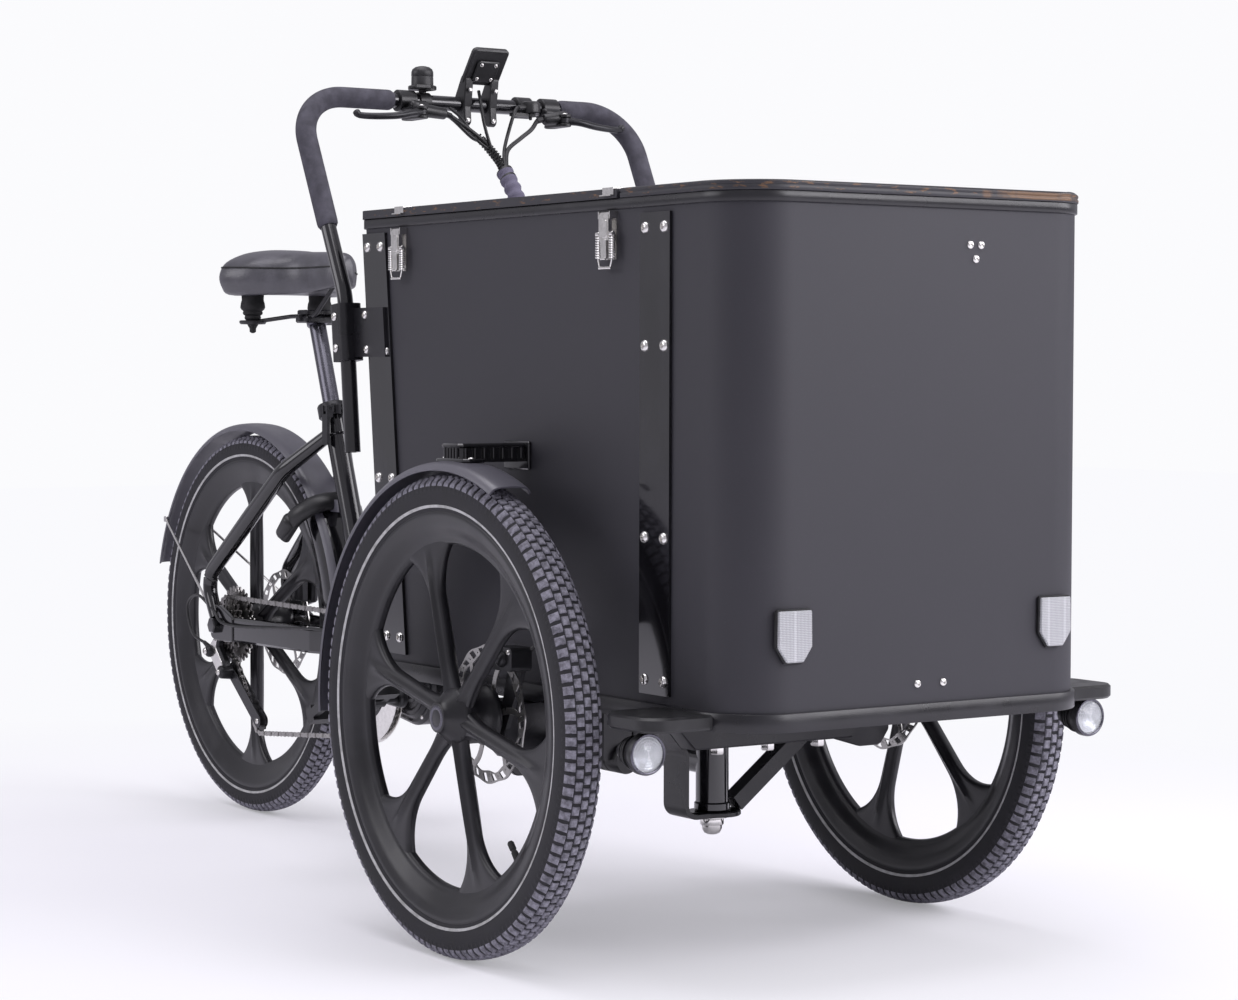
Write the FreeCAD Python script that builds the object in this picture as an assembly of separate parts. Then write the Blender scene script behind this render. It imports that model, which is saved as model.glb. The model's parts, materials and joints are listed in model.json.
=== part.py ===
"""Front-loading electric cargo tricycle, modelled as separate pieces in one frame.

Millimetres, +X forward, +Y to the rider's left, +Z up, origin on the ground under the middle.
"""
import FreeCAD
import Part
import math
import os

os.makedirs("parts", exist_ok=True)
V = FreeCAD.Vector

# Driving dimensions: wheels and stance
FRONT_TYRE_R = 307.5
FRONT_TYRE_W = 54.0
FRONT_TYRE_DEPTH = 54.0
REAR_TYRE_R = 318.0
REAR_TYRE_W = 46.0
REAR_TYRE_DEPTH = 48.0
WHEEL_OUT = 93.0
WHEELBASE = 1278.0
KINGPIN_LEAD = 42.0

# Driving dimensions: cargo box
BOX_LENGTH = 904.0
BOX_WIDTH = 552.0
BOX_REAR_LEAN = 59.0
BOX_FRONT_REACH = 480.0
BOX_HEIGHT = 594.0
FLOOR_OVER_AXLE = 39.5
BOX_WALL = 6.0
FRONT_CORNER_R = 75.0
REAR_CORNER_R = 32.0
FLOOR_T = 9.0
RIM_H = 13.0
RIM_PROUD = 3.0
RIM_W = 14.0
LID_T = 12.0
LID_OVERHANG = 2.0
LID_SPLIT_REACH = 230.0
REFLECTOR_T = 8.0

# Driving dimensions: handlebar and saddle
BAR_R = 11.0
BAR_BESIDE_BOX = 9.0
BAR_TOP_RISE = 794.0
BAR_KINK_RISE = 503.0
BAR_FOOT_RISE = 284.0
BAR_UPPER_LEAN = 26.5
GRIP_T = 4.0
SEAT_LEAN = 20.3
SEAT_CLAMP_RISE = 372.0
SEAT_CLAMP_INSET = 52.0
SEAT_TOP_RISE = 254.0

# Driving dimensions: drive
CRANK_GAP = 160.0
CRANK_DROP = 48.0
CRANK_LENGTH = 170.0
CRANK_ANGLE = -5.0
CHAIN_PITCH = 12.7
CHAINRING_TEETH = 46
SPROCKET_TEETH = 23
JOCKEY_TEETH = 10
CHAIN_LINE = 50.0

# Clearances, and how far the flats of a round bar may lie inside its true circle
RUN_GAP = 0.4
SEAT_GAP = 0.5
CHORD = 0.45
WHEEL_FACETS = 54

# Stance worked out from the driving dimensions
FENDER_GAP = 18.0
FENDER_T = 2.5
FENDER_TAIL_ANGLE = 165.0
FRONT_REACH = BOX_FRONT_REACH + max(REFLECTOR_T, RIM_PROUD + LID_OVERHANG)
REAR_FENDER_R = REAR_TYRE_R + FENDER_GAP
FENDER_TAIL_REACH = (REAR_FENDER_R + FENDER_T) * -math.cos(math.radians(FENDER_TAIL_ANGLE))
AXLE_X = (WHEELBASE + FENDER_TAIL_REACH - FRONT_REACH) / 2
REAR_X = AXLE_X - WHEELBASE
PIN_X = AXLE_X + KINGPIN_LEAD
BOX_HALF = BOX_WIDTH / 2
WHEEL_Y = BOX_HALF + WHEEL_OUT
FRONT_BEAD_R = FRONT_TYRE_R - FRONT_TYRE_DEPTH
REAR_BEAD_R = REAR_TYRE_R - REAR_TYRE_DEPTH
BOX_FLOOR_Z = FRONT_TYRE_R + FLOOR_OVER_AXLE
BOX_WALL_TOP_Z = BOX_FLOOR_Z + BOX_HEIGHT
BOX_FRONT_X = AXLE_X + BOX_FRONT_REACH
BOX_REAR_TOP_X = BOX_FRONT_X - BOX_LENGTH
RIM_TOP_Z = BOX_WALL_TOP_Z + RIM_H
LID_TOP_Z = RIM_TOP_Z + LID_T
BAR_HALF_SPAN = BOX_HALF + BAR_BESIDE_BOX
BAR_TOP_Z = BOX_FLOOR_Z + BAR_TOP_RISE
BAR_KINK_Z = BOX_FLOOR_Z + BAR_KINK_RISE
BAR_FOOT_Z = BOX_FLOOR_Z + BAR_FOOT_RISE
SEAT_CLAMP_X = REAR_X + REAR_TYRE_R - SEAT_CLAMP_INSET
SEAT_CLAMP_Z = REAR_TYRE_R + SEAT_CLAMP_RISE
SEAT_TOP_Z = SEAT_CLAMP_Z + SEAT_TOP_RISE
CRANK_X = REAR_X + REAR_TYRE_R + CRANK_GAP
CRANK_Z = REAR_TYRE_R - CRANK_DROP


def block(x, y, z):
    """Box from three (low, high) pairs."""
    return Part.makeBox(x[1] - x[0], y[1] - y[0], z[1] - z[0], V(x[0], y[0], z[0]))


def round_face(centre, normal, radius):
    """Flat face of a round bar, with as many sides as the chord allows."""
    sides = max(8, math.ceil(math.pi / math.acos(1 - CHORD / max(radius, 2 * CHORD))))
    turn = FreeCAD.Rotation(V(0, 0, 1), normal)
    corners = [V(radius * math.cos(2 * math.pi * i / sides), radius * math.sin(2 * math.pi * i / sides), 0)
               for i in range(sides)]
    return face_of([centre + turn.multVec(corner) for corner in corners])


def rod(start, end, radius):
    """Round bar between two points."""
    return round_face(start, end - start, radius).extrude(end - start)


def true_rod(start, end, radius):
    """Exactly round bar, for bearing faces and large cuts."""
    return Part.makeCylinder(radius, (end - start).Length, start, end - start)


def flat_solid(faces):
    """Closed solid out of flat faces that meet edge to edge."""
    shell = Part.Shell(faces)
    shell.sewShape()
    solid = Part.Solid(shell)
    if solid.Volume < 0:
        solid.reverse()
    return solid.removeSplitter()


def taper(start, end, first_r, last_r):
    """Round bar that changes its radius evenly from start to end."""
    wide = max(first_r, last_r)
    corners = [v.Point - start for v in round_face(start, end - start, wide).OuterWire.OrderedVertexes]
    low = [start + c * (first_r / wide) for c in corners]
    high = [end + c * (last_r / wide) for c in corners]
    sides = [face_of([low[i - 1], low[i], high[i], high[i - 1]]) for i in range(len(low))]
    return flat_solid([face_of(low), face_of(high)] + sides)


def ring(start, end, outer, inner):
    """Round tube between two points."""
    return rod(start, end, outer).cut(true_rod(start, end, inner))


def fuse(*shapes):
    """One solid out of touching shapes."""
    return shapes[0].multiFuse(list(shapes[1:])).removeSplitter()


def pair(shape):
    """A right-hand piece and its mirror image on the left."""
    return Part.makeCompound([shape, mirrored(shape)])


def mirrored(shape):
    """The same piece on the other side of the centre plane."""
    return shape.mirror(V(0, 0, 0), V(0, 1, 0))


def face_of(points):
    """Flat face inside a closed polygon."""
    return Part.Face(Part.makePolygon(list(points) + [points[0]]))


def prism(points, way):
    """Polygon pushed along a vector."""
    return face_of(points).extrude(way)


def side_prism(points, y_low, y_high):
    """Side-view polygon of (x, z) points, pushed from y_low to y_high."""
    return prism([V(x, y_low, z) for x, z in points], V(0, y_high - y_low, 0))


def front_prism(points, x_low, x_high):
    """Front-view polygon of (y, z) points, pushed from x_low to x_high."""
    return prism([V(x_low, y, z) for y, z in points], V(x_high - x_low, 0, 0))


def turned(shape, degrees, centre, axis=V(0, 1, 0)):
    """Copy of a shape turned about an axis."""
    copy = shape.copy()
    copy.rotate(centre, axis, degrees)
    return copy


def bent_bar(section, points, bends):
    """Section face carried along straight runs through points, with a bend of a given radius at each."""
    pieces = []
    last = points[0]
    for before, corner, after, radius in zip(points, points[1:], points[2:], bends):
        back = (before - corner).normalize()
        on = (after - corner).normalize()
        half = back.getAngle(on) / 2
        reach = radius / math.tan(half)
        first = corner + back * reach
        centre = corner + (back + on).normalize() * (radius / math.sin(half))
        axis = on.cross(back)
        angle = 180 - math.degrees(2 * half)
        pieces.append(section.extrude(first - last))
        section = section.translated(first - last)
        pieces.append(section.revolve(centre, axis, angle))
        section = turned(section, angle, centre, axis)
        last = corner + on * reach
    pieces.append(section.extrude(points[-1] - last))
    return fuse(*pieces)


def pipe(points, bends, radius):
    """Bent round bar through points."""
    return bent_bar(round_face(points[0], points[1] - points[0], radius), points, bends)


def plan_outline(x_rear, x_front, half, rear_r, front_r, z):
    """Rounded rectangle in plan, with its own radius at the rear and the front corners."""
    corners = [(x_front, half, front_r, 1, 1), (x_rear, half, rear_r, -1, 1),
               (x_rear, -half, rear_r, -1, -1), (x_front, -half, front_r, 1, -1)]
    edges = []
    ends = []
    for x, y, r, sx, sy in corners:
        along_x = V(x - sx * r, y, z)
        along_y = V(x, y - sy * r, z)
        diagonal = r * (1 - math.sqrt(0.5))
        middle = V(x - sx * diagonal, y - sy * diagonal, z)
        first, last = (along_y, along_x) if sx * sy > 0 else (along_x, along_y)
        edges.append(Part.Arc(first, middle, last).toShape())
        ends.append((first, last))
    wires = []
    for i, edge in enumerate(edges):
        wires.append(edge)
        wires.append(Part.makeLine(ends[i][1], ends[(i + 1) % 4][0]))
    return Part.Wire(wires)


def box_rear_x(z):
    """Rear wall of the box: it leans back towards the top."""
    share = (BOX_WALL_TOP_Z - z) / (BOX_WALL_TOP_Z - BOX_FLOOR_Z)
    return BOX_REAR_TOP_X + BOX_REAR_LEAN * share


def box_outline(z, grow, at=None):
    """Outline of the box at height z, grown outwards; drawn at height `at` if given."""
    return plan_outline(box_rear_x(z) - grow, BOX_FRONT_X + grow, BOX_HALF + grow,
                        REAR_CORNER_R + grow, FRONT_CORNER_R + grow, z if at is None else at)


def plate(outline, height):
    """Flat plate pushed up from a plan outline."""
    return Part.Face(outline).extrude(V(0, 0, height))


def wheel_solid(outline, x, z):
    """Solid round an axle: an outline of (radius, y) points carried round in flat steps."""

    def at(corner, step):
        turn = 2 * math.pi * step / WHEEL_FACETS
        return V(x + corner[0] * math.sin(turn), corner[1], z + corner[0] * math.cos(turn))

    faces = []
    for first, last in zip(outline, outline[1:] + outline[:1]):
        for i in range(WHEEL_FACETS):
            faces.append(face_of([at(first, i), at(last, i), at(last, i + 1), at(first, i + 1)]))
    return flat_solid(faces)


# Wheels: tyre, six-spoke casting and brake disc

AXLE_R = 7.5
SPOKES = 6
SPOKE_W = 24.0
SPOKE_T = 13.0
RIB_W = 7.0
RIB_H = 6.0
WINDOW_CORNER_R = 40.0
WINDOW_ROOT_R = 9.0
WINDOW_STEPS = 5
RIM_DEPTH = 34.0
RIM_LIP = 8.0
RIM_LIP_T = 3.0
HUB_R = 37.0
HUB_NOSE_R = 19.0
DISC_R = 90.0
DISC_T = 2.2
DISC_ARM_W = 13.0
DISC_BAND = 17.0
DISC_HUB_R = 24.0


def bead_half(width):
    """Half the width of a tyre between the rim lips."""
    return width * 0.36


def tyre(x, y, radius, width, bead):
    """Tyre with bulging walls, sloping shoulders and a flat crown."""
    half = bead_half(width)
    depth = radius - bead
    outline = [(bead, half), (bead + 0.52 * depth, width / 2), (bead + 0.84 * depth, 0.41 * width),
               (radius, 0.17 * width)]
    outline += [(r, -s) for r, s in reversed(outline)]
    return wheel_solid([(r, y + s) for r, s in outline], x, radius)


def window(x, z, inner, outer, arm, y_low, y_high):
    """Opening between two arms; it points straight up from the axle and ends on a round rim."""
    spread = math.radians(180 / SPOKES)
    start = inner + arm / 2 / math.sin(spread)
    half = outer * math.tan(spread) - arm / 2 / math.cos(spread)
    wedge = prism([V(x, y_low, z + start), V(x + half, y_low, z + outer), V(x - half, y_low, z + outer)],
                  V(0, y_high - y_low, 0))
    return wedge.common(true_rod(V(x, y_low, z), V(x, y_high, z), outer))


def arc_points(centre, radius, start, stop, steps):
    """Points in even steps on an arc in the (x, z) plane, from one angle in degrees to another."""
    angles = [math.radians(start + (stop - start) * i / steps) for i in range(steps + 1)]
    return [(centre[0] + radius * math.cos(a), centre[1] + radius * math.sin(a)) for a in angles]


def round_window(x, z, inner, outer, y_low, y_high):
    """Wheel opening with wide round corners at the rim and a tight one at the hub, in flat steps."""
    spread = math.radians(180 / SPOKES)
    start = inner + SPOKE_W / 2 / math.sin(spread)
    half = outer * math.tan(spread) - SPOKE_W / 2 / math.cos(spread)
    slant = math.atan2(half, outer - start)
    foot = (-WINDOW_CORNER_R * math.cos(slant), start + WINDOW_CORNER_R * math.sin(slant))
    ahead = foot[0] * math.sin(slant) + foot[1] * math.cos(slant)
    run = math.sqrt(ahead ** 2 + (outer - WINDOW_CORNER_R) ** 2 - foot[0] ** 2 - foot[1] ** 2) - ahead
    corner = (foot[0] + run * math.sin(slant), foot[1] + run * math.cos(slant))
    lean = math.degrees(math.atan2(corner[1], corner[0]))
    side = -math.degrees(slant)

    right = arc_points(corner, WINDOW_CORNER_R, side, lean, WINDOW_STEPS)
    rim = arc_points((0, 0), outer, lean, 180 - lean, WINDOW_STEPS)
    left = [(-px, pz) for px, pz in reversed(right)]
    hub = (0, start + WINDOW_ROOT_R / math.sin(slant))
    root = arc_points(hub, WINDOW_ROOT_R, 180 - side, 360 + side, WINDOW_STEPS)
    outline = root + right + rim[1:-1] + left
    return side_prism([(x + px, z + pz) for px, pz in outline], y_low, y_high)


def casting(x, y, radius, width, bead, hub_in, hub_out, outward, nose_r):
    """Cast wheel: deep rim, six ribbed spokes flaring into it, and a hub bored for the axle."""
    half = bead_half(width)
    rim_in = bead - RIM_DEPTH
    web = SPOKE_T / 2

    outline = [(AXLE_R + RUN_GAP, -hub_in), (HUB_R, -hub_in), (HUB_R, -web), (rim_in, -web),
               (bead + RIM_LIP, -half - RIM_LIP_T), (bead, -half), (bead, half), (bead + RIM_LIP, half + RIM_LIP_T),
               (rim_in, web), (HUB_R, web), (nose_r, hub_out), (AXLE_R + RUN_GAP, hub_out)]
    body = wheel_solid([(r, y + outward * s) for r, s in outline], x, radius)
    rib_half = web + RIB_H
    rib = side_prism([(x - RIB_W / 2, radius + HUB_R - 2), (x + RIB_W / 2, radius + HUB_R - 2),
                      (x + RIB_W / 2, radius + rim_in + 4), (x - RIB_W / 2, radius + rim_in + 4)],
                     y - rib_half, y + rib_half)
    hole = round_window(x, radius, HUB_R * 0.72, rim_in, y - width, y + width)
    centre = V(x, y, radius)
    holes = [turned(hole, 360 / SPOKES * i, centre) for i in range(SPOKES)]
    ribs = [turned(rib, 360 / SPOKES * (i + 0.5), centre) for i in range(SPOKES)]
    return fuse(body.cut(Part.makeCompound(holes)), *ribs)


def brake_disc(x, y, radius):
    """Brake disc: a band on six arms round a bored centre."""
    low = V(x, y - DISC_T / 2, radius)
    high = V(x, y + DISC_T / 2, radius)
    body = ring(low, high, DISC_R, AXLE_R + RUN_GAP)
    hole = window(x, radius, DISC_HUB_R * 0.6, DISC_R - DISC_BAND, DISC_ARM_W, y - DISC_T, y + DISC_T)
    holes = [turned(hole, 360 / SPOKES * i, V(x, y, radius)) for i in range(SPOKES)]
    return body.cut(Part.makeCompound(holes))


HUB_IN = 46.0
HUB_OUT = 30.0
FRONT_DISC_Y = WHEEL_Y - HUB_IN - DISC_T / 2
tyre_front_right = tyre(AXLE_X, -WHEEL_Y, FRONT_TYRE_R, FRONT_TYRE_W, FRONT_BEAD_R)
wheel_front_right = casting(AXLE_X, -WHEEL_Y, FRONT_TYRE_R, FRONT_TYRE_W, FRONT_BEAD_R,
                            HUB_IN, HUB_OUT, -1, HUB_NOSE_R)
disc_front_right = brake_disc(AXLE_X, -FRONT_DISC_Y, FRONT_TYRE_R)

RIGHT_WHEEL_TURN = 2 * 360 / WHEEL_FACETS
LEFT_WHEEL_TURN = -2 * 360 / WHEEL_FACETS
front_axle_mid = V(AXLE_X, 0, FRONT_TYRE_R)
REAR_HUB_HALF = 52.0
REAR_DISC_Y = REAR_HUB_HALF + DISC_T / 2
tyre_rear = tyre(REAR_X, 0, REAR_TYRE_R, REAR_TYRE_W, REAR_BEAD_R)
wheel_rear = casting(REAR_X, 0, REAR_TYRE_R, REAR_TYRE_W, REAR_BEAD_R, REAR_HUB_HALF, 30, -1, HUB_NOSE_R)
disc_rear = brake_disc(REAR_X, REAR_DISC_Y, REAR_TYRE_R)

# Cargo box: walls, floor, rim, lids and strips

BASE_H = 22.0
BASE_PROUD = 4.0
BASE_W = 34.0
BASE_LOW_Z = BOX_FLOOR_Z - BASE_H
STRIP_W = 62.0
STRIP_T = 4.0
STRIP_FRONT_REACH = 310.0
STRIP_REAR_INSET = 50.0
STRIP_LOW_Z = BOX_FLOOR_Z + 11.0
STRIP_TOP_Z = BOX_WALL_TOP_Z - 7.0

walls_out = Part.makeLoft([box_outline(BOX_FLOOR_Z, 0), box_outline(BOX_WALL_TOP_Z, 0)], True, True)
walls_in = Part.makeLoft([box_outline(BOX_FLOOR_Z, -BOX_WALL), box_outline(BOX_WALL_TOP_Z, -BOX_WALL)], True, True)
box_walls = walls_out.cut(walls_in)
box_floor = plate(box_outline(BOX_FLOOR_Z, -BOX_WALL), FLOOR_T)
box_rim = plate(box_outline(BOX_WALL_TOP_Z, RIM_PROUD), RIM_H).cut(
    plate(box_outline(BOX_WALL_TOP_Z, RIM_PROUD - RIM_W), RIM_H))

LID_SPLIT_X = AXLE_X + LID_SPLIT_REACH
LID_SPLIT_GAP = 3.0
lid_plan = box_outline(BOX_WALL_TOP_Z, RIM_PROUD + LID_OVERHANG, RIM_TOP_Z)
lid_whole = plate(lid_plan, LID_T)
LID_EDGE_Y = BOX_HALF + RIM_PROUD + LID_OVERHANG
lid_front = lid_whole.common(block((LID_SPLIT_X + LID_SPLIT_GAP, BOX_FRONT_X + 100), (-BOX_WIDTH, BOX_WIDTH),
                                   (RIM_TOP_Z, LID_TOP_Z)))
lid_panel = lid_whole.common(block((BOX_REAR_TOP_X - 100, LID_SPLIT_X), (-BOX_WIDTH, BOX_WIDTH),
                                   (RIM_TOP_Z + RUN_GAP, LID_TOP_Z)))

HINGE_R = 4.5
HINGE_PIN_R = 2.0
HINGE_KNUCKLE = 20.0
HINGE_LEAF_T = 3.0
HINGE_Y = LID_EDGE_Y + SEAT_GAP + HINGE_R
HINGE_Z = RIM_TOP_Z + LID_T / 2
HINGE_REACHES = (-250.0, 60.0)
hinge_fixed = []
hinge_moving = []
for reach in HINGE_REACHES:
    x_mid = AXLE_X + reach
    x_ends = (x_mid - 1.5 * HINGE_KNUCKLE, x_mid + 1.5 * HINGE_KNUCKLE)
    x_middle = (x_mid - HINGE_KNUCKLE / 2 + RUN_GAP, x_mid + HINGE_KNUCKLE / 2 - RUN_GAP)
    pin_ends = (V(x_ends[0], HINGE_Y, HINGE_Z), V(x_ends[1], HINGE_Y, HINGE_Z))
    knuckles = rod(pin_ends[0], pin_ends[1], HINGE_R)
    leaf = front_prism([(BOX_HALF + RIM_PROUD, RIM_TOP_Z - 1), (BOX_HALF + RIM_PROUD, RIM_TOP_Z - RIM_H),
                        (HINGE_Y, RIM_TOP_Z - RIM_H), (HINGE_Y + HINGE_R, HINGE_Z), (HINGE_Y, HINGE_Z),
                        (HINGE_Y - HINGE_R + 1, HINGE_Z), (HINGE_Y - HINGE_R + 1, RIM_TOP_Z - 1)],
                       x_ends[0], x_ends[1])
    gap = block((x_mid - HINGE_KNUCKLE / 2, x_mid + HINGE_KNUCKLE / 2), (HINGE_Y - 20, HINGE_Y + 20),
                (HINGE_Z - 2 * HINGE_R, HINGE_Z + 20))
    fixed = fuse(fuse(knuckles, leaf).cut(gap), rod(pin_ends[0], pin_ends[1], HINGE_PIN_R))
    arm = block(x_middle, (LID_EDGE_Y, HINGE_Y), (HINGE_Z - HINGE_LEAF_T, HINGE_Z + HINGE_LEAF_T))
    knuckle = rod(V(x_middle[0], HINGE_Y, HINGE_Z), V(x_middle[1], HINGE_Y, HINGE_Z), HINGE_R)
    bore = true_rod(pin_ends[0], pin_ends[1], HINGE_PIN_R + RUN_GAP)
    hinge_fixed.append(fixed)
    hinge_moving.append(fuse(knuckle, arm).cut(bore))
lid_hinges = Part.makeCompound(hinge_fixed)
lid_rear = fuse(lid_panel, *hinge_moving)


def strip_rear_x(z):
    """Middle of the rear strip, which follows the lean of the rear wall."""
    return box_rear_x(z) + STRIP_REAR_INSET


strip_front = block((AXLE_X + STRIP_FRONT_REACH - STRIP_W / 2, AXLE_X + STRIP_FRONT_REACH + STRIP_W / 2),
                    (-BOX_HALF - STRIP_T, -BOX_HALF), (STRIP_LOW_Z, STRIP_TOP_Z))
strip_rear = side_prism([(strip_rear_x(STRIP_LOW_Z) - STRIP_W / 2, STRIP_LOW_Z),
                         (strip_rear_x(STRIP_LOW_Z) + STRIP_W / 2, STRIP_LOW_Z),
                         (strip_rear_x(STRIP_TOP_Z) + STRIP_W / 2, STRIP_TOP_Z),
                         (strip_rear_x(STRIP_TOP_Z) - STRIP_W / 2, STRIP_TOP_Z)],
                        -BOX_HALF - STRIP_T, -BOX_HALF)
side_strips = Part.makeCompound([strip_front, strip_rear, mirrored(strip_front), mirrored(strip_rear)])

# Toggle latches on the right wall, with their keepers on the lid

LATCH_REACHES = {"front": 213.0, "rear": -298.0}
LATCH_HALF = 13.0
LATCH_PIN_Z = RIM_TOP_Z - 20.0
LATCH_PIN_R = 1.6
LATCH_PLATE_T = 2.5
LATCH_KNUCKLE_R = 4.5
LATCH_EAR_T = 2.0
LATCH_LEVER_T = 5.0
LATCH_LEVER_DROP = 31.0
LATCH_TAB_HALF = 6.0
LATCH_TAB_DROP = 22.0
LATCH_LOOP_DROP = 23.0
LATCH_SPRING_R = 3.4
LATCH_SPRING_L = 31.0
LATCH_WIRE_R = 1.3
LATCH_CROSS_R = 2.0
LATCH_CROSS_DROP = 10.0
LATCH_Y = -(BOX_HALF + LATCH_PLATE_T + LATCH_KNUCKLE_R + 2 * RUN_GAP)
LATCH_LOOP_Z = LATCH_PIN_Z - LATCH_LOOP_DROP
LATCH_LEG_X = LATCH_HALF + LATCH_SPRING_R - LATCH_EAR_T + RUN_GAP


def latch_base(x):
    """Plate on the wall with two ears and the lever's pin."""
    low_z = LATCH_LOOP_Z - LATCH_SPRING_L
    back = block((x - LATCH_HALF, x + LATCH_HALF), (-BOX_HALF - LATCH_PLATE_T, -BOX_HALF),
                 (low_z, LATCH_PIN_Z + LATCH_KNUCKLE_R))
    ear = block((x - LATCH_HALF, x - LATCH_HALF + LATCH_EAR_T),
                (LATCH_Y - LATCH_KNUCKLE_R, -BOX_HALF - LATCH_PLATE_T),
                (LATCH_PIN_Z - LATCH_KNUCKLE_R, LATCH_PIN_Z + LATCH_KNUCKLE_R))
    other = ear.translated(V(2 * LATCH_HALF - LATCH_EAR_T, 0, 0))
    pin = rod(V(x - LATCH_HALF, LATCH_Y, LATCH_PIN_Z), V(x + LATCH_HALF, LATCH_Y, LATCH_PIN_Z), LATCH_PIN_R)
    return fuse(back, ear, other, pin)


def latch_lever(x):
    """Lever with its knuckle, finger tab and the trunnion that carries the spring loop."""
    half = LATCH_HALF - LATCH_EAR_T - RUN_GAP
    low_z = LATCH_PIN_Z - LATCH_LEVER_DROP
    outer_y = LATCH_Y - LATCH_LEVER_T
    knuckle = rod(V(x - half, LATCH_Y, LATCH_PIN_Z), V(x + half, LATCH_Y, LATCH_PIN_Z), LATCH_KNUCKLE_R)
    body = block((x - half, x + half), (outer_y, LATCH_Y), (low_z, LATCH_PIN_Z))
    tab = block((x - LATCH_TAB_HALF, x + LATCH_TAB_HALF), (outer_y, outer_y + LATCH_LEVER_T / 2),
                (low_z - LATCH_TAB_DROP, low_z))
    reach = LATCH_LEG_X + LATCH_SPRING_R
    middle_y = LATCH_Y - LATCH_LEVER_T / 2
    trunnion = rod(V(x - reach, middle_y, LATCH_LOOP_Z), V(x + reach, middle_y, LATCH_LOOP_Z), LATCH_PIN_R)
    bore = true_rod(V(x - LATCH_HALF, LATCH_Y, LATCH_PIN_Z), V(x + LATCH_HALF, LATCH_Y, LATCH_PIN_Z),
               LATCH_PIN_R + RUN_GAP)
    return fuse(knuckle, body, tab, trunnion).cut(bore)


def latch_loop(x):
    """Two sprung legs that hang from the trunnion and join at a cross pin."""
    middle_y = LATCH_Y - LATCH_LEVER_T / 2
    low_z = LATCH_LOOP_Z - LATCH_SPRING_L
    cross_z = low_z - LATCH_CROSS_DROP
    pieces = []
    for side in (-1, 1):
        leg_x = x + side * LATCH_LEG_X
        foot = V(x + side * (LATCH_HALF - 2), middle_y, cross_z)
        pieces.append(rod(V(leg_x - LATCH_SPRING_R, middle_y, LATCH_LOOP_Z),
                          V(leg_x + LATCH_SPRING_R, middle_y, LATCH_LOOP_Z), LATCH_SPRING_R))
        pieces.append(rod(V(leg_x, middle_y, LATCH_LOOP_Z), V(leg_x, middle_y, low_z), LATCH_SPRING_R))
        pieces.append(rod(V(leg_x, middle_y, low_z + 1), foot, LATCH_WIRE_R))
    cross = rod(V(x - LATCH_HALF, middle_y, cross_z), V(x + LATCH_HALF, middle_y, cross_z), LATCH_CROSS_R)
    bore = true_rod(V(x - 3 * LATCH_HALF, middle_y, LATCH_LOOP_Z), V(x + 3 * LATCH_HALF, middle_y, LATCH_LOOP_Z),
               LATCH_PIN_R + RUN_GAP)
    return fuse(cross, *pieces).cut(bore)


KEEPER_HALF = 12.0
KEEPER_T = 1.5
KEEPER_DEPTH = 24.0
KEEPER_LIP = 6.0


def latch_keeper(x):
    """Bent catch on the lid edge: a flange on top, a leg down the edge and a lip to hook."""
    edge = -LID_EDGE_Y
    low = RIM_TOP_Z + 3
    return front_prism([(edge + KEEPER_DEPTH, LID_TOP_Z), (edge + KEEPER_DEPTH, LID_TOP_Z + KEEPER_T),
                        (edge - KEEPER_T, LID_TOP_Z + KEEPER_T), (edge - KEEPER_T, low + KEEPER_T),
                        (edge - KEEPER_LIP, low + KEEPER_T), (edge - KEEPER_LIP, low), (edge, low),
                        (edge, LID_TOP_Z)], x - KEEPER_HALF, x + KEEPER_HALF)


latch_x = {name: AXLE_X + reach for name, reach in LATCH_REACHES.items()}
latch_bases = Part.makeCompound([latch_base(x) for x in latch_x.values()])
lid_keepers = Part.makeCompound([latch_keeper(x) for x in latch_x.values()])

# Chassis under the box: base ring, axle beam, steering pivot

BEAM_HALF = 20.0
BEAM_END_Y = WHEEL_Y - 57.0
BEAM_LOW_Z = FRONT_TYRE_R - 57.5
BEAM_MID_LOW_Z = BASE_LOW_Z - 25.0
BEAM_MID_Y = 120.0
BEAM_FOOT_Y = BEAM_END_Y - 50.0
BEAM_CHAMFER = 16.0
PIVOT_PLATE_T = 8.0
PIVOT_PLATE_HALF = BEAM_MID_Y - 2.0
CROSS_TUBE_REACH = 96.0
CROSS_TUBE_W = 30.0
PIN_R = 10.0
PIN_HEAD_R = 15.0
PIN_HEAD_H = 12.0
YOKE_HALF = 25.0
YOKE_T = 6.0
YOKE_SIDE_Y = 58.0
YOKE_LOW_Z = BEAM_MID_LOW_Z - 143.0
YOKE_FLANGE_R = 32.0
YOKE_TOP_Y = 96.0
YOKE_KNEE_Z = BEAM_MID_LOW_Z - 55.0
YOKE_BEND_R = 16.0
BRACE_W = 25.0
NUT_R = 15.0
NUT_H = 12.0
NUT_DOME_R = 13.0

base_ring = plate(box_outline(BOX_FLOOR_Z, BASE_PROUD, BASE_LOW_Z), BASE_H).cut(
    plate(box_outline(BOX_FLOOR_Z, BASE_PROUD - BASE_W, BASE_LOW_Z), BASE_H))
inside_y = BOX_HALF + BASE_PROUD - BASE_W
cross_tube = block((PIN_X + CROSS_TUBE_REACH - CROSS_TUBE_W, PIN_X + CROSS_TUBE_REACH), (-inside_y, inside_y),
                   (BEAM_MID_LOW_Z, BOX_FLOOR_Z))
base_frame = fuse(base_ring, cross_tube)

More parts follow.
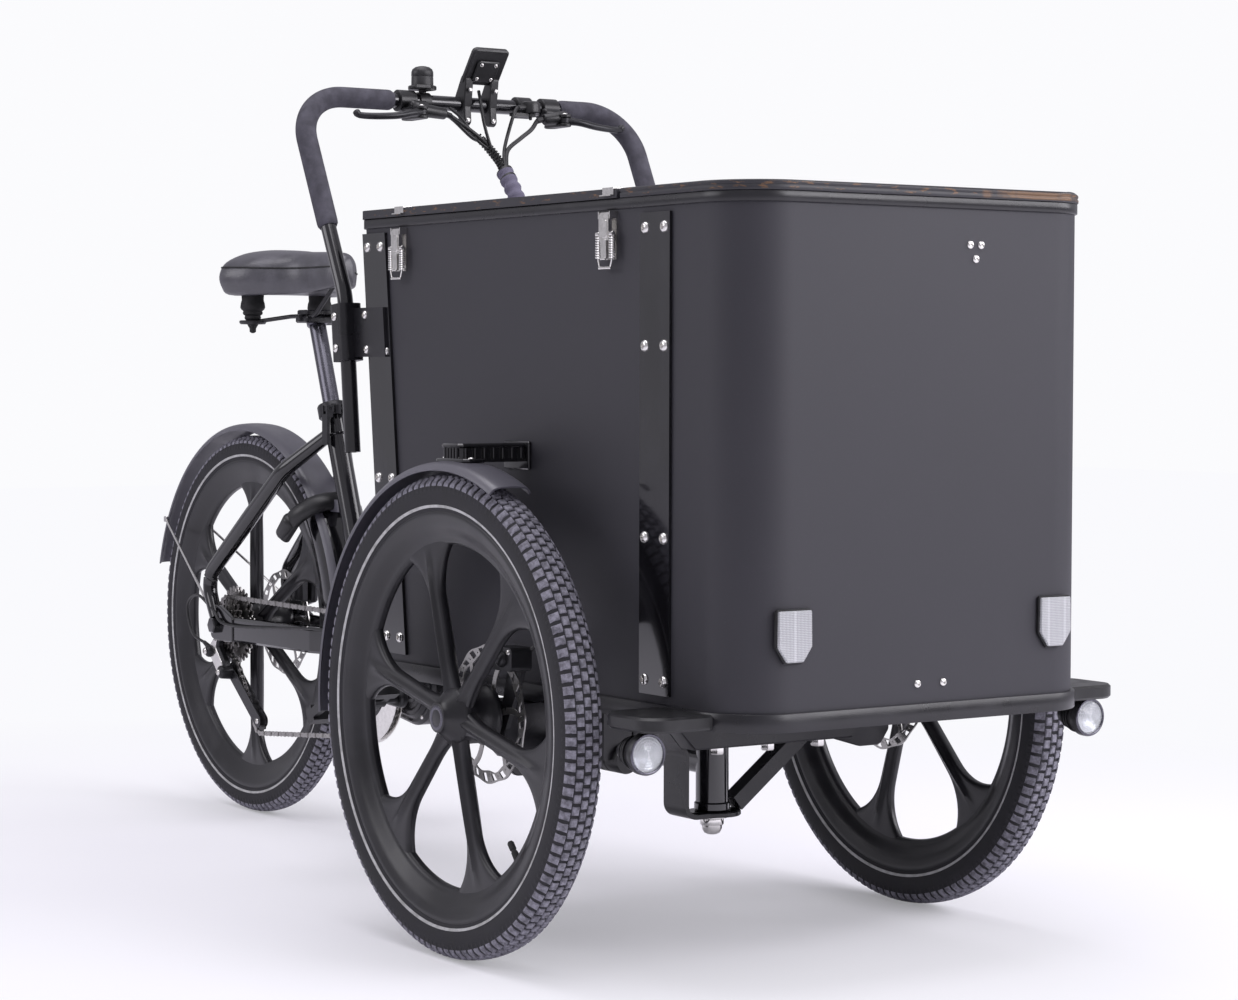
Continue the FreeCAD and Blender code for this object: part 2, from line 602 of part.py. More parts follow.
beam_outline = [(-BEAM_END_Y, BASE_LOW_Z), (-BEAM_END_Y, BEAM_LOW_Z + BEAM_CHAMFER),
                (-BEAM_END_Y + BEAM_CHAMFER, BEAM_LOW_Z), (-BEAM_FOOT_Y, BEAM_LOW_Z),
                (-BEAM_MID_Y, BEAM_MID_LOW_Z), (BEAM_MID_Y, BEAM_MID_LOW_Z), (BEAM_FOOT_Y, BEAM_LOW_Z),
                (BEAM_END_Y - BEAM_CHAMFER, BEAM_LOW_Z), (BEAM_END_Y, BEAM_LOW_Z + BEAM_CHAMFER),
                (BEAM_END_Y, BASE_LOW_Z)]
beam_body = front_prism(beam_outline, AXLE_X - BEAM_HALF, AXLE_X + BEAM_HALF)
stub = rod(V(AXLE_X, -BEAM_END_Y, FRONT_TYRE_R), V(AXLE_X, -WHEEL_Y - HUB_OUT + 4, FRONT_TYRE_R), AXLE_R)
axle_beam = fuse(beam_body, stub, mirrored(stub))

PLATE_LOW_Z = BEAM_MID_LOW_Z - PIVOT_PLATE_T
pivot_plate = block((AXLE_X - BEAM_HALF, PIN_X + CROSS_TUBE_REACH), (-PIVOT_PLATE_HALF, PIVOT_PLATE_HALF),
                    (PLATE_LOW_Z, BEAM_MID_LOW_Z))
YOKE_TOP_Z = PLATE_LOW_Z - YOKE_T / 2
YOKE_MID_Z = YOKE_LOW_Z + YOKE_T / 2
yoke_points = [V(PIN_X, -PIVOT_PLATE_HALF, YOKE_TOP_Z), V(PIN_X, -YOKE_TOP_Y, YOKE_TOP_Z),
               V(PIN_X, -YOKE_SIDE_Y, YOKE_KNEE_Z), V(PIN_X, -YOKE_SIDE_Y, YOKE_MID_Z), V(PIN_X, 0, YOKE_MID_Z)]
yoke_section = face_of([V(PIN_X + side, -PIVOT_PLATE_HALF, PLATE_LOW_Z + drop)
                        for side, drop in ((-YOKE_HALF, -YOKE_T), (YOKE_HALF, -YOKE_T), (YOKE_HALF, 0),
                                           (-YOKE_HALF, 0))])
yoke_strap = bent_bar(yoke_section, yoke_points, [YOKE_BEND_R] * 3)
yoke_flange = rod(V(PIN_X, 0, YOKE_LOW_Z), V(PIN_X, 0, YOKE_LOW_Z + YOKE_T), YOKE_FLANGE_R)
FLANGE_TOP_Z = YOKE_LOW_Z + YOKE_T
brace_foot = V(PIN_X, YOKE_FLANGE_R + 4, FLANGE_TOP_Z - BRACE_W)
brace_head = V(PIN_X, PIVOT_PLATE_HALF - BRACE_W, PLATE_LOW_Z + BRACE_W)
brace_way = brace_head - brace_foot
brace_long = Part.makeBox(BRACE_W, BRACE_W, brace_way.Length, V(-BRACE_W / 2, -BRACE_W / 2, 0))
brace_long.rotate(V(0, 0, 0), V(1, 0, 0), -math.degrees(math.atan2(brace_way.y, brace_way.z)))
brace_long.translate(brace_foot)
brace = brace_long.common(block((PIN_X - 50, PIN_X + 50), (0, PIVOT_PLATE_HALF + 100), (YOKE_LOW_Z, PLATE_LOW_Z)))
pin_hole = rod(V(PIN_X, 0, YOKE_LOW_Z - 1), V(PIN_X, 0, BEAM_MID_LOW_Z + 1), PIN_R)
pivot_yoke = fuse(pivot_plate, yoke_strap, yoke_flange, brace).cut(pin_hole)

pin_shank = rod(V(PIN_X, 0, YOKE_LOW_Z - NUT_H), V(PIN_X, 0, BEAM_MID_LOW_Z), PIN_R)
pin_head = rod(V(PIN_X, 0, BEAM_MID_LOW_Z), V(PIN_X, 0, BEAM_MID_LOW_Z + PIN_HEAD_H), PIN_HEAD_R)
nut = rod(V(PIN_X, 0, YOKE_LOW_Z - NUT_H), V(PIN_X, 0, YOKE_LOW_Z), NUT_R)
nut_foot = V(PIN_X, 0, YOKE_LOW_Z - NUT_H)
nut_dome = taper(nut_foot, nut_foot - V(0, 0, NUT_DOME_R), NUT_DOME_R, 0.6 * NUT_DOME_R)
kingpin = fuse(pin_shank, pin_head, nut, nut_dome)

# Front calipers, fenders, corner plates, headlamps and reflectors

CALIPER_L = 46.0
CALIPER_H = 30.0
CALIPER_HALF_W = 15.0
CALIPER_SLOT = 2.4
CALIPER_BRACKET_T = 6.0
caliper_y = -FRONT_DISC_Y
caliper_mid = V(AXLE_X + BEAM_HALF + CALIPER_L / 2 + 14, caliper_y, FRONT_TYRE_R + DISC_R - 14)
caliper_body = block((caliper_mid.x - CALIPER_L / 2, caliper_mid.x + CALIPER_L / 2),
                     (caliper_y - CALIPER_HALF_W, caliper_y + CALIPER_HALF_W),
                     (caliper_mid.z - CALIPER_H / 2, caliper_mid.z + CALIPER_H / 2))
caliper_body = caliper_body.makeFillet(6, [e for e in caliper_body.Edges if abs(e.tangentAt(0).y) > 0.9])
caliper_slot = rod(V(AXLE_X, caliper_y - CALIPER_SLOT, FRONT_TYRE_R), V(AXLE_X, caliper_y + CALIPER_SLOT, FRONT_TYRE_R),
                   DISC_R + 4)
bracket_y = caliper_y + CALIPER_HALF_W
caliper_bracket = side_prism([(AXLE_X + BEAM_HALF, BASE_LOW_Z - 50), (caliper_mid.x + 16, caliper_mid.z - 4),
                              (caliper_mid.x + 10, caliper_mid.z + 12), (caliper_mid.x - 16, caliper_mid.z + 12),
                              (AXLE_X + BEAM_HALF, BASE_LOW_Z)], bracket_y - CALIPER_BRACKET_T, bracket_y)
beam_tab = block((AXLE_X + BEAM_HALF, AXLE_X + BEAM_HALF + 8), (-BEAM_END_Y, bracket_y), (BASE_LOW_Z - 45, BASE_LOW_Z - 5))
caliper_right = fuse(caliper_body.cut(caliper_slot), caliper_bracket, beam_tab)
front_calipers = pair(caliper_right)

FRONT_FENDER_W = 60.0
FENDER_LIP = 9.0
FENDER_EDGE = 6.0
FRONT_FENDER_NOSE = 66.0
FRONT_FENDER_R = FRONT_TYRE_R + FENDER_GAP - 4


def fender(x, y, axle_z, radius, width, nose, tail):
    """Mudguard: a channel section with turned-down edges, swept round the axle from nose to tail."""
    half = width / 2

    def at(r, s):
        return V(x, y + s, axle_z + r)

    top = radius + FENDER_T
    outline = [at(radius - FENDER_LIP, -half + FENDER_T), at(radius - FENDER_LIP, -half), at(top - 1, -half + FENDER_EDGE),
               at(top, -half + 2 * FENDER_EDGE), at(top, half - 2 * FENDER_EDGE), at(top - 1, half - FENDER_EDGE),
               at(radius - FENDER_LIP, half), at(radius - FENDER_LIP, half - FENDER_T),
               at(radius, half - FENDER_EDGE - FENDER_T), at(radius, -half + FENDER_EDGE + FENDER_T)]
    start = turned(face_of(outline), 90 - nose, V(x, y, axle_z))
    return start.revolve(V(x, y, axle_z), V(0, -1, 0), tail - nose)


fender_right = fender(AXLE_X, -WHEEL_Y, FRONT_TYRE_R, FRONT_FENDER_R, FRONT_FENDER_W, FRONT_FENDER_NOSE, 184)
BRACKET_LENGTH = 92.0
BRACKET_RISE = 13.0
BRACKET_RIBS = 5
FLANGE_H = 34.0
FLANGE_T = 5.0
fender_crest = FRONT_TYRE_R + FRONT_FENDER_R + FENDER_T
bracket_ends = (AXLE_X - BRACKET_LENGTH / 2, AXLE_X + BRACKET_LENGTH / 2)
bracket_arm = block(bracket_ends, (-WHEEL_Y + 4, -BOX_HALF), (fender_crest - 8, fender_crest + 4))
bracket_flange = block(bracket_ends, (-BOX_HALF - FLANGE_T, -BOX_HALF), (fender_crest - 12, fender_crest - 12 + FLANGE_H))
rib_pitch = BRACKET_LENGTH / BRACKET_RIBS
bracket_ribs = [front_prism([(-WHEEL_Y + 8, fender_crest + 3), (-BOX_HALF - 2, fender_crest + 3),
                             (-BOX_HALF - 2, fender_crest + 4 + BRACKET_RISE)],
                            bracket_ends[0] + rib_pitch * (i + 0.35), bracket_ends[0] + rib_pitch * (i + 0.65))
                for i in range(BRACKET_RIBS)]
crest_cut = rod(V(AXLE_X, -WHEEL_Y - 60, FRONT_TYRE_R), V(AXLE_X, -WHEEL_Y + FRONT_FENDER_W / 2, FRONT_TYRE_R),
                FRONT_FENDER_R + FENDER_T)
bracket_right = fuse(bracket_arm, bracket_flange, *bracket_ribs).cut(crest_cut)
front_fenders = pair(fender_right)
fender_brackets = pair(bracket_right)

CORNER_PLATE_L = 106.0
CORNER_PLATE_T = 18.0
CORNER_PLATE_OUT = 88.0
CORNER_PLATE_REACH = 322.0
CORNER_PLATE_R = 30.0
base_side_y = BOX_HALF + BASE_PROUD
corner_low = BASE_LOW_Z + 2
corner_block = block((AXLE_X + CORNER_PLATE_REACH, AXLE_X + CORNER_PLATE_REACH + CORNER_PLATE_L),
                     (-base_side_y - CORNER_PLATE_OUT, -base_side_y + BASE_W),
                     (corner_low, corner_low + CORNER_PLATE_T))
corner_edges = [e for e in corner_block.Edges
                if abs(e.tangentAt(0).z) > 0.9 and e.Vertexes[0].Point.y < -base_side_y - 1]
corner_rounded = corner_block.makeFillet(CORNER_PLATE_R, corner_edges)
corner_right = corner_rounded.cut(plate(box_outline(BOX_FLOOR_Z, BASE_PROUD, BASE_LOW_Z), BASE_H))
corner_plates = pair(corner_right)

LAMP_R = 25.0
LAMP_TAIL_R = 12.0
LAMP_BEZEL = 12.0
LAMP_LENGTH = 52.0
LAMP_Y = base_side_y + 0.75 * CORNER_PLATE_OUT
LAMP_Z = corner_low - LAMP_R - 2
LAMP_FACE_X = AXLE_X + CORNER_PLATE_REACH + 0.7 * CORNER_PLATE_L
lamp_front = V(LAMP_FACE_X, -LAMP_Y, LAMP_Z)
lamp_shell = fuse(rod(lamp_front - V(LAMP_BEZEL, 0, 0), lamp_front, LAMP_R),
                  taper(lamp_front - V(LAMP_LENGTH, 0, 0), lamp_front - V(LAMP_BEZEL, 0, 0), LAMP_TAIL_R, LAMP_R - 2))
lamp_bowl = taper(lamp_front - V(LAMP_BEZEL, 0, 0), lamp_front, LAMP_TAIL_R, LAMP_R - 3)
lamp_stem = block((LAMP_FACE_X - 24, LAMP_FACE_X - 12), (-LAMP_Y - 6, -LAMP_Y + 6), (LAMP_Z + LAMP_TAIL_R, corner_low))
lamp_right = fuse(lamp_shell, lamp_stem).cut(lamp_bowl)
headlamps = pair(lamp_right)
LENS_T = 3.0
lens_right = lamp_bowl.common(block((LAMP_FACE_X - LENS_T, LAMP_FACE_X), (-LAMP_Y - LAMP_R, -LAMP_Y + LAMP_R),
                                    (LAMP_Z - LAMP_R, LAMP_Z + LAMP_R)))
lamp_lenses = pair(lens_right)

REFLECTOR_W = 55.0
REFLECTOR_H = 67.0
REFLECTOR_Y = BOX_HALF - 74.0
REFLECTOR_Z = BOX_FLOOR_Z + 91.0
refl_half = REFLECTOR_W / 2
refl_top = REFLECTOR_Z + REFLECTOR_H / 2
refl_low = REFLECTOR_Z - REFLECTOR_H / 2


def refl_at(side, z):
    """Point on the front wall, measured from the right reflector's middle."""
    return V(BOX_FRONT_X, -REFLECTOR_Y + side, z)


refl_edges = [Part.Arc(refl_at(-refl_half, refl_top - 4), refl_at(0, refl_top), refl_at(refl_half, refl_top - 4)).toShape(),
              Part.makeLine(refl_at(refl_half, refl_top - 4), refl_at(refl_half, REFLECTOR_Z - 4)),
              Part.Arc(refl_at(refl_half, REFLECTOR_Z - 4), refl_at(0.62 * refl_half, refl_low + 9),
                       refl_at(0, refl_low)).toShape(),
              Part.Arc(refl_at(0, refl_low), refl_at(-0.62 * refl_half, refl_low + 9),
                       refl_at(-refl_half, REFLECTOR_Z - 4)).toShape(),
              Part.makeLine(refl_at(-refl_half, REFLECTOR_Z - 4), refl_at(-refl_half, refl_top - 4))]
reflector_right = Part.Face(Part.Wire(refl_edges)).extrude(V(REFLECTOR_T, 0, 0))
reflectors = pair(reflector_right)

# Handlebar: bent tube, foam grips, clamps and controls

CLAMP_H = 80.0
CLAMP_W = 36.0
CLAMP_MID_Z = BOX_FLOOR_Z + 451.0
CLAMP_PLATE_T = 4.0
BAR_OFFSET = 30.0
BAR_BEND_R = 75.0
BAR_KINK_R = 90.0
GRIP_LOW_Z = BAR_TOP_Z - 197.0
GRIP_RIGHT_END = 126.0
GRIP_LEFT_END = 160.0
rear_lean = math.atan2(BOX_REAR_LEAN, BOX_WALL_TOP_Z - BOX_FLOOR_Z)


def bar_x(z):
    """Lower leg of the bar: it runs behind the rear wall and follows its lean."""
    return box_rear_x(z) - BAR_OFFSET


def leg_x(z):
    """Leg of the bar above the kink."""
    return bar_x(BAR_KINK_Z) - (z - BAR_KINK_Z) * math.tan(math.radians(BAR_UPPER_LEAN))


def bar_points(side, foot_z, end_y):
    """Corner points of one half of the bar, from its foot to a place on the top run."""
    top_x = leg_x(BAR_TOP_Z)
    y = side * BAR_HALF_SPAN
    points = [V(top_x, y, BAR_TOP_Z), V(top_x, end_y, BAR_TOP_Z)]
    if foot_z < BAR_KINK_Z:
        return [V(bar_x(foot_z), y, foot_z), V(bar_x(BAR_KINK_Z), y, BAR_KINK_Z)] + points
    return [V(leg_x(foot_z), y, foot_z)] + points


right_half = bar_points(-1, BAR_FOOT_Z, 0)
left_half = bar_points(1, BAR_FOOT_Z, 0)
bar_corners = right_half[:-1] + left_half[-2::-1]
bar_bends = [BAR_KINK_R, BAR_BEND_R, BAR_BEND_R, BAR_KINK_R]
handlebar = pipe(bar_corners, bar_bends, BAR_R)


def grip(side, end):
    """Foam sleeve round the bend of the bar."""
    points = bar_points(side, GRIP_LOW_Z, side * end)
    return pipe(points, [BAR_BEND_R], BAR_R + GRIP_T).cut(handlebar)


grips = Part.makeCompound([grip(-1, GRIP_RIGHT_END), grip(1, GRIP_LEFT_END)])

clamp_mid = V(bar_x(CLAMP_MID_Z), -BAR_HALF_SPAN, CLAMP_MID_Z)
clamp_block = block((clamp_mid.x - CLAMP_W / 2, clamp_mid.x + CLAMP_W / 2),
                    (clamp_mid.y - CLAMP_W / 2, clamp_mid.y + CLAMP_W / 2),
                    (clamp_mid.z - CLAMP_H / 2, clamp_mid.z + CLAMP_H / 2))
clamp_block = clamp_block.makeFillet(10, [e for e in clamp_block.Edges if abs(e.tangentAt(0).z) > 0.9])
clamp_block = turned(clamp_block, -math.degrees(rear_lean), clamp_mid)
plate_low = CLAMP_MID_Z - CLAMP_H / 2 + 6
plate_top = CLAMP_MID_Z + CLAMP_H / 2 - 6
strip_face = -BOX_HALF - STRIP_T
clamp_plate = side_prism([(bar_x(plate_low), plate_low), (strip_rear_x(plate_low) + STRIP_W / 2 - 8, plate_low),
                          (strip_rear_x(plate_top) + STRIP_W / 2 - 8, plate_top), (bar_x(plate_top), plate_top)],
                         strip_face - CLAMP_PLATE_T, strip_face)
clamp_right = fuse(clamp_block, clamp_plate).cut(handlebar).cut(walls_out)
bar_clamps = pair(clamp_right)

BAR_MID = V(leg_x(BAR_TOP_Z), 0, BAR_TOP_Z)
PERCH_L = 34.0
PERCH_R = 16.0
PERCH_REACH = 50.0
MASTER_L = 26.0
PERCH_DROP = 20.0
LEVER_L = 106.0
LEVER_T = 8.0
LEVER_PIN_R = 3.0
LEVER_FORK = 5.0
PERCH_PLACES = {"right": -106.0, "left": 142.0}


def brake_pivot(y):
    """Pivot of a brake lever, in front of and below the bar."""
    return BAR_MID + V(PERCH_REACH, y, -PERCH_DROP)


def brake_perch(y, side):
    """Clamp on the bar with a master body and a forked nose that holds the lever's pin."""
    pivot = brake_pivot(y)
    clamp = rod(BAR_MID + V(0, y - PERCH_L / 2, 0), BAR_MID + V(0, y + PERCH_L / 2, 0), PERCH_R)
    fork_z = LEVER_T / 2 + RUN_GAP + LEVER_FORK
    nose = block((BAR_MID.x, pivot.x + 9), (pivot.y - 10, pivot.y + 10), (pivot.z - fork_z, pivot.z + fork_z))
    master = rod(pivot + V(-6, -side * 8, LEVER_T), pivot + V(-6, -side * MASTER_L, LEVER_T), 9)
    slot = block((BAR_MID.x + PERCH_R + 1, pivot.x + 20), (pivot.y - 30, pivot.y + 30),
                 (pivot.z - LEVER_T / 2 - RUN_GAP, pivot.z + LEVER_T / 2 + RUN_GAP))
    pin = rod(pivot - V(0, 0, fork_z), pivot + V(0, 0, fork_z), LEVER_PIN_R)
    return fuse(fuse(clamp, nose, master).cut(slot), pin).cut(handlebar)


def brake_lever(y, side):
    """Curved blade with an eye on the perch pin and a round finger end."""
    pivot = brake_pivot(y)
    eye = rod(pivot - V(0, 0, LEVER_T / 2), pivot + V(0, 0, LEVER_T / 2), 7.5)
    start = pivot + V(0, 0, 0)
    tip = pivot + V(-2, side * LEVER_L, -4)
    middle = pivot + V(12, side * LEVER_L * 0.45, -2)
    outline = [(start.x - 5, start.y), (start.x + 6, start.y), (middle.x + 5, middle.y), (tip.x + 5, tip.y),
               (tip.x - 4, tip.y), (middle.x - 5, middle.y)]
    blade = prism([V(x, y_, pivot.z - LEVER_T / 2) for x, y_ in outline], V(0, 0, LEVER_T))
    knob = rod(V(tip.x, tip.y, pivot.z - LEVER_T / 2), V(tip.x, tip.y, pivot.z + LEVER_T / 2), 6)
    bore = true_rod(pivot - V(0, 0, 20), pivot + V(0, 0, 20), LEVER_PIN_R + RUN_GAP)
    return fuse(eye, blade, knob).cut(bore)


brake_perches = Part.makeCompound([brake_perch(PERCH_PLACES["right"], -1), brake_perch(PERCH_PLACES["left"], 1)])

BELL_Y = -76.0
BELL_R = 21.0
BELL_BAND = 9.0
bell_clamp = ring(BAR_MID + V(0, BELL_Y - BELL_BAND, 0), BAR_MID + V(0, BELL_Y + BELL_BAND, 0), BAR_R + 3, BAR_R)
bell_seat = BAR_MID + V(0, BELL_Y, BAR_R + 3)
bell_dome = taper(bell_seat + V(0, 0, 4), bell_seat + V(0, 0, 4 + 0.7 * BELL_R), BELL_R, 0.6 * BELL_R)
bell_post = rod(bell_seat - V(0, 0, 2), bell_seat + V(0, 0, 6), 5)
bell = fuse(bell_clamp, bell_dome, bell_post)
STRIKER_PIN_R = 1.5
STRIKER_IN = 1.8
STRIKER_OUT = 3.0
STRIKER_L = 26.0
striker_pivot = bell_seat + V(BELL_R + 5, 0, 5)
bell_tab = block((bell_seat.x, striker_pivot.x + 4), (bell_seat.y - 5, bell_seat.y + 5), (bell_seat.z + 1, bell_seat.z + 4))
bell_pin = rod(striker_pivot - V(0, 0, 2), striker_pivot + V(0, 0, 6), STRIKER_PIN_R)
bell = fuse(bell, bell_tab, bell_pin).cut(handlebar)
striker_low = bell_seat.z + 4 + RUN_GAP
striker_hub = rod(V(striker_pivot.x, striker_pivot.y, striker_low), V(striker_pivot.x, striker_pivot.y, striker_low + 4), 4)
striker_arm = block((striker_pivot.x - STRIKER_IN, striker_pivot.x + STRIKER_OUT),
                    (striker_pivot.y - STRIKER_L, striker_pivot.y), (striker_low, striker_low + 4))
striker_bore = true_rod(striker_pivot - V(0, 0, 9), striker_pivot + V(0, 0, 20), STRIKER_PIN_R + RUN_GAP)
bell_striker = fuse(striker_hub, striker_arm).cut(striker_bore)

DISPLAY_W = 62.0
DISPLAY_L = 74.0
DISPLAY_T = 13.0
DISPLAY_TILT = 38.0
DISPLAY_Y = 15.0
DISPLAY_LEG_W = 14.0
DISPLAY_LEG_GAP = 44.0
display_foot = BAR_MID + V(8, DISPLAY_Y, BAR_R + 18)
display_case = block((display_foot.x - DISPLAY_T / 2, display_foot.x + DISPLAY_T / 2),
                     (display_foot.y - DISPLAY_W / 2, display_foot.y + DISPLAY_W / 2),
                     (display_foot.z, display_foot.z + DISPLAY_L))
display_case = display_case.makeFillet(5, [e for e in display_case.Edges if abs(e.tangentAt(0).x) > 0.9])
display_case = turned(display_case, DISPLAY_TILT, display_foot)
display_legs = []
for side in (-1, 1):
    leg_y = DISPLAY_Y + side * DISPLAY_LEG_GAP / 2
    leg_span = (leg_y - DISPLAY_LEG_W / 2, leg_y + DISPLAY_LEG_W / 2)
    collar = rod(BAR_MID + V(0, leg_span[0], 0), BAR_MID + V(0, leg_span[1], 0), BAR_R + 4)
    arm = side_prism([(BAR_MID.x - 6, BAR_TOP_Z), (BAR_MID.x + 10, BAR_TOP_Z),
                      (display_foot.x + 18, display_foot.z + 16), (display_foot.x - 2, display_foot.z + 10)],
                     leg_span[0], leg_span[1])
    display_legs.append(fuse(collar, arm))
display = fuse(display_case, *display_legs).cut(handlebar)

SHIFTER_Y = 96.0
SHIFTER_W = 26.0
SHIFT_PIN_R = 2.5
shift_collar = rod(BAR_MID + V(0, SHIFTER_Y - SHIFTER_W / 2, 0), BAR_MID + V(0, SHIFTER_Y + SHIFTER_W / 2, 0), BAR_R + 5)
shift_pivot = BAR_MID + V(26, SHIFTER_Y, -6)
shift_pod = rod(shift_pivot + V(0, 0, -4), shift_pivot + V(0, 0, 14), 15)
shift_pin = rod(shift_pivot + V(0, 0, -14), shift_pivot, SHIFT_PIN_R)
shifter = fuse(shift_collar, shift_pod, shift_pin).cut(handlebar)
SHIFT_LEVER_T = 5.0
shift_top = shift_pivot.z - 4 - RUN_GAP
shift_hub = rod(V(shift_pivot.x, shift_pivot.y, shift_top - SHIFT_LEVER_T), V(shift_pivot.x, shift_pivot.y, shift_top), 8)
shift_blade = block((shift_pivot.x - 5, shift_pivot.x + 5), (shift_pivot.y - 34, shift_pivot.y),
                    (shift_top - SHIFT_LEVER_T, shift_top))
shift_bore = true_rod(shift_pivot - V(0, 0, 20), shift_pivot + V(0, 0, 20), SHIFT_PIN_R + RUN_GAP)
shift_lever = fuse(shift_hub, shift_blade).cut(shift_bore)

LOOM_R = 8.0
LOOM_Y = 22.0
LOOM_FOOT_Z = BOX_FLOOR_Z + 413.0
loom_points = [BAR_MID + V(0, DISPLAY_Y, -BAR_R - LOOM_R), V(BAR_MID.x + 30, LOOM_Y, BAR_TOP_Z - 80),
               V(bar_x(BAR_KINK_Z) - 14, LOOM_Y, BAR_KINK_Z + 90), V(box_rear_x(LOOM_FOOT_Z) - 14, LOOM_Y, LOOM_FOOT_Z + 40),
               V(box_rear_x(LOOM_FOOT_Z), LOOM_Y, LOOM_FOOT_Z)]
cable_loom = pipe(loom_points, [60.0, 90.0, 20.0], LOOM_R).cut(handlebar).cut(walls_out)

# Rear frame: spine with head tube and seat tube, stays, drive unit

SPINE_R = 22.0
SPINE_Z = BEAM_MID_LOW_Z - 68.0
SPINE_KNEE_AHEAD = 260.0
SPINE_DECK_AHEAD = 150.0
SPINE_BEND_R = 70.0
SPINE_DECK_Z = REAR_TYRE_R + 38.0
HEAD_R = 22.0
SEAT_TUBE_R = 17.5
POST_R = 13.6
SEAT_TUBE_LOW_Z = REAR_TYRE_R - 18.0
SEAT_TUBE_DEPTH = 230.0
seat_dir = V(-math.sin(math.radians(SEAT_LEAN)), 0, math.cos(math.radians(SEAT_LEAN)))
seat_mouth = V(SEAT_CLAMP_X, 0, SEAT_CLAMP_Z)


def on_seat_line(z):
    """Point on the seat tube's axis at height z."""
    return seat_mouth + seat_dir * ((z - SEAT_CLAMP_Z) / seat_dir.z)


head_low = V(PIN_X, 0, FLANGE_TOP_Z + RUN_GAP)
head_top = V(PIN_X, 0, PLATE_LOW_Z - RUN_GAP)
seat_tube = rod(on_seat_line(SEAT_TUBE_LOW_Z), seat_mouth, SEAT_TUBE_R)
seat_bore = true_rod(seat_mouth - seat_dir * SEAT_TUBE_DEPTH, seat_mouth + seat_dir * 10, POST_R + RUN_GAP)
deck_end = on_seat_line(SPINE_DECK_Z)
spine_tube = pipe([V(PIN_X, 0, SPINE_Z), V(CRANK_X + SPINE_KNEE_AHEAD, 0, SPINE_Z),
                   V(CRANK_X + SPINE_DECK_AHEAD, 0, SPINE_DECK_Z), deck_end], [SPINE_BEND_R] * 2, SPINE_R)
head_bore = true_rod(head_low - V(0, 0, 1), head_top + V(0, 0, 1), PIN_R + RUN_GAP)
frame_spine = fuse(rod(head_low, head_top, HEAD_R), spine_tube, seat_tube).cut(head_bore).cut(seat_bore)

DROPOUT_Y = 70.0
DROPOUT_T = 7.0
STAY_R = 11.0
STAY_JOINT_DROP = 45.0
STAY_KNEE_BACK = 58.0
STAY_KNEE_Y = 58.0
STAY_KNEE_DROP = 107.0
CHAINSTAY_H = 40.0
CHAINSTAY_T = 20.0
stay_y = DROPOUT_Y + DROPOUT_T / 2
seat_joint = on_seat_line(SEAT_CLAMP_Z - STAY_JOINT_DROP)
stay_knee = V(SEAT_CLAMP_X - STAY_KNEE_BACK, -STAY_KNEE_Y, SEAT_CLAMP_Z - STAY_KNEE_DROP)
stay_points = [seat_joint + V(0, -10, 0), stay_knee, V(REAR_X - 40, -stay_y, REAR_TYRE_R + 76),
               V(REAR_X - 4, -stay_y, REAR_TYRE_R + 12)]
seat_stay = pipe(stay_points, [60.0, 40.0], STAY_R)
chain_root = on_seat_line(SEAT_TUBE_LOW_Z + 14)
stay_plan = [(chain_root.x + 6, -8), (chain_root.x - 50, -22), (chain_root.x - 85, -34), (REAR_X + 20, -DROPOUT_Y),
             (REAR_X + 20, -DROPOUT_Y - DROPOUT_T), (chain_root.x - 100, -DROPOUT_Y + 8), (chain_root.x - 36, -40),
             (chain_root.x + 6, -34)]
stay_outline = [V(x, y, chain_root.z - CHAINSTAY_H / 2) for x, y in stay_plan]
chain_stay = prism(stay_outline, V(0, 0, CHAINSTAY_H))
dropout = side_prism([(REAR_X + 60, chain_root.z - CHAINSTAY_H / 2), (REAR_X + 60, chain_root.z + CHAINSTAY_H / 2),
                      (REAR_X + 12, REAR_TYRE_R + 34), (REAR_X - 20, REAR_TYRE_R + 34), (REAR_X - 20, REAR_TYRE_R - 22),
                      (REAR_X + 12, REAR_TYRE_R - 26)], -DROPOUT_Y - DROPOUT_T, -DROPOUT_Y)
rear_axle = rod(V(REAR_X, -DROPOUT_Y - 14, REAR_TYRE_R), V(REAR_X, DROPOUT_Y + 14, REAR_TYRE_R), AXLE_R)
stay_right = fuse(seat_stay, chain_stay, dropout)
rear_stays = fuse(stay_right, mirrored(stay_right), rear_axle).cut(seat_tube.fuse(seat_bore))

MOTOR_HALF = 36.0
MOTOR_R = 62.0
MOTOR_BOSS_R = 48.0
MOTOR_AHEAD = 112.0
SPINDLE_R = 8.0
motor_mid = V(CRANK_X + MOTOR_AHEAD, 0, CRANK_Z - 2)


def motor_slice(half, shrink):
    """Pear-shaped drive unit: a drum in front, blending into the crank boss."""
    drum = rod(motor_mid - V(0, half, 0), motor_mid + V(0, half, 0), MOTOR_R - shrink)
    boss = rod(V(CRANK_X, -half, CRANK_Z), V(CRANK_X, half, CRANK_Z), MOTOR_BOSS_R - shrink)
    web = side_prism([(CRANK_X, CRANK_Z - MOTOR_BOSS_R + shrink), (motor_mid.x, motor_mid.z - MOTOR_R + shrink),
                      (motor_mid.x, motor_mid.z + MOTOR_R - shrink), (CRANK_X, CRANK_Z + MOTOR_BOSS_R - shrink)], -half, half)
    return fuse(drum, boss, web)


spindle_bore = true_rod(V(CRANK_X, -200, CRANK_Z), V(CRANK_X, 200, CRANK_Z), SPINDLE_R + RUN_GAP)
hanger = block((CRANK_X + 20, CRANK_X + MOTOR_AHEAD), (-16, 16), (CRANK_Z + 30, SPINE_DECK_Z))
motor_housing = fuse(motor_slice(MOTOR_HALF, 0), motor_slice(MOTOR_HALF + 6, 10), hanger).cut(frame_spine).cut(spindle_bore)

# Crank, pedals, chain, cassette, derailleur


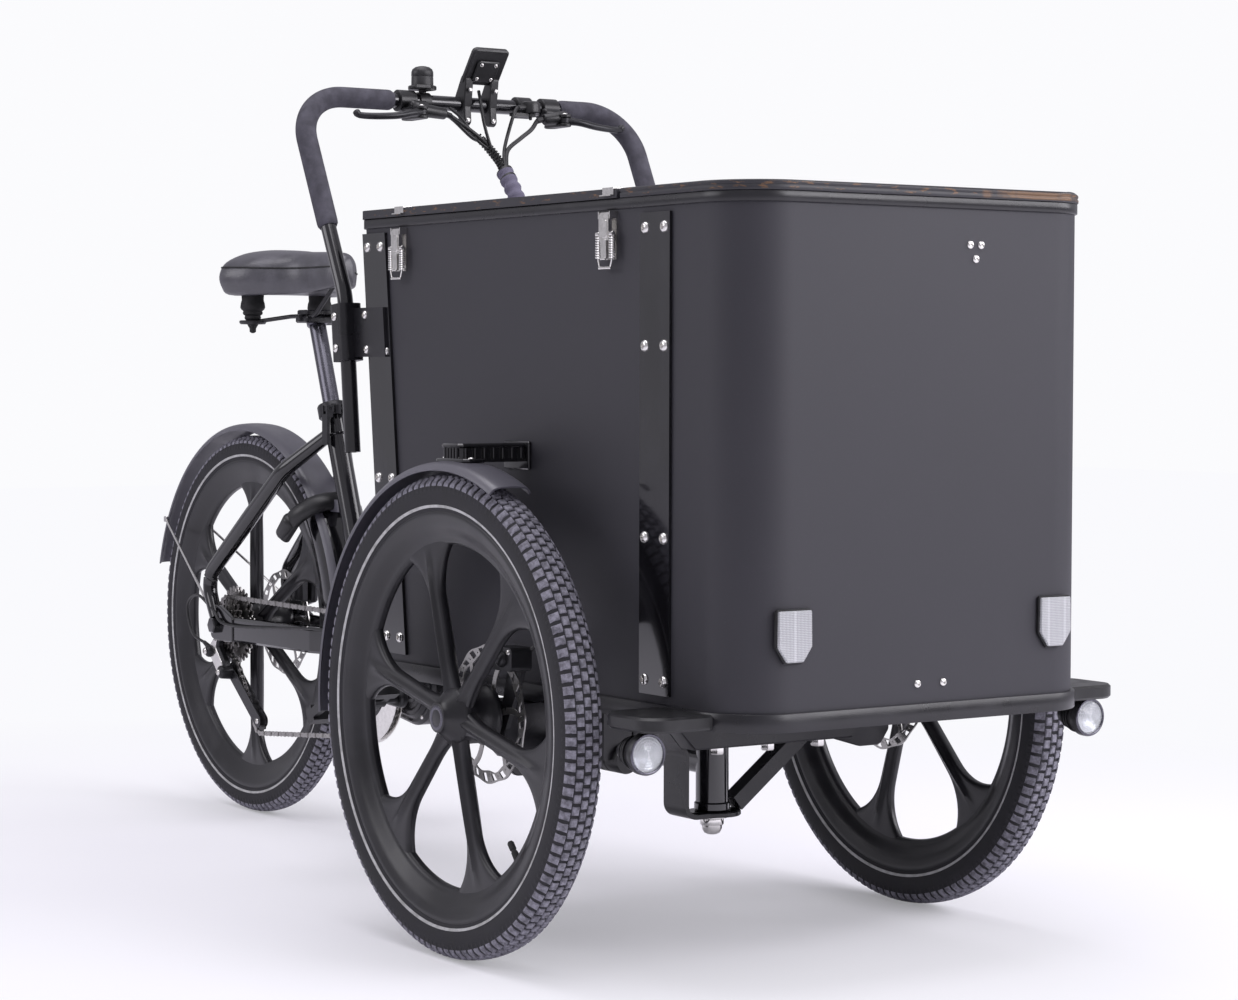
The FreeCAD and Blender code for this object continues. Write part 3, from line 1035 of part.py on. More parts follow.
def pitch_radius(teeth):
    """Radius of a sprocket's pitch circle."""
    return CHAIN_PITCH / 2 / math.sin(math.pi / teeth)


TOOTH = 3.4
ROOT = 3.9
CHAIN_H = 8.0
CHAIN_PLATE_T = 1.6
CHAIN_GAP = 3.6
SPROCKET_T = 2.0
GUARD_T = 2.0
GUARD_OVER = 9.0
CRANK_ARM_T = 12.0
CRANK_ARM_Y = 84.0
PEDAL_L = 104.0
PEDAL_W = 84.0
PEDAL_H = 24.0
PEDAL_GAP = 24.0
PEDAL_AXLE_R = 6.0
chain_y = -CHAIN_LINE


def toothed_disc(centre, teeth, thickness, bore):
    """Sprocket: a disc with one pointed tooth for each link."""
    radius = pitch_radius(teeth)
    points = []
    for i in range(teeth):
        for share, r in ((0.0, radius + TOOTH), (0.5, radius - ROOT)):
            turn = 2 * math.pi * (i + share) / teeth
            points.append(V(centre.x + r * math.cos(turn), centre.y - thickness / 2, centre.z + r * math.sin(turn)))
    disc = prism(points, V(0, thickness, 0))
    return disc.cut(rod(centre - V(0, 20, 0), centre + V(0, 20, 0), bore))


crank_mid = V(CRANK_X, 0, CRANK_Z)
ring_mid = V(CRANK_X, chain_y, CRANK_Z)
RING_BOLT_R = 52.0
ring_teeth = toothed_disc(ring_mid, CHAINRING_TEETH, SPROCKET_T, RING_BOLT_R)
spider = rod(ring_mid - V(0, SPROCKET_T / 2 + 3, 0), ring_mid - V(0, SPROCKET_T / 2, 0), RING_BOLT_R + 6)
chainring = fuse(ring_teeth, spider.cut(rod(ring_mid - V(0, 20, 0), ring_mid + V(0, 20, 0), SPINDLE_R)))
guard_r = pitch_radius(CHAINRING_TEETH) + GUARD_OVER
guard_in_r = pitch_radius(CHAINRING_TEETH) - 3 * GUARD_OVER
chain_half = CHAIN_GAP / 2 + CHAIN_PLATE_T
guard_y = chain_half + 1.2
guard_hole = rod(ring_mid - V(0, 20, 0), ring_mid + V(0, 20, 0), guard_in_r)
guard_out = rod(ring_mid - V(0, guard_y + GUARD_T, 0), ring_mid - V(0, guard_y, 0), guard_r).cut(guard_hole)
guard_in = rod(ring_mid + V(0, guard_y, 0), ring_mid + V(0, guard_y + GUARD_T, 0), guard_r).cut(guard_hole)
guard_posts = [rod(ring_mid + V(0, -guard_y, 0), ring_mid + V(0, guard_y, 0), 4).translated(
    V((guard_in_r + 6) * math.cos(math.radians(72 * i)), 0, (guard_in_r + 6) * math.sin(math.radians(72 * i)))) for i in range(5)]
chain_guard = fuse(guard_out, guard_in, *guard_posts).cut(ring_teeth)


def crank_arm(side, turn):
    """Tapered arm from the spindle to the pedal eye, with the half spindle inside the housing."""
    y_in = side * CRANK_ARM_Y
    y_out = side * (CRANK_ARM_Y + CRANK_ARM_T)
    low, high = min(y_in, y_out), max(y_in, y_out)
    eye_x = CRANK_X + CRANK_LENGTH
    boss = rod(V(CRANK_X, low, CRANK_Z), V(CRANK_X, high, CRANK_Z), 19)
    eye = rod(V(eye_x, low, CRANK_Z), V(eye_x, high, CRANK_Z), 14)
    arm = side_prism([(CRANK_X, CRANK_Z - 16), (eye_x, CRANK_Z - 11), (eye_x, CRANK_Z + 11), (CRANK_X, CRANK_Z + 16)], low, high)
    pedal_end = y_out + side * (PEDAL_GAP + PEDAL_L - 6)
    axle = rod(V(eye_x, y_in, CRANK_Z), V(eye_x, pedal_end, CRANK_Z), PEDAL_AXLE_R)
    return turned(fuse(boss, eye, arm, axle), -turn, crank_mid)


spindle = rod(V(CRANK_X, -CRANK_ARM_Y, CRANK_Z), V(CRANK_X, CRANK_ARM_Y, CRANK_Z), SPINDLE_R)
crank_right = fuse(crank_arm(-1, CRANK_ANGLE), spindle)
crank_left = crank_arm(1, CRANK_ANGLE + 180)


def pedal(side, turn):
    """Platform pedal: a barrel on the axle and two ribbed treads joined by end bars."""
    start = side * (CRANK_ARM_Y + CRANK_ARM_T + PEDAL_GAP)
    end = start + side * PEDAL_L
    low, high = min(start, end), max(start, end)
    eye = V(CRANK_X + CRANK_LENGTH, 0, CRANK_Z)
    barrel = rod(V(eye.x, low, eye.z), V(eye.x, high, eye.z), PEDAL_AXLE_R + 5)
    treads = [block((eye.x + s * PEDAL_W / 2 - 9, eye.x + s * PEDAL_W / 2 + 9), (low, high),
                    (eye.z - PEDAL_H / 2, eye.z + PEDAL_H / 2)) for s in (-1, 1)]
    bars = [block((eye.x - PEDAL_W / 2, eye.x + PEDAL_W / 2), (y, y + 10), (eye.z - 7, eye.z + 7)) for y in (low, high - 10)]
    bore = true_rod(V(eye.x, low - 5, eye.z), V(eye.x, high + 5, eye.z), PEDAL_AXLE_R + RUN_GAP)
    shape = fuse(barrel, *treads, *bars).cut(bore)
    placed = turned(shape, -turn, crank_mid)
    centre = turned(Part.Vertex(eye), -turn, crank_mid).Point
    return turned(placed, turn - 28, centre)


pedal_right = pedal(-1, CRANK_ANGLE)
pedal_left = pedal(1, CRANK_ANGLE + 180)

# Chain path: (centre x, centre z, pitch radius, turning sense) of the four wheels it runs on

JOCKEY_UP = (REAR_X + 14.0, REAR_TYRE_R - 78.0)
JOCKEY_LOW = (REAR_X + 112.0, REAR_TYRE_R - 152.0)
run_wheels = [(REAR_X, REAR_TYRE_R, pitch_radius(SPROCKET_TEETH), -1),
              (CRANK_X, CRANK_Z, pitch_radius(CHAINRING_TEETH), -1),
              (JOCKEY_LOW[0], JOCKEY_LOW[1], pitch_radius(JOCKEY_TEETH), -1),
              (JOCKEY_UP[0], JOCKEY_UP[1], pitch_radius(JOCKEY_TEETH), 1)]


def chain_tangents(offset):
    """Straight runs of the chain at an offset from its pitch line: (first point, last point) each."""
    runs = []
    for (x1, z1, r1, s1), (x2, z2, r2, s2) in zip(run_wheels, run_wheels[1:] + run_wheels[:1]):
        a = s1 * (r1 - s1 * offset)
        b = s2 * (r2 - s2 * offset)
        reach = math.hypot(x2 - x1, z2 - z1)
        turn = math.atan2(z2 - z1, x2 - x1) + math.asin((a - b) / reach)
        nx, nz = math.sin(turn), -math.cos(turn)
        runs.append((V(x1 + a * nx, 0, z1 + a * nz), V(x2 + b * nx, 0, z2 + b * nz)))
    return runs


def chain_wire(offset, y):
    """Closed loop of straight runs and arcs."""
    runs = chain_tangents(offset)
    edges = []
    for i, (first, last) in enumerate(runs):
        x, z, r, sense = run_wheels[(i + 1) % 4]
        nxt = runs[(i + 1) % 4][0]
        centre = V(x, 0, z)
        start = math.atan2(last.z - z, last.x - x)
        stop = math.atan2(nxt.z - z, nxt.x - x)
        sweep_turn = (stop - start) * sense % (2 * math.pi) * sense
        radius = (last - centre).Length
        mid = V(x + radius * math.cos(start + sweep_turn / 2), 0, z + radius * math.sin(start + sweep_turn / 2))
        up = V(0, y, 0)
        edges.append(Part.makeLine(first + up, last + up))
        edges.append(Part.Arc(last + up, mid + up, nxt + up).toShape())
    return Part.Wire(edges)


def chain_band(y_low):
    """One side plate band of the chain."""
    outer = Part.Face(chain_wire(CHAIN_H / 2, y_low)).extrude(V(0, CHAIN_PLATE_T, 0))
    inner = Part.Face(chain_wire(-CHAIN_H / 2, y_low)).extrude(V(0, CHAIN_PLATE_T, 0))
    return outer.cut(inner)


chain_bands = [chain_band(chain_y - chain_half), chain_band(chain_y + CHAIN_GAP / 2)]
rollers = []
for first, last in chain_tangents(0)[:2]:
    links = int((last - first).Length / CHAIN_PITCH / 4)
    for i in range(1, links):
        spot = first + (last - first) * (i / links) + V(0, chain_y, 0)
        rollers.append(rod(spot - V(0, chain_half, 0), spot + V(0, chain_half, 0), 3.0))
chain = fuse(*chain_bands, *rollers)

CASSETTE_STEP = 4.4
CASSETTE_R_STEP = 4.5
cassette_mid = V(REAR_X, chain_y, REAR_TYRE_R)
cassette_teeth = toothed_disc(cassette_mid, SPROCKET_TEETH, SPROCKET_T, AXLE_R + RUN_GAP)
cassette_core = ring(cassette_mid - V(0, 9, 0), cassette_mid + V(0, 15, 0), 17, AXLE_R + RUN_GAP)
cassette_discs = [rod(cassette_mid + V(0, CASSETTE_STEP * i - 0.9, 0), cassette_mid + V(0, CASSETTE_STEP * i + 0.9, 0),
                      pitch_radius(SPROCKET_TEETH) + CASSETTE_R_STEP * i - (5.5 if i < 0 else -2.5)) for i in (-1, 2, 3)]
cassette_bore = true_rod(cassette_mid - V(0, 30, 0), cassette_mid + V(0, 30, 0), AXLE_R + RUN_GAP)
cassette = fuse(cassette_teeth, cassette_core, *cassette_discs).cut(cassette_bore)


def jockey(place):
    """Guide wheel of the derailleur on a wide hub."""
    mid = V(place[0], chain_y, place[1])
    teeth = toothed_disc(mid, JOCKEY_TEETH, SPROCKET_T, 3.0)
    hub = ring(mid - V(0, 4.5, 0), mid + V(0, 4.5, 0), 8, 3.0)
    return fuse(teeth, hub).cut(true_rod(mid - V(0, 9, 0), mid + V(0, 9, 0), 2.5 + RUN_GAP))


jockey_upper = jockey(JOCKEY_UP)
jockey_lower = jockey(JOCKEY_LOW)
CAGE_T = 2.0
CAGE_HALF = 5.4
up_mid = V(JOCKEY_UP[0], chain_y, JOCKEY_UP[1])
low_mid = V(JOCKEY_LOW[0], chain_y, JOCKEY_LOW[1])


def cage_plate(y_low):
    """Oblong plate from one guide wheel to the other."""
    way = low_mid - up_mid
    side = V(-way.z, 0, way.x).normalize() * 9
    shift = V(0, y_low - chain_y, 0)
    bar = prism([up_mid + side + shift, up_mid - side + shift, low_mid - side + shift, low_mid + side + shift], V(0, CAGE_T, 0))
    ends = [rod(p + shift, p + shift + V(0, CAGE_T, 0), 11) for p in (up_mid, low_mid)]
    return fuse(bar, *ends)


cage_pins = [rod(p - V(0, CAGE_HALF + CAGE_T, 0), p + V(0, CAGE_HALF + CAGE_T, 0), 2.5) for p in (up_mid, low_mid)]
mech_y = (chain_y - CAGE_HALF - CAGE_T - 16, chain_y - CAGE_HALF - CAGE_T)
mech_body = side_prism([(REAR_X - 18, REAR_TYRE_R - 20), (REAR_X - 46, REAR_TYRE_R - 44), (JOCKEY_UP[0] - 16, JOCKEY_UP[1] - 10),
                        (JOCKEY_UP[0] + 14, JOCKEY_UP[1] - 6), (JOCKEY_UP[0] + 2, JOCKEY_UP[1] + 20), (REAR_X - 8, REAR_TYRE_R - 34),
                        (REAR_X + 6, REAR_TYRE_R - 23)], mech_y[0], mech_y[1])
derailleur = fuse(cage_plate(chain_y - CAGE_HALF - CAGE_T), cage_plate(chain_y + CAGE_HALF), mech_body, *cage_pins).cut(rear_stays)

# Rear fender, wire stays, ring lock, rear caliper

REAR_FENDER_W = 62.0
REAR_FENDER_NOSE = 4.0
rear_fender = fender(REAR_X, 0, REAR_TYRE_R, REAR_FENDER_R, REAR_FENDER_W, REAR_FENDER_NOSE, FENDER_TAIL_ANGLE)
fender_lug = block((on_seat_line(REAR_TYRE_R + 210).x - 60, on_seat_line(REAR_TYRE_R + 210).x + 5), (-9, 9),
                   (REAR_TYRE_R + 200, REAR_TYRE_R + 220))
fender_lug = fender_lug.cut(rod(V(REAR_X, -50, REAR_TYRE_R), V(REAR_X, 50, REAR_TYRE_R), REAR_FENDER_R + 1)).cut(
    rod(on_seat_line(SEAT_TUBE_LOW_Z), seat_mouth, SEAT_TUBE_R))
rear_fender = fuse(rear_fender, fender_lug)
WIRE_R = 2.5
WIRE_ANGLE = 150.0
wire_reach = REAR_FENDER_R - FENDER_LIP + 3
wire_top = V(REAR_X + wire_reach * math.cos(math.radians(WIRE_ANGLE)), -REAR_FENDER_W / 2 - WIRE_R,
             REAR_TYRE_R + wire_reach * math.sin(math.radians(WIRE_ANGLE)))
wire_foot = V(REAR_X - 14, -DROPOUT_Y - DROPOUT_T - WIRE_R, REAR_TYRE_R + 26)
wire = rod(wire_foot, wire_top, WIRE_R)
wire_eye = rod(V(wire_foot.x, -DROPOUT_Y - DROPOUT_T - 2 * WIRE_R, wire_foot.z), V(wire_foot.x, -DROPOUT_Y - DROPOUT_T, wire_foot.z), 6)
wire_clip = block((wire_top.x - 5, wire_top.x + 5), (-REAR_FENDER_W / 2 - 2 * WIRE_R, -REAR_FENDER_W / 2), (wire_top.z - 5, wire_top.z + 5))
wire_stay = fuse(wire, wire_eye, wire_clip).cut(rear_stays).cut(rear_fender)
fender_wires = pair(wire_stay)

LOCK_ANGLE = 38.0
LOCK_IN_R = 49.0
LOCK_OUT_R = 63.0
LOCK_T = 22.0
LOCK_LEG = 36.0
lock_mid = V(REAR_X, 0, REAR_TYRE_R + REAR_TYRE_R - 20)
lock_arch = ring(lock_mid - V(LOCK_T / 2, 0, 0), lock_mid + V(LOCK_T / 2, 0, 0), LOCK_OUT_R, LOCK_IN_R).common(
    block((REAR_X - 50, REAR_X + 50), (-100, 100), (lock_mid.z, lock_mid.z + 100)))
lock_legs = [block((REAR_X - LOCK_T / 2, REAR_X + LOCK_T / 2), (min(s * LOCK_IN_R, s * LOCK_OUT_R), max(s * LOCK_IN_R, s * LOCK_OUT_R)),
                   (lock_mid.z - LOCK_LEG, lock_mid.z)) for s in (-1, 1)]
lock_upright = fuse(lock_arch, *lock_legs)
ring_lock = turned(lock_upright, 90 - LOCK_ANGLE, V(REAR_X, 0, REAR_TYRE_R)).cut(rear_stays).cut(rear_fender)

rear_caliper_mid = V(REAR_X + 66, REAR_DISC_Y, REAR_TYRE_R + 58)
rear_caliper_body = block((rear_caliper_mid.x - 16, rear_caliper_mid.x + 20), (REAR_DISC_Y - 8, REAR_DISC_Y + 20),
                          (rear_caliper_mid.z - 20, rear_caliper_mid.z + 20))
rear_slot = rod(V(REAR_X, REAR_DISC_Y - CALIPER_SLOT, REAR_TYRE_R), V(REAR_X, REAR_DISC_Y + CALIPER_SLOT, REAR_TYRE_R), DISC_R + 4)
rear_arm = side_prism([(REAR_X + 8, REAR_TYRE_R + 20), (rear_caliper_mid.x + 16, rear_caliper_mid.z - 20),
                       (rear_caliper_mid.x - 10, rear_caliper_mid.z + 18), (REAR_X + 2, REAR_TYRE_R + 34)],
                      REAR_DISC_Y + 8, DROPOUT_Y)
rear_caliper = fuse(rear_caliper_body.cut(rear_slot), rear_arm).cut(rear_stays)

# Seat post, clamp with quick release, saddle

POST_TOP = 138.0
POST_INSERT = 150.0
COLLAR_R = 24.0
COLLAR_H = 20.0
QR_EAR_HALF = 13.0
QR_SKEWER_R = 3.0
QR_PIN_R = 2.2
post_foot = seat_mouth - seat_dir * POST_INSERT
post_head = seat_mouth + seat_dir * POST_TOP
seat_post = true_rod(post_foot, post_head, POST_R)
collar_low = seat_mouth - seat_dir * COLLAR_H
seat_collar_ring = ring(collar_low, seat_mouth, COLLAR_R, SEAT_TUBE_R)
qr_mid = seat_mouth - seat_dir * (COLLAR_H / 2) + V(COLLAR_R + 4, 0, 4)
qr_ears = block((qr_mid.x - 16, qr_mid.x + 7), (-QR_EAR_HALF, QR_EAR_HALF), (qr_mid.z - 8, qr_mid.z + 8)).cut(rod(collar_low - seat_dir * 20, seat_mouth + seat_dir * 20, SEAT_TUBE_R))
QR_CAM_Y = -(QR_EAR_HALF + 11.0)
QR_EYE_HALF = 4.0
QR_CHEEK_T = 4.0
qr_skewer = rod(qr_mid - V(0, QR_EAR_HALF + 2, 0), qr_mid + V(0, QR_EAR_HALF + 9, 0), QR_SKEWER_R)
qr_eye = block((qr_mid.x - QR_EYE_HALF, qr_mid.x + QR_EYE_HALF), (QR_CAM_Y - 5, -QR_EAR_HALF),
               (qr_mid.z - 5, qr_mid.z + 5))
cam_mid = V(qr_mid.x, QR_CAM_Y, qr_mid.z)
cam_reach = V(QR_EYE_HALF + RUN_GAP + QR_CHEEK_T, 0, 0)
cam_pin = rod(cam_mid - cam_reach, cam_mid + cam_reach, QR_PIN_R)
seat_clamp = fuse(seat_collar_ring, qr_ears, qr_skewer, qr_eye, cam_pin)
QR_ARM = 58.0
QR_BLADE_T = 5.0
qr_cheeks = block((cam_mid.x - cam_reach.x, cam_mid.x + cam_reach.x), (cam_mid.y - 6, cam_mid.y + 5),
                  (cam_mid.z - 14, cam_mid.z + 5))
qr_slot = block((cam_mid.x - QR_EYE_HALF - RUN_GAP, cam_mid.x + QR_EYE_HALF + RUN_GAP),
                (cam_mid.y - 20, cam_mid.y + 20), (cam_mid.z - 9, cam_mid.z + 20))
qr_blade = block((cam_mid.x - cam_reach.x, cam_mid.x + cam_reach.x), (cam_mid.y - 6, cam_mid.y - 6 + QR_BLADE_T),
                 (cam_mid.z - QR_ARM, cam_mid.z - 12))
qr_bore = true_rod(cam_mid - cam_reach * 2, cam_mid + cam_reach * 2, QR_PIN_R + RUN_GAP)
qr_lever = fuse(qr_cheeks.cut(qr_slot), qr_blade).cut(qr_bore)

SADDLE_L = 262.0
SADDLE_W = 226.0
SADDLE_NOSE_AHEAD = 64.0
SADDLE_SKIRT = 62.0
saddle_nose_x = SEAT_CLAMP_X + SADDLE_NOSE_AHEAD
SADDLE_STATIONS = ((0.0, 0.12, 0.28, 0.76), (0.05, 0.22, 0.16, 0.86), (0.42, 0.30, 0.10, 0.96),
                   (0.68, 0.82, 0.04, 1.0), (0.88, 1.0, 0.0, 1.0), (1.0, 0.80, 0.14, 0.84))


def saddle_section(share, width, dip, skirt):
    """Cross-section of the cushion: crowned top, drawn-in flanks and a flat underside."""
    x = saddle_nose_x - SADDLE_L * share
    half = SADDLE_W / 2 * width
    top = SEAT_TOP_Z - SADDLE_SKIRT * dip
    low = SEAT_TOP_Z - SADDLE_SKIRT * skirt
    crown = [(0.86, 0.0), (1.0, 0.42), (0.88, 0.72), (0.5, 0.94), (0.0, 1.0)]
    right = [V(x, -half * side, low + (top - low) * rise) for side, rise in crown]
    left = [V(x, -point.y, point.z) for point in reversed(right[:-1])]
    return Part.makePolygon(right + left + [right[0]])


saddle = Part.makeLoft([saddle_section(*row) for row in SADDLE_STATIONS], True, True)
SADDLE_LOW_Z = SEAT_TOP_Z - SADDLE_SKIRT
RAIL_R = 3.5
RAIL_Y = 22.0
RAIL_Z = post_head.z + 14
SPRING_Y = 62.0
SPRING_X = saddle_nose_x - 0.84 * SADDLE_L
SPRING_R = 19.0
SPRING_LOW_Z = RAIL_Z - 28
rail_nose = V(saddle_nose_x - 0.1 * SADDLE_L, -8, SEAT_TOP_Z - 0.86 * SADDLE_SKIRT)
rail_points = [rail_nose, V(saddle_nose_x - 0.3 * SADDLE_L, -RAIL_Y, RAIL_Z), V(saddle_nose_x - 0.62 * SADDLE_L, -RAIL_Y, RAIL_Z),
               V(SPRING_X, -SPRING_Y, SPRING_LOW_Z - 3)]
rail_right = pipe(rail_points, [20.0, 20.0], RAIL_R)
spring_cup = rod(V(SPRING_X, -SPRING_Y, SPRING_LOW_Z - 6), V(SPRING_X, -SPRING_Y, SPRING_LOW_Z), SPRING_R + 2)
clamp_head = block((post_head.x - 20, post_head.x + 20), (-RAIL_Y - 9, RAIL_Y + 9), (RAIL_Z - 11, RAIL_Z + 11))
clamp_head = clamp_head.makeFillet(7, [e for e in clamp_head.Edges if abs(e.tangentAt(0).y) > 0.9])
saddle_rails = fuse(rail_right, mirrored(rail_right), spring_cup, mirrored(spring_cup), clamp_head).cut(seat_post).cut(saddle)
SPRING_RIBS = 3
spring_step = (SADDLE_LOW_Z - SPRING_LOW_Z) / SPRING_RIBS


def rubber_spring():
    """Ribbed rubber cone between the rail cup and the saddle base."""
    ribs = []
    for i in range(SPRING_RIBS):
        low = V(SPRING_X, -SPRING_Y, SPRING_LOW_Z + spring_step * i)
        radius = SPRING_R - 2.0 * i
        ribs.append(taper(low, low + V(0, 0, spring_step), radius, radius - 5))
    return fuse(*ribs)


spring_right = rubber_spring().cut(saddle).cut(saddle_rails)
saddle_springs = pair(spring_right)

# Cable duct under the right edge of the floor, held by the axle beam and a hanger

DUCT_R = 16.0
DUCT_CAP_R = 18.0
DUCT_CAP_L = 52.0
DUCT_Y = BOX_HALF - 56.0
DUCT_Z = BASE_LOW_Z - 65.0
DUCT_BACK = 140.0
DUCT_FRONT = 116.0
HANGER_REACH = 132.0
HANGER_L = 26.0
HANGER_IN = 12.0
duct_start = V(AXLE_X - DUCT_BACK, -DUCT_Y, DUCT_Z)
duct_end = V(AXLE_X + DUCT_FRONT, -DUCT_Y, DUCT_Z)
cap_end = duct_end + V(DUCT_CAP_L, 0, 0)
cable_duct = fuse(rod(duct_start, duct_end, DUCT_R), rod(duct_end, cap_end, DUCT_CAP_R))
duct_hanger = block((AXLE_X + HANGER_REACH, AXLE_X + HANGER_REACH + HANGER_L), (-inside_y - 4, -DUCT_Y + HANGER_IN),
                    (DUCT_Z, BASE_LOW_Z))
base_frame = fuse(base_frame, duct_hanger.cut(cable_duct))
axle_beam = axle_beam.cut(cable_duct)

NODES = {
    "frame_spine": frame_spine,
    "rear_stays": Part.makeCompound([rear_stays, rear_caliper]),
    "motor_housing": motor_housing,
    "rear_fender": Part.makeCompound([rear_fender, fender_wires]),
    "ring_lock": ring_lock,
    "seat_clamp": seat_clamp,
    "derailleur": derailleur,
    "chain": chain,
    "qr_lever": qr_lever,
    "seat_post": seat_post,
    "saddle_rails": saddle_rails,
    "saddle_springs": saddle_springs,
    "saddle": saddle,
    "chainring": Part.makeCompound([chainring, chain_guard]),
    "cranks": Part.makeCompound([crank_right, crank_left]),
    "pedal_right": pedal_right,
    "pedal_left": pedal_left,
    "cassette": cassette,
    "jockey_upper": jockey_upper,
    "jockey_lower": jockey_lower,
    "wheel_rear": wheel_rear,
    "tyre_rear": tyre_rear,
    "disc_rear": disc_rear,
    "base_frame": base_frame,
    "pivot_yoke": Part.makeCompound([pivot_yoke, kingpin]),
    "axle_beam": axle_beam,
    "box_walls": box_walls,
    "box_floor": box_floor,
    "box_rim": box_rim,
    "lid_front": lid_front,
    "box_hardware": Part.makeCompound([lid_hinges, latch_bases]),
    "side_strips": side_strips,
    "reflectors": Part.makeCompound([reflectors, lamp_lenses]),
    "corner_lamps": Part.makeCompound([corner_plates, headlamps]),
    "front_fenders": Part.makeCompound([front_fenders, fender_brackets]),
    "front_calipers": front_calipers,
    "handlebar": handlebar,
    "grips": grips,
    "bar_clamps": bar_clamps,
    "bar_controls": Part.makeCompound([brake_perches, bell, shifter]),
    "display": display,
    "cable_loom": cable_loom,
    "lid_rear": lid_rear,
    "lid_keepers": lid_keepers,
    "latch_lever_front": latch_lever(latch_x["front"]),
    "latch_lever_rear": latch_lever(latch_x["rear"]),
    "latch_loop_front": latch_loop(latch_x["front"]),
    "latch_loop_rear": latch_loop(latch_x["rear"]),
    "brake_lever_right": brake_lever(PERCH_PLACES["right"], -1),
    "brake_lever_left": brake_lever(PERCH_PLACES["left"], 1),
    "bell_striker": bell_striker,
    "shift_lever": shift_lever,
    "wheel_right": turned(wheel_front_right, RIGHT_WHEEL_TURN, front_axle_mid),
    "tyre_right": tyre_front_right,
    "disc_right": disc_front_right,
    "wheel_left": turned(mirrored(wheel_front_right), LEFT_WHEEL_TURN, front_axle_mid),
    "tyre_left": mirrored(tyre_front_right),
    "disc_left": mirrored(disc_front_right),
    "cable_duct": cable_duct,
}
for name, shape in NODES.items():
    shape.exportStep("parts/" + name + ".step")
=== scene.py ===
"""Looks of a front-loading cargo tricycle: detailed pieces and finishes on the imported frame."""
import json
import math

import bpy
import numpy as np
from mathutils import Matrix, Vector


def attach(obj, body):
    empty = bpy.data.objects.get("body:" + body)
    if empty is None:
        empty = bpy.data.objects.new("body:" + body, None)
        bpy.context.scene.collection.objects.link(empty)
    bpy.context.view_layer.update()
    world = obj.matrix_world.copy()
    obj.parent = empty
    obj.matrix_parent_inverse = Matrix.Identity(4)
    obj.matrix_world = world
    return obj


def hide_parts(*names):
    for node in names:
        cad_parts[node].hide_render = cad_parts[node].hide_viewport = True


bl_info = {
    "name": "Cargo tricycle looks",
    "version": (1, 0, 0),
    "blender": (4, 5, 0),
    "location": "3D View > Sidebar > Tricycle",
    "description": "Dresses the frame of a front-loading cargo tricycle with detailed pieces and finishes",
    "category": "Object",
}

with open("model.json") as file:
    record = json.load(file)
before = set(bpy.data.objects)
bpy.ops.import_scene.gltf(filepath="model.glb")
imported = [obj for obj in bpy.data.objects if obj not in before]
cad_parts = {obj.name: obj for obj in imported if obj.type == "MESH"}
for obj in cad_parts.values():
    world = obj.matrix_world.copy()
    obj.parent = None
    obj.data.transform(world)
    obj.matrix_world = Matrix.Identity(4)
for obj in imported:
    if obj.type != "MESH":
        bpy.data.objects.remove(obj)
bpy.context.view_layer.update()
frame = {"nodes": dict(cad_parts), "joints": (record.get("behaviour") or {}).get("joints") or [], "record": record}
PIVOT = {j["name"]: np.array(j.get("pos_m", (0, 0, 0)), float) * 1000 for j in frame["joints"]}
X, Y, Z = np.eye(3)
AXLE = PIVOT["right_wheel_spin"] * (1, 0, 1)
REAR = PIVOT["rear_wheel_spin"]
CRANK = PIVOT["crank_spin"]
BOX_FRONT = AXLE[0] + 480
BOX_REAR_TOP = BOX_FRONT - 904
REAR_LEAN = 59.0
BOX_HALF = 276.0
BOX_LOW, BOX_TOP = 347.0, 941.0
FRONT_TYRE = (307.5, 54.0, 253.5)
REAR_TYRE = (318.0, 46.0, 270.0)
FRONT_DISC, REAR_DISC = 47.1, 53.1
FINISH = {}


class TricycleSizes(bpy.types.PropertyGroup):
    """Sizes that a user may change."""

    tread_blocks: bpy.props.IntProperty(name="Tread blocks", description="Blocks in one row round a tyre",
                                        default=124)
    tread_depth: bpy.props.FloatProperty(name="Tread depth", description="Height of a tread block",
                                         default=0.0026, unit="LENGTH")
    stripe_width: bpy.props.FloatProperty(name="Stripe width",
                                          description="Width of the reflective stripe on a tyre",
                                          default=0.0036, unit="LENGTH")
    spoke_width: bpy.props.FloatProperty(name="Spoke width",
                                         description="Width of a cast spoke at its middle", default=0.025,
                                         unit="LENGTH")
    bolt_head: bpy.props.FloatProperty(name="Bolt head", description="Diameter of a button head on the box",
                                       default=0.0145, unit="LENGTH")
    cable_size: bpy.props.FloatProperty(name="Cable size", description="Diameter of a control cable",
                                        default=0.005, unit="LENGTH")


class TricycleColours(bpy.types.PropertyGroup):
    """Colours that a user may change."""

    panel: bpy.props.FloatVectorProperty(name="Panel", description="Textured box panels", subtype="COLOR",
                                         default=(0.027, 0.0262, 0.0325))
    paint: bpy.props.FloatVectorProperty(name="Paint", description="Powder coat of the frame",
                                         subtype="COLOR", default=(0.009, 0.0087, 0.0108))
    rubber: bpy.props.FloatVectorProperty(name="Rubber", description="Tyres", subtype="COLOR",
                                          default=(0.015, 0.0146, 0.0172))
    ply: bpy.props.FloatVectorProperty(name="Plywood", description="Bare plywood edge of the lid",
                                       subtype="COLOR", default=(0.16, 0.085, 0.04))
    zinc: bpy.props.FloatVectorProperty(name="Zinc", description="Plated steel fittings", subtype="COLOR",
                                        default=(0.62, 0.61, 0.59))


def sizes():
    """The sizes in use, in millimetres by name."""
    group = bpy.context.scene.tricycle_sizes
    names = ("tread_depth", "stripe_width", "spoke_width", "bolt_head", "cable_size")
    return {name: getattr(group, name) * 1000 for name in names}


def unit(vector):
    """The vector at length one."""
    return np.asarray(vector, float) / np.linalg.norm(vector)


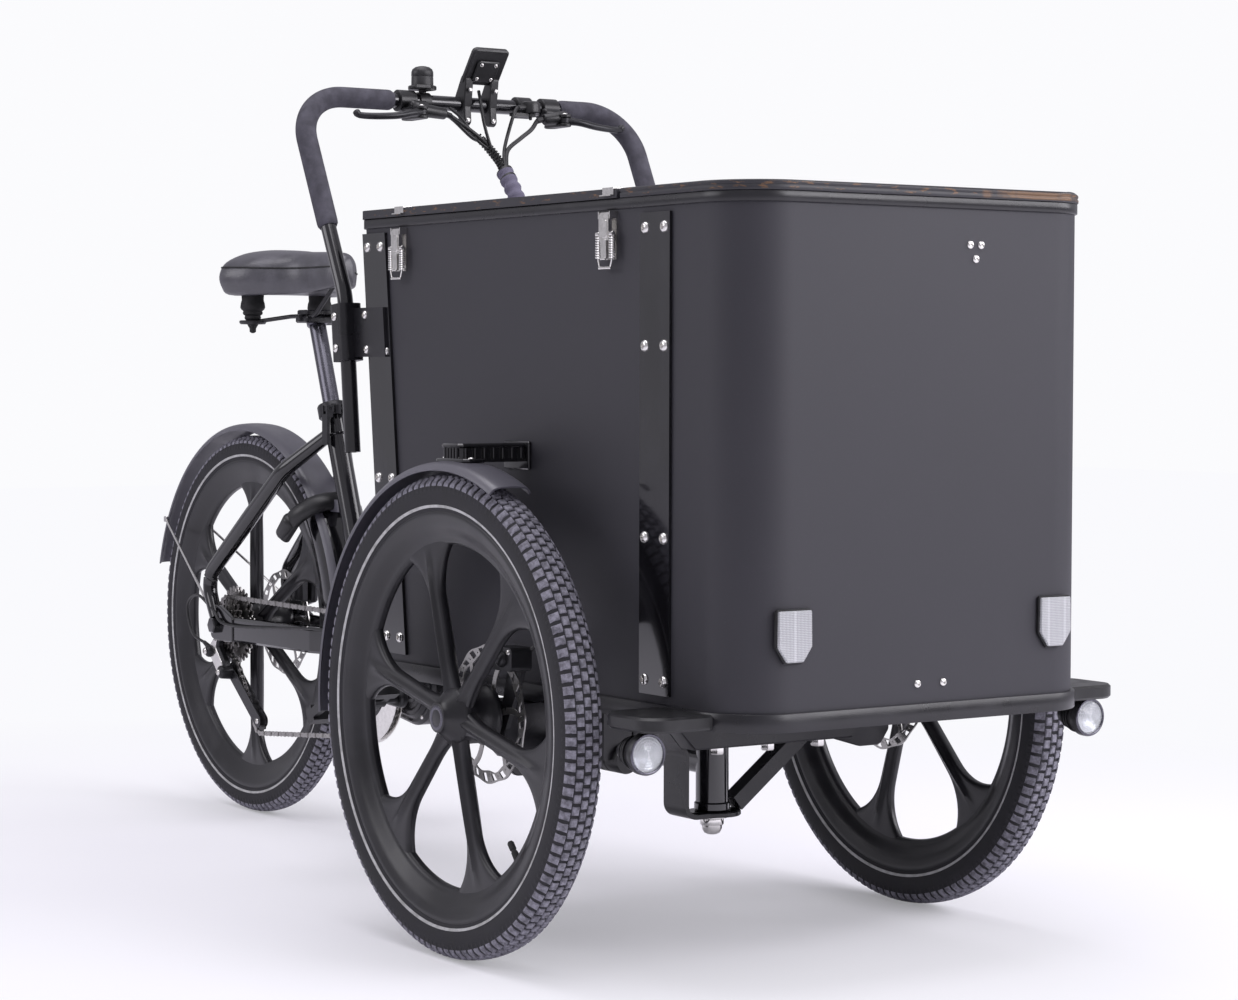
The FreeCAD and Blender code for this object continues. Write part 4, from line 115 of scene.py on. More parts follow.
def radial(angle):
    """Direction square to the axles at an angle from +X: cos a*X + sin a*Z."""
    angle = np.asarray(angle, float)[..., None]
    return np.cos(angle) * X + np.sin(angle) * Z


class Shape:
    """A closed surface in millimetres: points, four-sided faces and flat caps."""

    def __init__(self, points, quads, caps=()):
        self.points = np.asarray(points, float).reshape(-1, 3)
        self.quads = np.asarray(quads, int).reshape(-1, 4)
        self.caps = [np.asarray(cap, int) for cap in caps]

    def outward(self):
        """Turns the faces over if the enclosed volume, summed over corner fans, comes out negative."""
        points = self.points - self.points.mean(0)
        corner = points[self.quads]
        total = np.sum(corner[:, 0] * np.cross(corner[:, 1], corner[:, 2]))
        total += np.sum(corner[:, 0] * np.cross(corner[:, 2], corner[:, 3]))
        for cap in self.caps:
            fan = points[cap]
            total += np.sum(fan[0] * np.cross(fan[1:-1], fan[2:]))
        return self.flipped() if total < 0 else self

    def flipped(self):
        """The same surface with its faces turned over."""
        return Shape(self.points, self.quads[:, ::-1], [cap[::-1] for cap in self.caps])

    def moved(self, *offset):
        """The surface moved by an offset."""
        return Shape(self.points + np.array(offset, float), self.quads, self.caps)

    def turned(self, axis, degrees, centre=(0, 0, 0)):
        """The surface turned about an axis through a point."""
        spin = np.array(Matrix.Rotation(math.radians(degrees), 3, Vector(axis)))
        centre = np.asarray(centre, float)
        return Shape((self.points - centre) @ spin.T + centre, self.quads, self.caps)

    def other_side(self):
        """The mirror image across the middle plane."""
        return Shape(self.points * (1, -1, 1), self.quads, self.caps).flipped()

    def both(self):
        """The surface and its mirror image."""
        return [self, self.other_side()]


def surface(points, wrap_u=False):
    """Quads over a grid of points: rows carried one after the other, closed at the ends by flat caps."""
    rows, cols = points.shape[:2]
    u, v = np.meshgrid(np.arange(rows if wrap_u else rows - 1), np.arange(cols), indexing="ij")
    u2, v2 = (u + 1) % rows, (v + 1) % cols
    quads = np.stack([u * cols + v, u2 * cols + v, u2 * cols + v2, u * cols + v2], -1)
    caps = []
    if not wrap_u:
        caps = [np.arange(cols), np.arange(rows * cols - 1, (rows - 1) * cols - 1, -1)]
    return Shape(points, quads, caps).outward()


def lathe(profile, centre, axis=Y, steps=48, closed=False):
    """Turned form: centre + s*axis + r*(cos a*e1 + sin a*e2) for each (r, s) of the profile and angle a."""
    profile = np.asarray(profile, float)
    axis = unit(axis)
    side = unit(np.cross(axis, Z if abs(axis[2]) < 0.9 else X))
    other = np.cross(axis, side)
    angle = np.linspace(0, 2 * np.pi, steps, endpoint=False)
    spoke = np.cos(angle)[:, None] * side + np.sin(angle)[:, None] * other
    points = np.asarray(centre, float) + profile[:, None, :1] * spoke + profile[:, None, 1:] * axis
    return surface(points, wrap_u=closed)


def hoop(section, centre, start=0.0, stop=360.0, steps=120):
    """Closed (r, s) section carried round an axle: centre + r*(cos a*X + sin a*Z) + s*Y for each angle a."""
    whole = stop - start >= 360
    way = radial(np.radians(np.linspace(start, stop, steps, endpoint=not whole)))[:, None]
    section = np.asarray(section, float)[None]
    points = np.asarray(centre, float) + section[..., :1] * way + section[..., 1:] * Y
    return surface(points, wrap_u=whole)


def tube(path, radius, sides=16, up=Y):
    """Circle of the given radius carried along a path, its normal kept square to the path and close to up."""
    path = np.asarray(path, float)
    along = np.gradient(path, axis=0)
    along /= np.linalg.norm(along, axis=1)[:, None]
    first = np.cross(along, np.asarray(up, float))
    first /= np.linalg.norm(first, axis=1)[:, None]
    second = np.cross(along, first)
    angle = np.linspace(0, 2 * np.pi, sides, endpoint=False)[None, :, None]
    reach = np.broadcast_to(np.asarray(radius, float), (len(path),))[:, None, None]
    points = path[:, None] + reach * (np.cos(angle) * first[:, None] + np.sin(angle) * second[:, None])
    return surface(points)


def bar(start, end, radius, sides=20, edge=0.8):
    """Straight round bar with its two end edges broken."""
    start, end = np.asarray(start, float), np.asarray(end, float)
    length = np.linalg.norm(end - start)
    return lathe([(radius - edge, 0), (radius, edge), (radius, length - edge), (radius - edge, length)],
                 start, end - start, sides)


def bends(corners, radii, steps=12):
    """A path of straight runs joined by tangent arcs of the given radii at the inner corners."""
    corners = np.asarray(corners, float)
    parts = [corners[:1]]
    share = np.linspace(0, 1, steps)[:, None]
    for before, corner, after, radius in zip(corners, corners[1:], corners[2:], radii):
        into, out = unit(corner - before), unit(after - corner)
        turn = math.acos(np.clip(into @ out, -1, 1))
        setback = radius * math.tan(turn / 2)
        middle = corner - into * setback + unit(out - into * (into @ out)) * radius
        first = corner - into * setback - middle
        parts.append(middle + first * np.cos(turn * share) + into * radius * np.sin(turn * share))
    parts.append(corners[-1:])
    return np.concatenate(parts)


def flowing(points, count=60, closed=False):
    """Smooth line through points: cubics whose slope at a point is half the step between its neighbours."""
    points = np.asarray(points, float)
    if closed:
        padded = np.concatenate([points[-1:], points, points[:2]])
        spans = len(points)
    else:
        padded = np.concatenate([2 * points[:1] - points[1:2], points, 2 * points[-1:] - points[-2:-1]])
        spans = len(points) - 1
    place = np.linspace(0, spans, count, endpoint=not closed)
    piece = np.minimum(place.astype(int), spans - 1)
    t = (place - piece)[:, None]
    a, b, c, d = (padded[piece + i] for i in range(4))
    return 0.5 * (2 * b + (c - a) * t + (2 * a - 5 * b + 4 * c - d) * t ** 2 + (3 * b - a - 3 * c + d)
                  * t ** 3)


def round_corners(corners, radius, steps=8):
    """Closed outline with a tangent arc at each corner; radius is one number or one for each corner."""
    corners = np.asarray(corners, float)
    radii = np.broadcast_to(radius, (len(corners),))
    parts = []
    for i, corner in enumerate(corners):
        before, after = corners[i - 1], corners[(i + 1) % len(corners)]
        run = bends([np.append(before, 0), np.append(corner, 0), np.append(after, 0)], [radii[i]], steps)
        parts.append(run[1:-1, :2])
    return np.concatenate(parts)


def inset(outline, distance):
    """Closed plan outline moved inwards by a distance along its own normals."""
    along = np.roll(outline, -1, 0) - np.roll(outline, 1, 0)
    normal = np.stack([-along[:, 1], along[:, 0]], 1)
    normal /= np.linalg.norm(normal, axis=1)[:, None] + 1e-12
    area = np.sum(outline[:, 0] * np.roll(outline[:, 1], -1) - outline[:, 1] * np.roll(outline[:, 0], -1))
    return outline + normal * np.reshape(distance, (-1, 1)) * np.sign(area)


def plate(outline, low, high, bevel=0.6, across=(X, Z), along=Y):
    """Outline in two directions, raised along a third from low to high, its rims broken by a bevel."""
    outline = np.asarray(outline, float)
    rings = [(inset(outline, bevel), low), (outline, low + bevel), (outline, high - bevel),
             (inset(outline, bevel), high)]
    points = np.stack([ring[:, :1] * across[0] + ring[:, 1:] * across[1] + level * np.asarray(along, float)
                       for ring, level in rings])
    return surface(points)


def slab(low, high, corner=2.0, bevel=0.8):
    """Block between two corners, round at its upright edges and broken at its rims."""
    (x0, y0, z0), (x1, y1, z1) = low, high
    plan = round_corners([(x0, y0), (x1, y0), (x1, y1), (x0, y1)], corner, 5)
    return plate(plan, z0, z1, bevel, (X, Y), Z)


def button(centre, axis, radius):
    """Button head with a socket: a dome of the given radius, hollowed at its middle."""
    r, h = radius, radius * 0.45
    return lathe([(0.3 * r, 0.25 * h), (0.42 * r, 0.3 * h), (0.46 * r, h), (0.72 * r, 0.9 * h),
                  (0.93 * r, 0.5 * h), (r, 0.1 * h), (r, -0.2 * h)], centre, axis, 18)


def hexagon(centre, axis, radius, height):
    """Hexagon nut or bolt head, its crown turned down at the corners."""
    return lathe([(0.5 * radius, height * 1.02), (0.86 * radius, height), (radius, 0.8 * height),
                  (radius, 0)], centre, axis, 6)


def even(path, gap):
    """The path again, with its points at an even gap along its length."""
    path = np.asarray(path, float)
    run = np.concatenate([[0], np.cumsum(np.linalg.norm(np.diff(path, axis=0), axis=1))])
    place = np.linspace(0, run[-1], max(2, int(run[-1] / gap) + 1))
    return np.stack([np.interp(place, run, path[:, i]) for i in range(3)], 1)


def capsule(start, end, first, last=None):
    """Round body between two points with domed ends; its radius goes evenly from first to last."""
    start, end = np.asarray(start, float), np.asarray(end, float)
    last = first if last is None else last
    bow = np.radians(np.linspace(8, 90, 7))
    low = np.stack([first * np.sin(bow), -0.6 * first * np.cos(bow)], 1)
    high = np.stack([last * np.sin(bow), np.linalg.norm(end - start) + 0.6 * last * np.cos(bow)], 1)
    return lathe(np.concatenate([low, high[::-1]]), start, end - start, 24)


def oval(first, r1, second, r2, steps=18):
    """Outline round two circles: an arc on each, joined by their outer tangents."""
    first, second = np.asarray(first, float), np.asarray(second, float)
    way = second - first
    base = math.atan2(way[1], way[0])
    tip = math.acos((r1 - r2) / np.linalg.norm(way))
    far = np.linspace(base - tip, base + tip, steps)
    near = np.linspace(base + tip, base + 2 * np.pi - tip, steps)
    return np.concatenate([second + r2 * np.stack([np.cos(far), np.sin(far)], 1),
                           first + r1 * np.stack([np.cos(near), np.sin(near)], 1)])


def toothed(centre, teeth, radius, inner, thick, height=3.2):
    """Toothed ring with a round bore: radius plus a clipped cosine of the angle times the number of teeth."""
    angle = np.linspace(0, 2 * np.pi, teeth * 8, endpoint=False)
    outer = radius + height * np.clip(1.5 * np.cos(teeth * angle), -1.1, 0.95)
    way = radial(angle)
    rows = [(outer, -0.6), (outer - 0.4, 0.6), (np.full_like(angle, inner), 0.6),
            (np.full_like(angle, inner), -0.6)]
    points = np.stack([np.asarray(centre, float) + r[:, None] * way + s * thick * Y for r, s in rows])
    return surface(points, wrap_u=True)


def joined(shapes):
    """One shape out of several, nested lists included."""
    flat = []
    stack = [shapes]
    while stack:
        item = stack.pop()
        if isinstance(item, Shape):
            flat.append(item)
        else:
            stack.extend(item)
    starts = np.cumsum([0] + [len(s.points) for s in flat])
    return Shape(np.concatenate([s.points for s in flat]),
                 np.concatenate([s.quads + n for s, n in zip(flat, starts)]),
                 [cap + n for s, n in zip(flat, starts) for cap in s.caps])


def put(name, shapes, finish, body, replaces=(), sharp=38):
    """Adds a piece in metres, with smooth faces, sharp edges past an angle, its finish and body."""
    shape = joined(shapes)
    mesh = bpy.data.meshes.new(name)
    mesh.from_pydata((shape.points * 0.001).tolist(), [],
                     shape.quads.tolist() + [cap.tolist() for cap in shape.caps])
    mesh.polygons.foreach_set("use_smooth", np.ones(len(mesh.polygons), bool))
    mesh.set_sharp_from_angle(angle=math.radians(sharp))
    mesh.validate()
    piece = bpy.data.objects.new(name, mesh)
    bpy.context.scene.collection.objects.link(piece)
    mesh.materials.append(FINISH[finish])
    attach(piece, body)
    if replaces:
        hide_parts(*replaces)
    return piece


class Value:
    """A shader socket that takes plain arithmetic; each step adds a Math node."""

    def __init__(self, tree, socket):
        self.tree = tree
        self.socket = socket

    def step(self, operation, first, second=None, clamp=False):
        """One Math node over values or numbers."""
        node = self.tree.nodes.new("ShaderNodeMath")
        node.operation = operation
        node.use_clamp = clamp
        for socket, item in zip(node.inputs, (first, second)):
            if isinstance(item, Value):
                self.tree.links.new(item.socket, socket)
            elif item is not None:
                socket.default_value = item
        return Value(self.tree, node.outputs[0])

    def __add__(self, other):
        return self.step("ADD", self, other)

    def __radd__(self, other):
        return self.step("ADD", other, self)

    def __sub__(self, other):
        return self.step("SUBTRACT", self, other)

    def __rsub__(self, other):
        return self.step("SUBTRACT", other, self)

    def __mul__(self, other):
        return self.step("MULTIPLY", self, other)

    def __rmul__(self, other):
        return self.step("MULTIPLY", other, self)

    def between(self, low, high):
        """0 at low and 1 at high, held there beyond them."""
        return self.step("MULTIPLY", self - low, 1 / (high - low), clamp=True)

    def sine(self):
        """Sine of the value."""
        return self.step("SINE", self)

    def root(self):
        """Square root of the value."""
        return self.step("SQRT", self)

    def size(self):
        """The value without its sign."""
        return self.step("ABSOLUTE", self)


class Finish:
    """A procedural material: one Principled shader, with a method that adds any other node."""

    def __init__(self, name, colour, roughness, metal=0.0, coat=0.0, specular=0.5, centre=None):
        self.material = bpy.data.materials.new(name)
        self.material.use_nodes = True
        self.tree = self.material.node_tree
        self.shader = self.tree.nodes["Principled BSDF"]
        self.set("Base Color", (*colour, 1))
        self.set("Roughness", roughness)
        self.set("Metallic", metal)
        self.set("Coat Weight", coat)
        self.set("Coat Roughness", 0.08)
        self.set("Specular IOR Level", specular)
        self.place = self.node("ShaderNodeTexCoord", out="Object")
        if centre is not None:
            back = tuple(-0.001 * c for c in centre)
            self.place = self.node("ShaderNodeMapping", {}, {"Vector": self.place, "Location": back},
                                   "Vector")
        self.material.diffuse_color = (*colour, 1)
        FINISH[name] = self.material

    def node(self, kind, settings=None, inputs=None, out=0):
        """Adds a node: its settings first, then its sockets' values or links; returns one output."""
        node = self.tree.nodes.new(kind)
        for key, value in (settings or {}).items():
            setattr(node, key, value)
        for key, value in (inputs or {}).items():
            if isinstance(value, Value):
                self.tree.links.new(value.socket, node.inputs[key])
            else:
                node.inputs[key].default_value = value
        return Value(self.tree, node.outputs[out])

    def set(self, socket, value):
        """Sets or links one socket of the shader."""
        if isinstance(value, Value):
            self.tree.links.new(value.socket, self.shader.inputs[socket])
        else:
            self.shader.inputs[socket].default_value = value

    def noise(self, scale, detail=3.0, rough=0.55, stretch=None):
        """Smooth noise over the piece, from about 0.3 to 0.7; stretch scales it by axis."""
        place = self.place
        if stretch:
            place = self.node("ShaderNodeMapping", {}, {"Vector": place, "Scale": stretch}, "Vector")
        inputs = {"Vector": place, "Scale": scale, "Detail": detail, "Roughness": rough}
        return self.node("ShaderNodeTexNoise", {}, inputs, "Fac")

    def cells(self, scale, feature="F1"):
        """Cell pattern over the piece."""
        return self.node("ShaderNodeTexVoronoi", {"feature": feature}, {"Vector": self.place, "Scale": scale},
                         "Distance")

    def axes(self):
        """The three coordinates of a point in metres."""
        split = self.tree.nodes.new("ShaderNodeSeparateXYZ")
        self.tree.links.new(self.place.socket, split.inputs[0])
        return [Value(self.tree, socket) for socket in split.outputs]

    def blend(self, share, first, second):
        """Colour that goes from first to second."""
        node = self.tree.nodes.new("ShaderNodeMix")
        node.data_type = "RGBA"
        self.tree.links.new(share.socket, node.inputs[0])
        for socket, colour in ((node.inputs[6], first), (node.inputs[7], second)):
            if isinstance(colour, Value):
                self.tree.links.new(colour.socket, socket)
            else:
                socket.default_value = (*colour, 1)
        return Value(self.tree, node.outputs[2])

    def bump(self, height, strength, depth):
        """Relief of a height over a depth in metres."""
        inputs = {"Height": height, "Strength": strength, "Distance": depth}
        self.set("Normal", self.node("ShaderNodeBump", {}, inputs, "Normal"))


def shade(colour, factor):
    """The colour made lighter or darker."""
    return tuple(min(1.0, c * factor) for c in colour)


def make_finishes():
    """All the finishes of the tricycle, by name."""
    tint = bpy.context.scene.tricycle_colours
    paint, panel, rubber, zinc, ply = (tuple(getattr(tint, key))
                                       for key in ("paint", "panel", "rubber", "zinc", "ply"))

    f = Finish("powder_coat", paint, 0.34)
    dust = f.noise(9.0, 4.0).between(0.45, 0.75)
    f.set("Base Color", f.blend(dust, paint, shade(paint, 1.9)))
    f.set("Roughness", 0.27 + 0.18 * dust)
    f.bump(f.noise(900.0, 2.0), 0.12, 0.0004)

    f = Finish("gloss_black", shade(paint, 0.8), 0.1, coat=0.6)
    smear = f.noise(14.0, 5.0, stretch=(1, 1, 0.35)).between(0.46, 0.72)
    f.set("Roughness", 0.07 + 0.16 * smear)
    f.set("Base Color", f.blend(smear, shade(paint, 0.6), shade(paint, 1.4)))
    f.bump(f.noise(40.0, 2.0), 0.05, 0.001)

    f = Finish("box_panel", panel, 0.5, specular=0.42)
    cloud = f.noise(3.5, 5.0).between(0.35, 0.7)
    grain = f.noise(1300.0, 2.0, 0.6)
    speck = f.noise(420.0, 2.0).between(0.62, 0.78)
    f.set("Base Color", f.blend(speck * 0.5 + cloud * 0.3, panel, shade(panel, 1.55)))
    f.set("Roughness", 0.44 + 0.1 * cloud + 0.08 * grain)
    f.bump(grain, 0.3, 0.0005)

    f = Finish("lid_film", shade(panel, 0.85), 0.42)
    x, y, z = f.axes()
    wave = f.noise(26.0, 4.0, stretch=(1, 1, 0.2))
    peeled = f.noise(7.0, 5.0, 0.65, stretch=(1, 1, 0.1)).between(0.48, 0.56)
    peeled = peeled * y.between(-0.05, 0.05) * x.between(0.94, 1.0)
    streak = f.noise(46.0, 4.0, 0.65, stretch=(1, 1, 4)).between(0.57, 0.62)
    worn = (peeled + streak).between(0.0, 1.0)
    height = (z + wave * 0.004).between(0.9575, 0.9585) * (1 - (z + wave * 0.002).between(0.9655, 0.966))
    layers = ((z * 2600.0).sine() * 0.5 + 0.5) * 0.6 + f.noise(60.0, 3.0, stretch=(1, 1, 12)) * 0.4
    bare = f.blend(layers, shade(ply, 0.45), shade(ply, 1.25))
    scuff = f.noise(90.0, 4.0, 0.7, stretch=(1, 0.2, 1)).between(0.66, 0.74)
    top = f.blend(scuff, shade(panel, 0.85), shade(panel, 3.4))
    f.set("Base Color", f.blend(height * worn, top, bare))
    f.set("Roughness", 0.4 + 0.2 * wave)
    f.bump(f.noise(500.0, 2.0), 0.15, 0.0004)

    f = Finish("cast_black", shade(paint, 1.15), 0.36)
    dust = f.noise(16.0, 4.0).between(0.45, 0.75)
    f.set("Base Color", f.blend(dust, paint, shade(paint, 2.0)))
    f.set("Roughness", 0.3 + 0.16 * dust)
    f.bump(f.noise(700.0, 3.0), 0.16, 0.0004)

    for side, tyre in (("right", FRONT_TYRE), ("left", FRONT_TYRE), ("rear", REAR_TYRE)):
        centre, radius = PIVOT[side + "_wheel_spin"], tyre[0] * 0.001
        f = Finish("tyre_" + side, rubber, 0.72, specular=0.35, centre=centre)
        x, z = f.axes()[::2]
        reach = (x * x + z * z).root()
        turn = f.node("ShaderNodeMath", {"operation": "ARCTAN2"}, {0: z, 1: x})
        ribs = (turn * 180.0).sine().between(0.0, 0.6) * reach.between(radius - 0.022, radius - 0.019)
        ribs = ribs * (1 - reach.between(radius - 0.009, radius - 0.007))
        lines = ((reach * 2100.0).sine() * 0.5 + 0.5) * (1 - reach.between(radius - 0.04, radius - 0.036))
        dust = f.noise(38.0, 5.0, 0.65).between(0.42, 0.72)
        f.set("Base Color", f.blend(dust * 0.5, rubber, shade(rubber, 3.0)))
        f.set("Roughness", 0.62 + 0.2 * dust)
        f.bump(ribs + lines * 0.4 + f.noise(600.0, 2.0) * 0.4, 0.55, 0.0012)

    f = Finish("tread_worn", shade(rubber, 4.2), 0.8, specular=0.35)
    f.set("Base Color", f.blend(f.noise(150.0, 5.0, 0.65).between(0.35, 0.7), shade(rubber, 7.0),
                                shade(rubber, 21.0)))
    f.bump(f.noise(700.0, 3.0), 0.3, 0.0005)

    # Mudguard black with painted sheen: its base colour, nine times the paint, stands in for the bright reflection
    # on the mudguards' tops.
    f = Finish("satin_black", shade(paint, 9.0), 0.36, specular=1.0)
    f.set("Roughness", 0.36 + 0.16 * f.noise(20.0, 4.0).between(0.4, 0.7))

    f = Finish("stripe", (0.42, 0.42, 0.42), 0.5)
    f.set("Base Color", f.blend(f.noise(70.0, 4.0).between(0.4, 0.7), (0.5, 0.5, 0.5), (0.3, 0.3, 0.29)))

    for name, colour, rough in (("zinc", shade(zinc, 1.25), 0.18), ("rotor", shade(zinc, 0.66), 0.3),
                                ("chain_steel", (0.36, 0.35, 0.34), 0.32),
                                ("alloy", (0.13, 0.128, 0.15), 0.26),
                                ("mirror_bowl", (0.66, 0.66, 0.68), 0.12),
                                ("dark_alloy", (0.03, 0.03, 0.033), 0.32)):
        f = Finish(name, colour, rough, metal=1.0 if name != "dark_alloy" else 0.55)
        mark = f.noise(160.0, 4.0, 0.6).between(0.35, 0.7)
        f.set("Base Color", f.blend(mark, shade(colour, 0.9), shade(colour, 1.06)))
        f.set("Roughness", rough * 0.9 + rough * 0.25 * mark)

    f = Finish("foam", (0.062, 0.06, 0.074), 0.85, specular=0.3)
    pores = f.cells(900.0)
    f.set("Base Color", f.blend(f.noise(60.0, 4.0).between(0.35, 0.7), (0.052, 0.05, 0.062),
                                (0.088, 0.085, 0.105)))
    f.bump(pores * 0.6 + f.noise(500.0, 3.0), 0.4, 0.0006)

    f = Finish("moulded", (0.012, 0.012, 0.0132), 0.42)
    wear = f.noise(30.0, 4.0).between(0.45, 0.75)
    f.set("Base Color", f.blend(wear, (0.01, 0.01, 0.011), (0.022, 0.022, 0.024)))
    f.set("Roughness", 0.34 + 0.2 * wear)
    f.bump(f.noise(1100.0, 2.0), 0.2, 0.0003)

    f = Finish("casing", (0.012, 0.012, 0.013), 0.38)
    f.set("Roughness", 0.3 + 0.25 * f.noise(60.0, 3.0))

    f = Finish("boot", (0.016, 0.016, 0.0165), 0.66, specular=0.35)
    f.set("Base Color", f.blend(f.noise(45.0, 4.0).between(0.4, 0.7), (0.013, 0.013, 0.0135),
                                (0.028, 0.028, 0.029)))
    f.bump(f.noise(420.0, 3.0), 0.25, 0.0005)

    f = Finish("saddle_hide", (0.045, 0.0435, 0.054), 0.36, specular=1.0)
    pebble = f.cells(520.0, "SMOOTH_F1")
    crease = f.noise(30.0, 4.0).between(0.4, 0.7)
    f.set("Base Color", f.blend(crease, (0.038, 0.037, 0.046), (0.066, 0.0635, 0.079)))
    f.set("Roughness", 0.32 + 0.16 * crease)
    f.bump(pebble + f.noise(160.0, 3.0) * 0.4, 0.3, 0.0007)

    f = Finish("sleeve_cloth", (0.12, 0.12, 0.145), 0.8)
    x, y, z = f.axes()
    weave = (z * 2400.0).sine() * (x * 2400.0 + y * 2400.0).sine()
    f.set("Base Color", f.blend(weave * 0.5 + 0.5, (0.075, 0.068, 0.105), (0.2, 0.185, 0.265)))
    f.bump(weave, 0.5, 0.0006)

    f = Finish("clear_lens", (0.74, 0.75, 0.77), 0.12, coat=1.0)
    y, z = f.axes()[1:]
    prism = ((y * 1570.0).sine() * (z * 1570.0).sine()).size()
    bands = (y * 240.0).sine().between(0.86, 0.95)
    f.set("Base Color", f.blend(prism * 0.75 + bands * 0.25, (0.32, 0.325, 0.34), (0.66, 0.67, 0.69)))
    f.set("Roughness", 0.1 + 0.15 * prism)
    f.bump(prism, 0.6, 0.001)

    f = Finish("lamp_glass", (0.9, 0.92, 0.95), 0.05, coat=1.0)
    f.set("Transmission Weight", 0.75)
    ridge = (f.axes()[1] * 1300.0).sine()
    f.bump(ridge + f.noise(90.0, 2.0), 0.15, 0.0006)

    f = Finish("screen", (0.006, 0.0065, 0.008), 0.08, coat=1.0)
    f.set("Roughness", 0.05 + 0.12 * f.noise(50.0, 4.0).between(0.5, 0.75))


